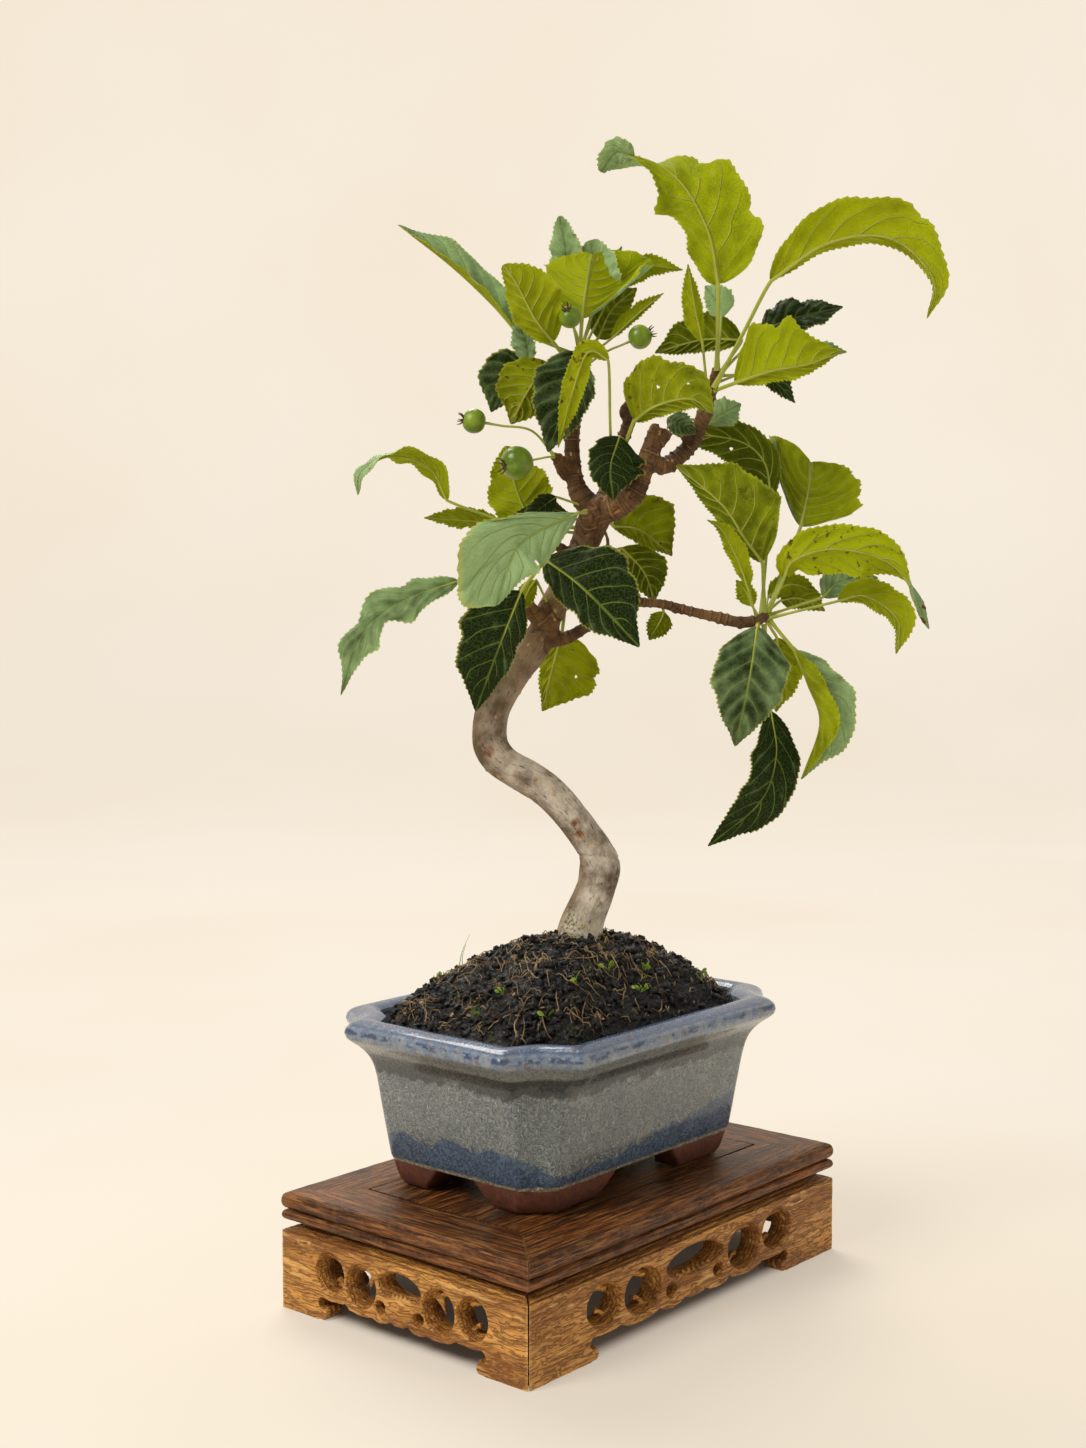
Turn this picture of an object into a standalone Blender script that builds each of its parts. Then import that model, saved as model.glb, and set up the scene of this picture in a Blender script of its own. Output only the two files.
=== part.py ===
"""A crabapple bonsai in a glazed pot with cut corners, on a carved wooden stand.

Lengths are in millimetres and angles in degrees. Each mesh is scaled to metres as it is made.
The stand's long side runs along X and its short side along Y, and it rests on Z = 0.
"""

import math

import bmesh
import bpy
import numpy as np
from mathutils import Vector
from mathutils.bvhtree import BVHTree

MM = 0.001
GAP = 0.3

# The stand's centre, placed so that the whole object is centred on the origin
CENTRE_X = 0.0
CENTRE_Y = 38.4

# Stand
STAND_LENGTH = 240.0
STAND_DEPTH = 155.0
TOP_HEIGHT = 55.8
RAIL_WIDTH = 29.0
RAIL_BOTTOM = 41.3
BEAD_BREAK = 47.6
PANEL_THICKNESS = 10.0
TONGUE = 5.0
TONGUE_HEIGHT = 3.4
PANEL_SLOT = 0.8
APRON_HEIGHT = 41.0
APRON_THICKNESS = 11.0
CHAMFER = 3.6
LONG_FOOT = 46.0
SHORT_FOOT = 29.0
BATTEN_WIDTH = 22.0
BATTEN_THICKNESS = 7.0

# Pot
POT_SHIFT_Y = 4.0
POT_BASE = 68.5
POT_FOOT = 12.4
POT_FLOOR = 8.0
DRAIN_RADIUS = 7.0
DRAIN_X = 34.0
SCREEN_SIDE = 24.0
SCREEN_THICKNESS = 1.0
CUT_DENT = 0.12

# Soil
SOIL_EDGE = 130.5
SOIL_PEAK = 172.0
MOUND_FULLNESS = 0.62

# Where the photograph was taken from, measured from the stand's centre. Places on the tree are given by
# where they are seen in it, in pixels, and how far they stand towards the viewer from the trunk's foot.
EYE = np.array([-737.2, -611.0, 341.4])
LOOK_YAW = 49.58
LOOK_DOWN = 3.99
FOCAL_PIXELS = 1972.8
MIDDLE_PIXEL = (543.0, 724.0)
TRUNK_ASIDE = 8.0

TREE_MATERIALS = {
    "bark": ((0.28, 0.22, 0.17), 0.85, 0.0),
    "leaf": ((0.10, 0.20, 0.05), 0.5, 0.0),
    "fruit": ((0.18, 0.34, 0.05), 0.35, 0.0),
    "soil": ((0.02, 0.014, 0.01), 0.95, 0.0),
    "glaze": ((0.20, 0.23, 0.25), 0.25, 0.0),
    "mesh": ((0.03, 0.03, 0.03), 0.6, 0.0),
    "dark_wood": ((0.12, 0.06, 0.03), 0.4, 0.0),
    "light_wood": ((0.36, 0.18, 0.07), 0.5, 0.0),
}


def direction(yaw, down):
    """A unit vector: yaw turns from +Y towards +X, and down tips it below the horizon."""
    yaw = math.radians(yaw)
    down = math.radians(down)
    return np.array([math.sin(yaw) * math.cos(down), math.cos(yaw) * math.cos(down), -math.sin(down)])


LOOK = direction(LOOK_YAW, LOOK_DOWN)
AWAY = direction(LOOK_YAW, 0.0)
ACROSS = np.array([AWAY[1], -AWAY[0], 0.0])
OVERHEAD = np.cross(ACROSS, LOOK)
STAND_CENTRE = np.array([CENTRE_X, CENTRE_Y, 0.0])
POT_CENTRE = STAND_CENTRE + np.array([0.0, POT_SHIFT_Y, 0.0])
TRUNK_FOOT = POT_CENTRE + ACROSS * TRUNK_ASIDE


def seen_at(px, py, near):
    """The point seen at a pixel of the photograph, near millimetres in front of the trunk's foot."""
    eye = EYE + STAND_CENTRE
    ray = LOOK + ACROSS * (px - MIDDLE_PIXEL[0]) / FOCAL_PIXELS
    ray = ray + OVERHEAD * (MIDDLE_PIXEL[1] - py) / FOCAL_PIXELS
    distance = (np.dot(TRUNK_FOOT - eye, AWAY) - near) / np.dot(ray, AWAY)
    return eye + ray * distance


# Limbs of the tree, each a list of (pixel x, pixel y, near, radius)
TRUNK = [
    (575, 962, 0, 14.5), (578, 944, 0, 12.6), (580, 929, 0, 11.2), (586, 912, 1, 10.3), (596, 889, 2, 9.5),
    (600, 866, 3, 10.1), (595, 851, 5, 8.8), (585, 835, 7, 8.2), (576, 822, 8, 8.0), (563, 806, 9, 8.2),
    (548, 791, 9, 8.5), (530, 778, 9, 8.5), (512, 768, 7, 8.1), (499, 758, 4, 8.4), (491, 744, 1, 8.8),
    (490, 726, -1, 8.6), (494, 707, -3, 8.4), (503, 690, -5, 8.0), (516, 671, -6, 7.8), (532, 651, -6, 7.7),
    (543, 630, -6, 7.4), (552, 609, -5, 6.9), (565, 586, -4, 6.8), (578, 560, -2, 6.8), (588, 536, -1, 7.2),
    (596, 514, 0, 8.4), (600, 502, 0, 6.8),
]
LEFT_LEADER = [
    (597, 516, 0, 6.6), (584, 500, -2, 5.8), (575, 480, -4, 4.4), (572, 440, -6, 3.9), (577, 400, -6, 3.4),
    (580, 352, -4, 2.4),
]
RIGHT_BRANCH = [
    (597, 512, 0, 7.2), (615, 508, 4, 6.4), (634, 494, 6, 5.6), (644, 468, 6, 5.2), (652, 448, 6, 5.0),
    (658, 427, 6, 4.0),
]
RIGHT_SHOOT = [
    (648, 460, 6, 4.4), (664, 466, 3, 4.3), (679, 457, 0, 4.3), (694, 440, -2, 4.0), (702, 420, -2, 3.8),
    (707, 402, -2, 3.5), (713, 386, -2, 3.0), (717, 368, -1, 2.5),
]
LOWER_TWIG = [
    (550, 640, -6, 4.6), (568, 637, -8, 3.4), (586, 627, -6, 3.0), (610, 611, 0, 2.6), (634, 603, 4, 2.4),
    (661, 604, 6, 2.4), (689, 611, 8, 2.6), (716, 617, 9, 2.9), (738, 622, 10, 3.0), (756, 621, 10, 2.9),
    (768, 614, 10, 2.2),
]
BACK_BRANCH = [
    (602, 508, -2, 5.0), (610, 478, -8, 3.9), (621, 445, -11, 3.5), (630, 420, -11, 3.2), (631, 408, -11, 2.2),
]
FRUIT_SPUR = [(573, 468, -5, 3.4), (562, 461, 2, 3.0), (553, 456, 7, 2.2)]
FRONT_SPUR = [(590, 530, -1, 4.0), (588, 519, 9, 2.9), (585, 510, 14, 2.2)]
REAR_SPUR = [(596, 520, -2, 4.0), (604, 517, -12, 2.8), (610, 514, -17, 2.1)]
SIDE_SPUR = [(577, 560, -2, 4.0), (562, 549, 4, 2.8), (550, 541, 8, 2.1)]
BUD_STUB = [(548, 622, -5, 4.6), (537, 612, 1, 3.2), (529, 603, 4, 2.0)]
LIMBS = {
    "left_leader": LEFT_LEADER,
    "right_branch": RIGHT_BRANCH,
    "right_shoot": RIGHT_SHOOT,
    "lower_twig": LOWER_TWIG,
    "back_branch": BACK_BRANCH,
    "fruit_spur": FRUIT_SPUR,
    "front_spur": FRONT_SPUR,
    "rear_spur": REAR_SPUR,
    "side_spur": SIDE_SPUR,
    "bud_stub": BUD_STUB,
}
TRUNK_STEP = 13.0
SOCKET_RINGS = 5
ROOT_START = (576, 954, 0)
ROOT_TURNS = (22.0, 96.0, 171.0, 243.0, 317.0)
ROOT_REACH = 24.0
ROOT_DROP = 22.0

# Leaves. twig, base, mids and tip are (pixel x, pixel y, near). half is how wide each half of the blade is, fold
# how far it is lifted from the midrib and curl how much more it bends by its edge. turn, at the base, the
# middle and the tip, is how far the upper side faces away from the viewer.
LEAVES = {
    "leaf_top_left_long": dict(
        twig=(579, 356, -4), base=(515, 330, -8), mids=[(490, 302, -10), (450, 265, -8)], tip=(398, 225, -2),
        half=(9, 12), turn=(-65, -65, -60), fold=(50, 50)),
    "leaf_crown_cup": dict(
        twig=(580, 350, -4), base=(582, 318, 4), mids=[(587, 275, 2), (592, 242, -4)], tip=(598, 226, -28),
        half=(31, 24), turn=(180, 180, 180), fold=(25, 25), sweep=(-4, 20)),
    "leaf_crown_left": dict(
        twig=(576, 372, -3), base=(553, 342, 6), mids=[(535, 319, 12), (517, 285, 14)], tip=(503, 265, 12),
        half=(17, 9), turn=(180, 180, 180), fold=(20, 30)),
    "leaf_striped_small": dict(
        twig=(577, 388, -3), base=(529, 366, -1), mids=[(527, 345, -1)], tip=(517, 316, -3),
        half=(7, 5), turn=(20, 20, 20), fold=(30, 30)),
    "leaf_dark_left": dict(
        twig=(575, 404, -5), base=(540, 370, -12), mids=[(508, 382, -11)], tip=(491, 412, -5),
        half=(10, 16), turn=(15, 15, 15), fold=(12, 12)),
    "leaf_yellow_left": dict(
        twig=(576, 392, -4), base=(550, 364, 7), mids=[(530, 388, 12)], tip=(511, 424, 11),
        half=(16, 15), turn=(180, 180, 180), fold=(15, 15)),
    "leaf_dark_crown": dict(
        twig=(580, 357, -4), base=(578, 352, 11), mids=[(568, 395, 19)], tip=(548, 452, 18),
        half=(12, 18), turn=(15, 15, 15), fold=(12, 12)),
    "leaf_pale_arch": dict(
        twig=(612, 480, -8), base=(608, 360, 30), mids=[(590, 358, 33), (573, 384, 34)], tip=(558, 448, 28),
        half=(13, 6), turn=(180, 180, 180), fold=(15, 15), sweep=(-5, 0)),
    "leaf_crown_veined": dict(
        twig=(582, 362, -4), base=(598, 338, -14), mids=[(612, 309, -18)], tip=(637, 288, -20),
        half=(11, 10), turn=(165, 165, 165), fold=(20, 20)),
    "leaf_far_left_arch": dict(
        twig=(556, 541, 8), base=(447, 500, 14), mids=[(430, 468, 16), (392, 456, 20), (362, 472, 24)],
        tip=(358, 495, 26), half=(10, 10), turn=(-130, -110, -30), fold=(15, 15)),
    "leaf_dark_centre": dict(
        twig=(623, 440, -11), base=(619, 437, 10), mids=[(610, 468, 16)], tip=(613, 500, 19),
        half=(11, 13), turn=(15, 15, 15), fold=(15, 15)),
    "leaf_behind_fruit": dict(
        twig=(583, 528, -1), base=(531, 526, -8), mids=[(516, 488, -10)], tip=(506, 446, -12),
        half=(16, 14), turn=(180, 180, 180), fold=(12, 12)),
    "leaf_left_small": dict(
        twig=(585, 534, -2), base=(500, 524, 0), mids=[(464, 520, 4)], tip=(424, 518, 8),
        half=(7, 6), turn=(-140, -140, -140), fold=(20, 20)),
    "leaf_top_big": dict(
        twig=(717, 371, 1), base=(718, 284, 4), mids=[(708, 232, 8), (680, 182, 8), (640, 158, 2)],
        tip=(603, 168, -6), half=(25, 13), turn=(180, 170, 60), fold=(15, 15), widest=0.33),
    "leaf_right_big_arch": dict(
        twig=(714, 388, 2), base=(771, 281, 14), mids=[(828, 243, 22), (890, 238, 28), (933, 278, 34)],
        tip=(927, 318, 36), half=(9, 18), turn=(165, 165, 160), fold=(60, 12)),
    "leaf_shoot_narrow": dict(
        twig=(708, 396, -2), base=(702, 342, 10), mids=[(694, 304, 12)], tip=(688, 264, 12),
        half=(5, 6), turn=(150, 150, 150), fold=(25, 25)),
    "leaf_behind_shoot": dict(
        twig=(717, 370, -2), base=(721, 318, -11), mids=[(717, 302, -14)], tip=(705, 286, -18),
        half=(6, 9), turn=(15, 15, 15), fold=(15, 15)),
    "leaf_shoot_left": dict(
        twig=(714, 382, -2), base=(742, 340, -16), mids=[(702, 340, -19)], tip=(655, 353, -14),
        half=(13, 6), turn=(180, 180, 180), fold=(12, 12)),
    "leaf_dark_right": dict(
        twig=(716, 378, -1), base=(762, 330, -30), mids=[(796, 318, -34)], tip=(843, 307, -34),
        half=(12, 12), turn=(45, 45, 45), fold=(15, 15)),
    "leaf_yellow_right": dict(
        twig=(711, 392, -2), base=(735, 383, 12), mids=[(772, 371, 18), (808, 364, 20)], tip=(842, 352, 20),
        half=(6, 22), turn=(175, 170, 150), fold=(15, 15)),
    "leaf_yellow_arch": dict(
        twig=(610, 486, -6), base=(634, 421, 14), mids=[(656, 406, 24), (690, 399, 28)], tip=(713, 414, 28),
        half=(6, 21), turn=(175, 175, 175), fold=(15, 15)),
    "leaf_grey_curled": dict(
        twig=(705, 410, -2), base=(709, 424, -10), mids=[(722, 414, -12)], tip=(741, 404, -16),
        half=(8, 8), turn=(15, 15, 15), fold=(20, 20)),
    "leaf_olive_upper": dict(
        twig=(761, 617, 9), base=(771, 500, -14), mids=[(764, 462, -16), (736, 440, -16)], tip=(672, 433, -12),
        half=(9, 12), turn=(180, 180, 180), fold=(12, 12)),
    "leaf_heart": dict(
        twig=(768, 612, 8), base=(801, 526, -20), mids=[(808, 492, -26)], tip=(811, 462, -30),
        half=(27, 22), turn=(180, 180, 180), fold=(12, 12), sweep=(8, 28)),
    "leaf_olive_lower": dict(
        twig=(765, 614, 10), base=(762, 562, 14), mids=[(744, 538, 16), (722, 505, 16)], tip=(676, 466, 12),
        half=(23, 7), turn=(180, 180, 180), fold=(12, 30)),
    "leaf_small_upright": dict(
        twig=(757, 620, 10), base=(748, 588, 18), mids=[(738, 560, 22), (722, 530, 24)], tip=(707, 520, 24),
        half=(6, 5), turn=(-150, -150, -150), fold=(25, 25)),
    "leaf_arched_right": dict(
        twig=(769, 611, 10), base=(784, 578, 20), mids=[(794, 560, 26), (838, 549, 32), (896, 568, 38)],
        tip=(929, 629, 42), half=(13, 13), turn=(170, 160, 25), fold=(15, 15)),
    "leaf_grey_right": dict(
        twig=(766, 616, 10), base=(823, 597, 2), mids=[(842, 581, 0)], tip=(878, 578, -6),
        half=(9, 9), turn=(20, 20, 20), fold=(12, 12)),
    "leaf_bright_arch": dict(
        twig=(766, 619, 10), base=(838, 601, 16), mids=[(866, 596, 19), (898, 620, 23)], tip=(896, 654, 25),
        half=(5, 10), turn=(165, 165, 160), fold=(25, 20)),
    "leaf_under_yellow": dict(
        twig=(762, 616, 10), base=(781, 600, -12), mids=[(800, 598, -18)], tip=(825, 611, -22),
        half=(6, 8), turn=(165, 165, 165), fold=(15, 15)),
    "leaf_hanging_front": dict(
        twig=(758, 624, 10), base=(757, 627, 26), mids=[(749, 680, 32)], tip=(735, 746, 28),
        half=(18, 17), turn=(10, 10, 10), fold=(10, 10)),
    "leaf_hanging_low": dict(
        twig=(764, 624, 9), base=(771, 712, 6), mids=[(776, 756, 10), (760, 802, 14)], tip=(708, 846, 10),
        half=(12, 13), turn=(20, 20, 20), fold=(15, 15)),
    "leaf_crescent": dict(
        twig=(768, 618, 9), base=(795, 651, 14), mids=[(808, 684, 18), (820, 724, 20)], tip=(801, 779, 14),
        half=(18, 12), turn=(15, 15, 15), fold=(10, 115), curl=(-20, 10)),
    "leaf_yellow_hanging": dict(
        twig=(766, 620, 8), base=(777, 638, -4), mids=[(780, 672, -8)], tip=(776, 712, -12),
        half=(8, 11), turn=(180, 180, 180), fold=(12, 12)),
    "leaf_front_big": dict(
        twig=(586, 512, 13), base=(578, 513, 28), mids=[(530, 536, 40), (512, 558, 45)], tip=(497, 605, 48),
        half=(13, 17), turn=(10, 10, 0), fold=(12, 12), sweep=(0, 30), widest=0.5),
    "leaf_hanging_left": dict(
        twig=(556, 545, 6), base=(521, 592, 18), mids=[(502, 640, 24)], tip=(476, 711, 22),
        half=(9, 22), turn=(15, 15, 15), fold=(25, 10)),
    "leaf_centre_big": dict(
        twig=(552, 543, 8), base=(545, 560, 22), mids=[(583, 589, 32)], tip=(639, 647, 34),
        half=(24, 13), turn=(15, 15, 15), fold=(10, 10)),
    "leaf_left_wavy": dict(
        twig=(554, 546, 6), base=(458, 581, 30), mids=[(404, 600, 36), (364, 632, 40)], tip=(341, 695, 40),
        half=(9, 9), turn=(-20, -25, -35), fold=(15, 15), wave=1.5),
    "leaf_behind_right": dict(
        twig=(607, 516, -15), base=(613, 526, -22), mids=[(640, 530, -26)], tip=(672, 556, -28),
        half=(6, 19), turn=(180, 180, 180), fold=(15, 15)),
    "leaf_olive_behind": dict(
        twig=(580, 562, -4), base=(622, 548, -36), mids=[(644, 572, -40)], tip=(655, 602, -40),
        half=(10, 12), turn=(170, 170, 170), fold=(12, 12)),
    "leaf_round_behind": dict(
        twig=(568, 584, -5), base=(562, 632, -24), mids=[(553, 666, -28)], tip=(542, 711, -28),
        half=(6, 24), turn=(180, 180, 180), fold=(12, 12)),
}

# Fruit. twig, knee and centre are (pixel x, pixel y, near); the stalk bends at the knee.
FRUIT = {
    "fruit_far_left": dict(twig=(556, 458, 6), knee=(532, 431, 12), centre=(474, 421, 16), radius=5.9),
    "fruit_big": dict(twig=(555, 457, 6), knee=(548, 457, 14), centre=(517, 463, 22), radius=8.0),
    "fruit_crown": dict(twig=(580, 353, -3), knee=(578, 338, 3), centre=(570, 317, 12), radius=5.4),
    "fruit_crown_right": dict(twig=(582, 368, -5), knee=(606, 352, -2), centre=(640, 337, -4), radius=5.9),
}
STALK_RADIUS = 0.6
PETIOLE_RADIUS = 0.9
BLADE_THICKNESS = 0.8
WIDEST_AT = 0.42
BLADE_STATIONS = (0.0, 0.12, 0.3, 0.5, 0.7, 0.87, 1.0)
TIP_RADIUS = 0.5
DEFAULT_CURL = (-20.0, -20.0)
NO_SWEEP = (0.0, 0.0)
WAVES = 2.5
STALK_CLEARANCE = 0.8


def material(name):
    """A Principled material with this name's colour, roughness and metallic value."""
    if name in bpy.data.materials:
        return bpy.data.materials[name]
    colour, roughness, metallic = TREE_MATERIALS[name]
    made = bpy.data.materials.new(name)
    made.use_nodes = True
    shader = made.node_tree.nodes["Principled BSDF"]
    shader.inputs["Base Color"].default_value = (*colour, 1.0)
    shader.inputs["Roughness"].default_value = roughness
    shader.inputs["Metallic"].default_value = metallic
    return made


def add_object(name, bm, finish):
    """Makes the bmesh, in millimetres, an object in metres, with its faces pointing out."""
    bmesh.ops.recalc_face_normals(bm, faces=bm.faces)
    bmesh.ops.scale(bm, vec=(MM, MM, MM), verts=bm.verts)
    mesh = bpy.data.meshes.new(name)
    bm.to_mesh(mesh)
    bm.free()
    mesh.materials.append(material(finish))
    obj = bpy.data.objects.new(name, mesh)
    bpy.context.scene.collection.objects.link(obj)
    return obj


def as_helper(obj):
    """Marks an object that only shapes another one."""
    obj.hide_render = True
    obj.display_type = "WIRE"
    return obj


def join_with(obj, other, operation):
    """Adds an exact Boolean with a helper object."""
    modifier = obj.modifiers.new(operation.lower(), "BOOLEAN")
    modifier.operation = operation
    modifier.solver = "EXACT"
    modifier.object = as_helper(other)


def loft(rings, bm=None):
    """Skins rings that have the same number of points, and closes both ends."""
    bm = bm or bmesh.new()
    loops = [[bm.verts.new(point) for point in ring] for ring in rings]
    count = len(loops[0])
    for first, second in zip(loops, loops[1:]):
        for i in range(count):
            j = (i + 1) % count
            bm.faces.new((first[i], first[j], second[j], second[i]))
    bm.faces.new(list(reversed(loops[0])))
    bm.faces.new(loops[-1])
    return bm


def smooth_path(points, step):
    """Points about one step apart on a smooth curve through rows of x, y, z and any other values."""
    points = np.array(points, float)
    ends = np.vstack([2 * points[0] - points[1], points, 2 * points[-1] - points[-2]])
    path = []
    for before, start, end, after in zip(ends, ends[1:], ends[2:], ends[3:]):
        count = max(1, round(np.linalg.norm((end - start)[:3]) / step))
        for t in np.arange(count) / count:
            path.append(
                0.5 * (2 * start + (end - before) * t
                       + (2 * before - 5 * start + 4 * end - after) * t * t
                       + (3 * start - before - 3 * end + after) * t ** 3)
            )
    path.append(points[-1])
    return np.array(path)


def tube_rings(path, sides, extra=0.0):
    """Rings round a path of x, y, z, radius, carried along it without twisting."""
    centres = path[:, :3]
    tangents = np.gradient(centres, axis=0)
    tangents /= np.linalg.norm(tangents, axis=1)[:, None]
    side = np.cross(tangents[0], [0.31, 0.67, 0.67])
    rings = []
    for centre, tangent, radius in zip(centres, tangents, path[:, 3] + extra):
        side = side - tangent * np.dot(side, tangent)
        side /= np.linalg.norm(side)
        other = np.cross(tangent, side)
        angles = 2 * math.pi * np.arange(sides) / sides
        rings.append([centre + radius * (math.cos(a) * side + math.sin(a) * other) for a in angles])
    return rings


def limb_path(limb, step):
    """A smooth path of x, y, z, radius from a limb's photograph points."""
    return smooth_path([(*seen_at(px, py, near), radius) for px, py, near, radius in limb], step)


def root_path(turn):
    """A root that leaves the trunk's foot and dives into the soil."""
    foot = seen_at(*ROOT_START)
    heading = np.array([math.cos(math.radians(turn)), math.sin(math.radians(turn)), 0.0])
    drop = np.array([0.0, 0.0, ROOT_DROP])
    return smooth_path(
        [(*foot, 6.0), (*(foot + heading * ROOT_REACH * 0.5 - drop * 0.4), 4.2),
         (*(foot + heading * ROOT_REACH - drop), 2.2)], 9.0)


def build_tree():
    """Trunk, branches, twigs and roots, grown as one piece."""
    tree = add_object("tree", loft(tube_rings(limb_path(TRUNK, TRUNK_STEP), 9)), "bark")
    for name, limb in LIMBS.items():
        branch = add_object(f"limb_{name}", loft(tube_rings(limb_path(limb, 11.0), 7)), "bark")
        join_with(tree, branch, "UNION")
    for turn in ROOT_TURNS:
        root = add_object(f"root_{turn:.0f}", loft(tube_rings(root_path(turn), 6)), "bark")
        join_with(tree, root, "UNION")
    return tree


def surface_of(obj):
    """A search tree of an object's evaluated surface, in metres."""
    return BVHTree.FromObject(obj, bpy.context.evaluated_depsgraph_get())


def stalk_start(bark, twig, towards):
    """Where a stalk from the twig's middle towards a point leaves the bark, just clear of it."""
    heading = (twig - towards) / np.linalg.norm(twig - towards)
    hit, normal, _, _ = bark.ray_cast(Vector(towards * MM), Vector(heading))
    if hit is None:
        hit, normal, _, _ = bark.find_nearest(Vector(towards * MM))
    return np.array(hit) / MM + np.array(normal) * STALK_CLEARANCE


def blade_half_width(leaf, u):
    """The blade's half width along its midrib, as a share of its widest: rounded base, drawn-out tip."""
    rise = math.log(0.5) / math.log(leaf.get("widest", WIDEST_AT))
    return max(0.0, math.sin(math.pi * min(u, 1.0) ** rise)) ** 0.8


def spine_frames(leaf, stations):
    """The midrib's points at shares of its length, with the blade's across and face directions there."""
    rib = [seen_at(*leaf["base"]), *(seen_at(*mid) for mid in leaf["mids"]), seen_at(*leaf["tip"])]
    path = smooth_path(rib, 2.0)
    along = np.concatenate([[0.0], np.cumsum(np.linalg.norm(np.diff(path, axis=0), axis=1))])
    along /= along[-1]
    tangents = np.gradient(path, axis=0)
    frames = []
    for u in stations:
        spot = np.array([np.interp(u, along, path[:, axis]) for axis in range(3)])
        tangent = np.array([np.interp(u, along, tangents[:, axis]) for axis in range(3)])
        tangent /= np.linalg.norm(tangent)
        side = np.cross(tangent, EYE + STAND_CENTRE - spot)
        side /= np.linalg.norm(side)
        up = np.cross(side, tangent)
        turn = math.radians(np.interp(u, (0.0, 0.5, 1.0), leaf["turn"]))
        frames.append((spot, tangent, side * math.cos(turn) + up * math.sin(turn),
                       up * math.cos(turn) - side * math.sin(turn)))
    return frames


def blade_point(leaf, frame, u, v):
    """A point of the blade's middle surface, v running from one edge at -1 to the other at 1."""
    spot, tangent, across, face = frame
    half_index = 0 if v < 0 else 1
    share = blade_half_width(leaf, u)
    half = leaf["half"][half_index] * share
    bend = math.radians(leaf["fold"][half_index])
    curl = math.radians(leaf.get("curl", DEFAULT_CURL)[half_index]) or 1e-6
    t = abs(v)
    out = half * (math.sin(bend + curl * t) - math.sin(bend)) / curl
    lift = half * (math.cos(bend) - math.cos(bend + curl * t)) / curl
    lift += leaf.get("wave", 0.0) * t * t * share * math.sin(2 * math.pi * WAVES * u + half_index * 2)
    forward = leaf.get("sweep", NO_SWEEP)[half_index] * t * t * share
    return spot + across * math.copysign(out, v) + face * lift + tangent * forward


def leaf_rings(leaf, bark):
    """Rings of eight points from the petiole's foot to the blade's tip."""
    frames = spine_frames(leaf, BLADE_STATIONS)
    base = frames[0][0]
    twig = seen_at(*leaf["twig"])
    foot = stalk_start(bark, twig, base)
    heading = (base - foot) / np.linalg.norm(base - foot)
    rings = []
    angles = math.pi - 2 * math.pi * np.arange(8) / 8
    _, _, across, face = frames[0]
    flat_across = across - heading * np.dot(across, heading)
    flat_across /= np.linalg.norm(flat_across)
    flat_face = np.cross(heading, flat_across)
    flat_face *= math.copysign(1.0, np.dot(flat_face, face))
    for share, radius in ((0.0, 0.55), (0.5, 0.9), (1.0, 0.9)):
        spot = foot + (base - foot) * share
        rings.append([
            spot + PETIOLE_RADIUS * radius * (math.cos(a) * flat_across + math.sin(a) * flat_face) for a in angles
        ])
    for u, frame in zip(BLADE_STATIONS[1:], frames[1:]):
        face = frame[3]
        if u == 1.0:
            rings.append([
                frame[0] + TIP_RADIUS * (math.cos(a) * frame[2] + math.sin(a) * face) for a in angles
            ])
            continue
        surface = [blade_point(leaf, frame, u, v) for v in (-1.0, -0.5, 0.0, 0.5, 1.0)]
        half = face * BLADE_THICKNESS / 2
        rings.append([
            surface[0], surface[1] + half, surface[2] + half, surface[3] + half, surface[4],
            surface[3] - half, surface[2] - half * 2, surface[1] - half,
        ])
    return rings


def build_leaves(bark):
    """Every leaf with its petiole."""
    for name, leaf in LEAVES.items():
        add_object(name, loft(leaf_rings(leaf, bark)), "leaf")


def build_fruit(bark):
    """Each crabapple with its stalk, as one tube that swells at its end."""
    for name, fruit in FRUIT.items():
        centre = seen_at(*fruit["centre"])
        knee = seen_at(*fruit["knee"])
        foot = stalk_start(bark, seen_at(*fruit["twig"]), knee)
        radius = fruit["radius"]
        heading = (centre - knee) / np.linalg.norm(centre - knee)
        rows = [(*foot, STALK_RADIUS), (*knee, STALK_RADIUS), (*(centre - heading * radius * 0.93), STALK_RADIUS)]
        for angle in (-62, -35, -8, 20, 45, 68, 84):
            turn = math.radians(angle)
            rows.append((*(centre + heading * radius * math.sin(turn)), radius * math.cos(turn)))
        add_object(name, loft(tube_rings(np.array(rows), 10)), "fruit")


def pot_ring(half_x, half_y, cut, z):
    """A rectangle's outline with cut corners that are dented a little in the middle."""
    dent = cut * CUT_DENT
    ring = []
    for sign_x, sign_y in ((1, 1), (-1, 1), (-1, -1), (1, -1)):
        corner = [
            (half_x, half_y - cut),
            (half_x - cut / 2 - dent, half_y - cut / 2 - dent),
            (half_x - cut, half_y),
        ]
        if sign_x * sign_y < 0:
            corner.reverse()
        ring += [(sign_x * x, sign_y * y) for x, y in corner]
    return [POT_CENTRE + np.array([x, y, z]) for x, y in ring]


# A foot's steps as (inset from the base's edge, end along X, end along Y, height), from the bottom up
FOOT_WALL = 15.0
FOOT_STEPS = [
    (5.5, 32.0, 22.0, POT_BASE - POT_FOOT), (3.4, 29.5, 19.0, POT_BASE - 9.0), (1.4, 22.0, 12.0, POT_BASE - 1.0),
    (1.0, 21.0, 11.0, POT_BASE + 3.0),
]
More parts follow.
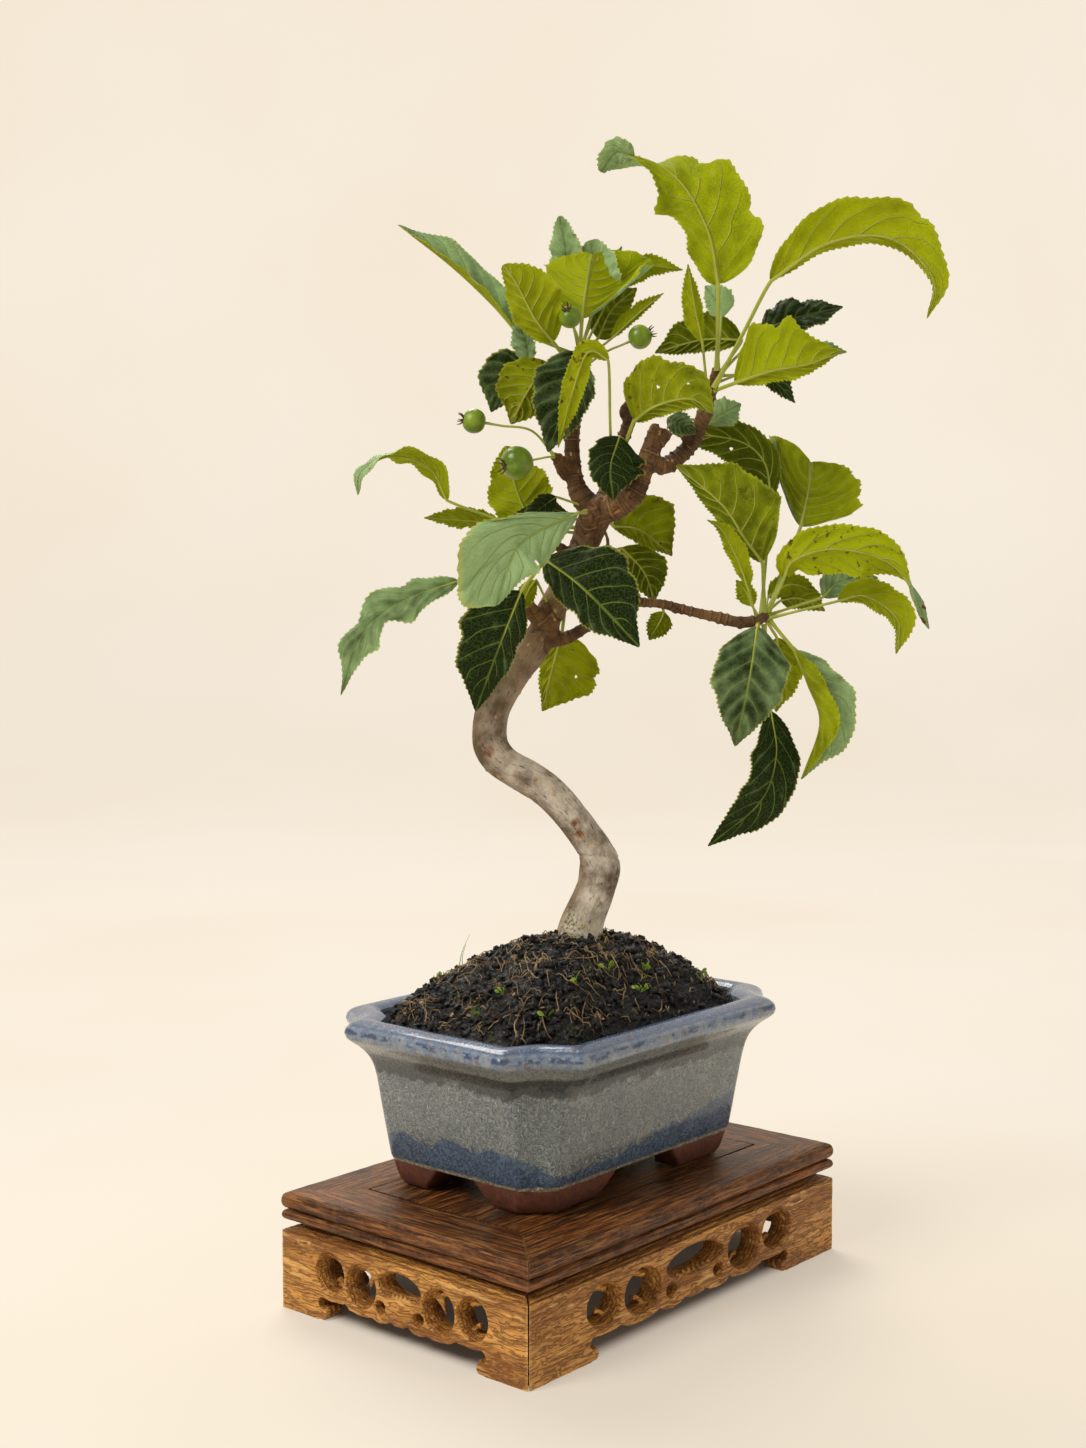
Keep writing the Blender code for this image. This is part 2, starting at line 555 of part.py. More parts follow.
# The pot's wall as (half length, half width, corner cut, height), up the outside and down the inside
POT_OUTSIDE = [
    (79.0, 51.5, 11.5, POT_BASE), (80.5, 53.0, 12.0, 73.0), (84.0, 56.8, 15.0, 92.0), (87.5, 60.5, 18.0, 110.0),
    (89.6, 63.0, 19.6, 117.5), (94.0, 67.5, 22.0, 123.6), (100.8, 74.3, 25.3, 128.6), (102.0, 75.5, 26.0, 131.6),
    (101.6, 75.1, 26.0, 135.0), (99.0, 72.5, 25.0, 137.6),
]
POT_INSIDE = [
    (91.0, 64.5, 22.0, 138.0), (87.0, 60.5, 20.5, 135.5), (85.0, 58.5, 19.5, 128.0), (82.0, 55.0, 17.0, 110.0),
    (78.0, 50.5, 14.0, 90.0), (74.0, 46.5, 11.0, POT_BASE + POT_FLOOR),
]


def pot_foot(sign_x, sign_y):
    """One corner foot, an angle bracket in plan that tapers downwards."""
    rings = []
    for inset, end_x, end_y, z in FOOT_STEPS:
        far_x, far_y, cut = 80.0 - inset, 52.5 - inset, 12.0
        plan = [
            (end_x, far_y), (far_x - cut, far_y), (far_x, far_y - cut), (far_x, end_y),
            (far_x - FOOT_WALL, end_y), (far_x - FOOT_WALL, far_y - FOOT_WALL), (end_x, far_y - FOOT_WALL),
        ]
        rings.append([POT_CENTRE + np.array([sign_x * x, sign_y * y, z]) for x, y in plan])
    return loft(rings)


def cylinder(radius, bottom, top, centre, sides=24):
    """An upright cylinder."""
    angles = 2 * math.pi * np.arange(sides) / sides
    ring = [centre + radius * np.array([math.cos(a), math.sin(a), 0.0]) for a in angles]
    return loft([[point + np.array([0.0, 0.0, z]) for point in ring] for z in (bottom, top)])


def block(low, high):
    """A box between two corners."""
    plan = [(low[0], low[1]), (high[0], low[1]), (high[0], high[1]), (low[0], high[1])]
    return loft([[(x, y, z) for x, y in plan] for z in (low[2], high[2])])


def build_pot():
    """The glazed pot with its four feet and two drain holes."""
    rings = [pot_ring(*row) for row in POT_OUTSIDE + POT_INSIDE]
    pot = add_object("pot", loft(rings), "glaze")
    for sign_x in (-1, 1):
        for sign_y in (-1, 1):
            foot = add_object(f"pot_foot_{sign_x}_{sign_y}", pot_foot(sign_x, sign_y), "glaze")
            join_with(pot, foot, "UNION")
    for sign in (-1, 1):
        centre = POT_CENTRE + np.array([sign * DRAIN_X, 0.0, 0.0])
        hole = cylinder(DRAIN_RADIUS, POT_BASE - 5.0, POT_BASE + POT_FLOOR + 5.0, centre)
        join_with(pot, add_object(f"drain_{sign}", hole, "glaze"), "DIFFERENCE")


def screen_box(sign, spread):
    """The corners of a drain screen, grown by spread on every side but the bottom."""
    centre = POT_CENTRE + np.array([sign * DRAIN_X, 0.0, POT_BASE + POT_FLOOR + GAP])
    half = SCREEN_SIDE / 2 + spread
    low = centre - np.array([half, half, 0.0])
    high = centre + np.array([half, half, SCREEN_THICKNESS + spread])
    return low, high


def soil_height(share):
    """The mound's height over the pot's edge at a share of the way out from its peak."""
    return SOIL_EDGE + (SOIL_PEAK - SOIL_EDGE) * (0.5 + 0.5 * math.cos(math.pi * share)) ** MOUND_FULLNESS


def build_soil():
    """The root ball and mound, cut to the tree's foot and the drain screens."""
    floor = POT_BASE + POT_FLOOR + GAP
    rings = [pot_ring(73.0, 45.5, 11.0, floor)]
    for half_x, half_y, cut, z in reversed(POT_INSIDE[2:5]):
        rings.append(pot_ring(half_x - 0.6, half_y - 0.6, cut, z))
    edge_x, edge_y, cut, _ = POT_INSIDE[2]
    peak = TRUNK_FOOT - POT_CENTRE
    for share in (0.93, 0.75, 0.55, 0.35, 0.15):
        ring = pot_ring((edge_x - 0.6) * share, (edge_y - 0.6) * share, cut * share, soil_height(share))
        rings.append([point + np.array([peak[0], peak[1], 0.0]) * (1 - share) for point in ring])
    soil = add_object("soil", loft(rings), "soil")
    foot = limb_path(TRUNK, TRUNK_STEP)[:SOCKET_RINGS]
    join_with(soil, add_object("foot_socket", loft(tube_rings(foot, 9, GAP + 0.3)), "soil"), "DIFFERENCE")
    for turn in ROOT_TURNS:
        root = loft(tube_rings(root_path(turn), 6, GAP + 0.2))
        join_with(soil, add_object(f"root_socket_{turn:.0f}", root, "soil"), "DIFFERENCE")
    for sign, side in ((-1, "left"), (1, "right")):
        add_object(f"drain_screen_{side}", block(*screen_box(sign, 0.0)), "mesh")
        low, high = screen_box(sign, GAP)
        pocket = block(low - np.array([0.0, 0.0, 2.0]), high)
        join_with(soil, add_object(f"screen_pocket_{side}", pocket, "soil"), "DIFFERENCE")


# A rail's section as (inward from the outer face, height): double bead outside, groove for the panel inside
TONGUE_BOTTOM = TOP_HEIGHT - PANEL_THICKNESS + 3.0
RAIL_SECTION = [
    (5.0, RAIL_BOTTOM), (4.0, 42.4), (1.2, 42.9), (0.0, 44.9), (1.2, 47.1), (2.2, BEAD_BREAK), (1.0, 48.2),
    (0.0, 51.0), (0.6, 54.0), (2.3, TOP_HEIGHT), (RAIL_WIDTH, TOP_HEIGHT),
    (RAIL_WIDTH, TONGUE_BOTTOM + TONGUE_HEIGHT + GAP), (RAIL_WIDTH - TONGUE - GAP, TONGUE_BOTTOM + TONGUE_HEIGHT + GAP),
    (RAIL_WIDTH - TONGUE - GAP, TONGUE_BOTTOM - GAP), (RAIL_WIDTH, TONGUE_BOTTOM - GAP), (RAIL_WIDTH, RAIL_BOTTOM),
]


def on_side(side, along, inward, z):
    """A point on one side of the stand: along its length, inward from its outer face, at a height."""
    half_x = STAND_LENGTH / 2
    half_y = STAND_DEPTH / 2
    spot = {
        "front": (along, -half_y + inward),
        "back": (-along, half_y - inward),
        "right": (half_x - inward, along),
        "left": (-half_x + inward, -along),
    }[side]
    return STAND_CENTRE + np.array([spot[0], spot[1], z])


def side_length(side):
    """How long the stand is on this side."""
    return STAND_LENGTH if side in ("front", "back") else STAND_DEPTH


def mitred(side, section, cut):
    """A section of (inward, height) points run along one side of the stand, with both ends cut at 45 degrees."""
    half = side_length(side) / 2 - cut
    rings = [[on_side(side, end * (half - inward), inward, z) for inward, z in section] for end in (-1, 1)]
    return loft(rings)


def build_top():
    """Four mitred rails round a floating panel, with a batten under it."""
    for side in ("front", "back", "left", "right"):
        add_object(f"rail_{side}", mitred(side, RAIL_SECTION, GAP), "dark_wood")
    half_x = STAND_LENGTH / 2 - RAIL_WIDTH
    half_y = STAND_DEPTH / 2 - RAIL_WIDTH
    bottom = TOP_HEIGHT - PANEL_THICKNESS
    steps = [
        (-PANEL_SLOT, bottom), (-PANEL_SLOT, TONGUE_BOTTOM), (TONGUE, TONGUE_BOTTOM),
        (TONGUE, TONGUE_BOTTOM + TONGUE_HEIGHT), (-PANEL_SLOT, TONGUE_BOTTOM + TONGUE_HEIGHT),
        (-PANEL_SLOT, TOP_HEIGHT),
    ]
    rings = []
    for out, z in steps:
        plan = [(-1, -1), (1, -1), (1, 1), (-1, 1)]
        rings.append([STAND_CENTRE + np.array([x * (half_x + out), y * (half_y + out), z]) for x, y in plan])
    add_object("panel", loft(rings), "dark_wood")
    low = STAND_CENTRE + np.array([-BATTEN_WIDTH / 2, -half_y + GAP, bottom - GAP - BATTEN_THICKNESS])
    high = STAND_CENTRE + np.array([BATTEN_WIDTH / 2, half_y - GAP, bottom - GAP])
    add_object("batten", block(low, high), "light_wood")


# Carved aprons, measured from the middle of the board. A hole is (along, height, half length, half height)
# and a lobe of the lower edge is (along, half length, depth).
LONG_HOLES = [
    (67.5, 22.4, 10.3, 7.7), (41.2, 21.8, 10.7, 8.4), (0.0, 25.8, 20.4, 4.8), (18.5, 15.7, 3.1, 2.4),
]
SHORT_HOLES = [
    (43.6, 22.7, 7.2, 7.6), (23.8, 22.0, 7.6, 8.3), (0.0, 25.8, 11.2, 4.5), (12.2, 15.4, 2.4, 2.2),
]
LONG_LOBES = [(67.0, 13.0, 1.2), (41.5, 13.6, 3.1), (18.0, 9.5, 3.3), (0.0, 8.5, 2.6)]
SHORT_LOBES = [(44.0, 9.0, 1.0), (23.8, 10.4, 3.0), (12.2, 7.0, 3.3), (0.0, 5.5, 2.6)]
LOWER_EDGE = 11.2
SCROLL_RADIUS = 2.6


def lower_edge(along, lobes):
    """The lower edge's height: the deepest lobe there wins."""
    depths = [0.0]
    for centre, half, depth in lobes:
        share = (abs(along) - centre) / half
        if abs(share) < 1:
            depths.append(depth * math.sqrt(1 - share * share))
    return LOWER_EDGE - max(depths)


def half_outline(foot_end, lobes):
    """The board's outline from the middle of its lower edge to the floor at its foot."""
    reach = foot_end - 3.0
    stations = np.linspace(0.0, reach, 13)
    outline = [(along, lower_edge(along, lobes)) for along in stations]
    outline += [(foot_end + 1.2, 9.2), (foot_end + 1.8, 6.6)]
    for angle in (60, 105, 150, 200, 250):
        turn = math.radians(angle)
        outline.append((foot_end + SCROLL_RADIUS * (1 + math.cos(turn)), SCROLL_RADIUS * (1 + math.sin(turn))))
    outline.append((foot_end + SCROLL_RADIUS * 1.6, 0.0))
    return outline


def apron_board(side, foot, lobes):
    """The blank board: its carved outline run through its thickness, mitred and chamfered."""
    half = side_length(side) / 2
    lower = half_outline(half - foot, lobes)
    edge = [(-along, z) for along, z in reversed(lower)] + lower[1:]
    back = APRON_THICKNESS
    rings = []
    for inward in (0.0, back):
        corner = half - GAP - inward
        ring = [on_side(side, along, inward, z) for along, z in edge]
        top = APRON_HEIGHT - CHAMFER if inward == 0.0 else APRON_HEIGHT
        ring += [on_side(side, corner, inward, 0.0), on_side(side, corner, inward, top)]
        ring += [on_side(side, -corner, inward, top), on_side(side, -corner, inward, 0.0)]
        rings.append(ring)
    bm = loft(rings)
    return bm


def build_aprons():
    """Four pierced boards on bracket feet."""
    for side in ("front", "back", "left", "right"):
        is_long = side in ("front", "back")
        holes = LONG_HOLES if is_long else SHORT_HOLES
        lobes = LONG_LOBES if is_long else SHORT_LOBES
        board = add_object(f"apron_{side}", apron_board(side, LONG_FOOT if is_long else SHORT_FOOT, lobes), "light_wood")
        for along, z, half_along, half_z in holes:
            for sign in ((1, -1) if along else (1,)):
                angles = 2 * math.pi * np.arange(14) / 14
                rings = []
                for inward in (-2.0, APRON_THICKNESS + 2.0):
                    rings.append([
                        on_side(side, sign * along + half_along * math.cos(a), inward, z + half_z * math.sin(a))
                        for a in angles
                    ])
                cutter = add_object(f"hole_{side}_{sign * along:.0f}", loft(rings), "light_wood")
                join_with(board, cutter, "DIFFERENCE")


def main():
    for obj in list(bpy.data.objects):
        bpy.data.objects.remove(obj)
    build_aprons()
    build_top()
    build_pot()
    build_soil()
    tree = build_tree()
    bark = surface_of(tree)
    build_leaves(bark)
    build_fruit(bark)


main()
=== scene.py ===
"""Looks for a crabapple bonsai: leaves, bark, fruit, soil, glazed pot and carved stand.

Sizes are in millimetres until a mesh is made, and then in metres. Places on the tree are given by where the
photograph shows them, in pixels, and how far they stand towards the viewer from the trunk's foot.
"""

import math

import bmesh
import bpy
import numpy as np
from mathutils import Matrix, Vector, noise
from mathutils.kdtree import KDTree


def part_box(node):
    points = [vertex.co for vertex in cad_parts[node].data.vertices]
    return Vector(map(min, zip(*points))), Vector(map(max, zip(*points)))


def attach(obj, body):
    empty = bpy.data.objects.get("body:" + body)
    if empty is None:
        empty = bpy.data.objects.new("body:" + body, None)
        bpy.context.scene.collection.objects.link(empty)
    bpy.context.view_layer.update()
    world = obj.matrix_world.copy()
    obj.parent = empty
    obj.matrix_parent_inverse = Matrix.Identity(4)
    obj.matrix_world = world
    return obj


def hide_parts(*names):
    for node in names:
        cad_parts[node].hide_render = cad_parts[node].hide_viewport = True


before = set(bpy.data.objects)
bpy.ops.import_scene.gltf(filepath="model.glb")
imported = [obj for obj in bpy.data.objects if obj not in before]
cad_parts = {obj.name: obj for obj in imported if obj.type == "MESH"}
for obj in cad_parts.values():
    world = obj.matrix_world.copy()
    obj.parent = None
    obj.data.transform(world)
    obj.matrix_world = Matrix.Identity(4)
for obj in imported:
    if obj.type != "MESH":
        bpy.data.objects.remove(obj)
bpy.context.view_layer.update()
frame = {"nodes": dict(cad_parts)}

bl_info = {
    "name": "Crabapple bonsai looks",
    "version": (1, 0, 0),
    "blender": (4, 5, 0),
    "location": "3D View > Sidebar > Bonsai",
    "description": "Builds the leaves, bark, fruit, soil, pot and carved stand of a crabapple bonsai",
    "category": "Object",
}

MM = 0.001


def node_box(node):
    """A CAD node's lowest and highest corners, in millimetres."""
    return tuple(np.array(corner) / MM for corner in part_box(node))


# The frame's own sizes
RAIL_LEFT_LOW, RAIL_LEFT_HIGH = node_box("rail_left")
RAIL_RIGHT_LOW, RAIL_RIGHT_HIGH = node_box("rail_right")
STAND_LENGTH = RAIL_RIGHT_HIGH[0] - RAIL_LEFT_LOW[0]
STAND_DEPTH = 155.0
STAND_CENTRE = np.array([
    (RAIL_LEFT_LOW[0] + RAIL_RIGHT_HIGH[0]) / 2, (RAIL_LEFT_LOW[1] + RAIL_LEFT_HIGH[1]) / 2, 0.0,
])
TOP_HEIGHT = RAIL_LEFT_HIGH[2]
RAIL_WIDTH = RAIL_LEFT_HIGH[0] - RAIL_LEFT_LOW[0]
POT_LOW, POT_HIGH = node_box("pot")
POT_CENTRE = np.array([(POT_LOW[0] + POT_HIGH[0]) / 2, (POT_LOW[1] + POT_HIGH[1]) / 2, 0.0])

# Where the photograph was taken from, measured from the stand's centre
EYE = STAND_CENTRE + np.array([-737.2, -611.0, 341.4])
LOOK_YAW = 49.58
LOOK_DOWN = 3.99
FOCAL_PIXELS = 1972.8
PHOTO_SIZE = (1086.0, 1448.0)
MIDDLE_PIXEL = (543.0, 724.0)
SENSOR = 36.0
TRUNK_ASIDE = 8.0


def direction(yaw, down):
    """A unit vector: yaw turns from +Y towards +X, and down tips it below the horizon."""
    yaw = math.radians(yaw)
    down = math.radians(down)
    return np.array([math.sin(yaw) * math.cos(down), math.cos(yaw) * math.cos(down), -math.sin(down)])


LOOK = direction(LOOK_YAW, LOOK_DOWN)
AWAY = direction(LOOK_YAW, 0.0)
ACROSS = np.array([AWAY[1], -AWAY[0], 0.0])
OVERHEAD = np.cross(ACROSS, LOOK)
TRUNK_FOOT = POT_CENTRE + ACROSS * TRUNK_ASIDE


def seen_at(px, py, near):
    """The point seen at a pixel of the photograph, near millimetres in front of the trunk's foot."""
    ray = LOOK + ACROSS * (px - MIDDLE_PIXEL[0]) / FOCAL_PIXELS
    ray = ray + OVERHEAD * (MIDDLE_PIXEL[1] - py) / FOCAL_PIXELS
    distance = (np.dot(TRUNK_FOOT - EYE, AWAY) - near) / np.dot(ray, AWAY)
    return EYE + ray * distance


def pixels_of(points):
    """Where points are seen in the photograph."""
    rays = points - EYE
    depth = rays @ LOOK
    return np.stack([
        MIDDLE_PIXEL[0] + FOCAL_PIXELS * (rays @ ACROSS) / depth,
        MIDDLE_PIXEL[1] - FOCAL_PIXELS * (rays @ OVERHEAD) / depth,
    ], axis=1)


def srgb(red, green, blue):
    """An 8-bit colour as the linear values that shaders use."""
    return tuple(((c / 255 + 0.055) / 1.055) ** 2.4 if c > 10 else c / 3294.6 for c in (red, green, blue))


# Limbs of the tree, each a list of (pixel x, pixel y, near, radius)
TRUNK = [
    (575, 962, 0, 14.5), (578, 944, 0, 12.6), (580, 929, 0, 11.2), (586, 912, 1, 10.3), (596, 889, 2, 9.5),
    (600, 866, 3, 10.1), (595, 851, 5, 8.8), (585, 835, 7, 8.2), (576, 822, 8, 8.0), (563, 806, 9, 8.2),
    (548, 791, 9, 8.5), (530, 778, 9, 8.5), (512, 768, 7, 8.1), (499, 758, 4, 8.4), (491, 744, 1, 8.8),
    (490, 726, -1, 8.6), (494, 707, -3, 8.4), (503, 690, -5, 8.0), (516, 671, -6, 7.8), (532, 651, -6, 7.7),
    (543, 630, -6, 7.4), (552, 609, -5, 6.9), (565, 586, -4, 6.8), (578, 560, -2, 6.8), (588, 536, -1, 7.2),
    (596, 514, 0, 8.4), (600, 502, 0, 6.8),
]
LEFT_LEADER = [
    (597, 516, 0, 6.6), (584, 500, -2, 5.8), (575, 480, -4, 4.4), (572, 440, -6, 3.9), (577, 400, -6, 3.4),
    (580, 352, -4, 2.4),
]
RIGHT_BRANCH = [
    (597, 512, 0, 7.2), (615, 508, 4, 6.4), (634, 494, 6, 5.6), (644, 468, 6, 5.2), (652, 448, 6, 5.0),
    (658, 427, 6, 4.0),
]
RIGHT_SHOOT = [
    (648, 460, 6, 4.4), (664, 466, 3, 4.3), (679, 457, 0, 4.3), (694, 440, -2, 4.0), (702, 420, -2, 3.8),
    (707, 402, -2, 3.5), (713, 386, -2, 3.0), (717, 368, -1, 2.5),
]
LOWER_TWIG = [
    (550, 640, -6, 4.6), (568, 637, -8, 3.4), (586, 627, -6, 3.0), (610, 611, 0, 2.6), (634, 603, 4, 2.4),
    (661, 604, 6, 2.4), (689, 611, 8, 2.6), (716, 617, 9, 2.9), (738, 622, 10, 3.0), (756, 621, 10, 2.9),
    (768, 614, 10, 2.2),
]
BACK_BRANCH = [
    (602, 508, -2, 5.0), (610, 478, -8, 3.9), (621, 445, -11, 3.5), (630, 420, -11, 3.2),
    (631, 408, -11, 2.2),
]
FRUIT_SPUR = [(573, 468, -5, 3.4), (562, 461, 2, 3.0), (553, 456, 7, 2.2)]
FRONT_SPUR = [(590, 530, -1, 4.0), (588, 519, 9, 2.9), (585, 510, 14, 2.2)]
REAR_SPUR = [(596, 520, -2, 4.0), (604, 517, -12, 2.8), (610, 514, -17, 2.1)]
SIDE_SPUR = [(577, 560, -2, 4.0), (562, 549, 4, 2.8), (550, 541, 8, 2.1)]
BUD_STUB = [(548, 622, -5, 4.6), (537, 612, 1, 3.2), (529, 603, 4, 2.0)]
LIMBS = {
    "left_leader": LEFT_LEADER,
    "right_branch": RIGHT_BRANCH,
    "right_shoot": RIGHT_SHOOT,
    "lower_twig": LOWER_TWIG,
    "back_branch": BACK_BRANCH,
    "fruit_spur": FRUIT_SPUR,
    "front_spur": FRONT_SPUR,
    "rear_spur": REAR_SPUR,
    "side_spur": SIDE_SPUR,
    "bud_stub": BUD_STUB,
}

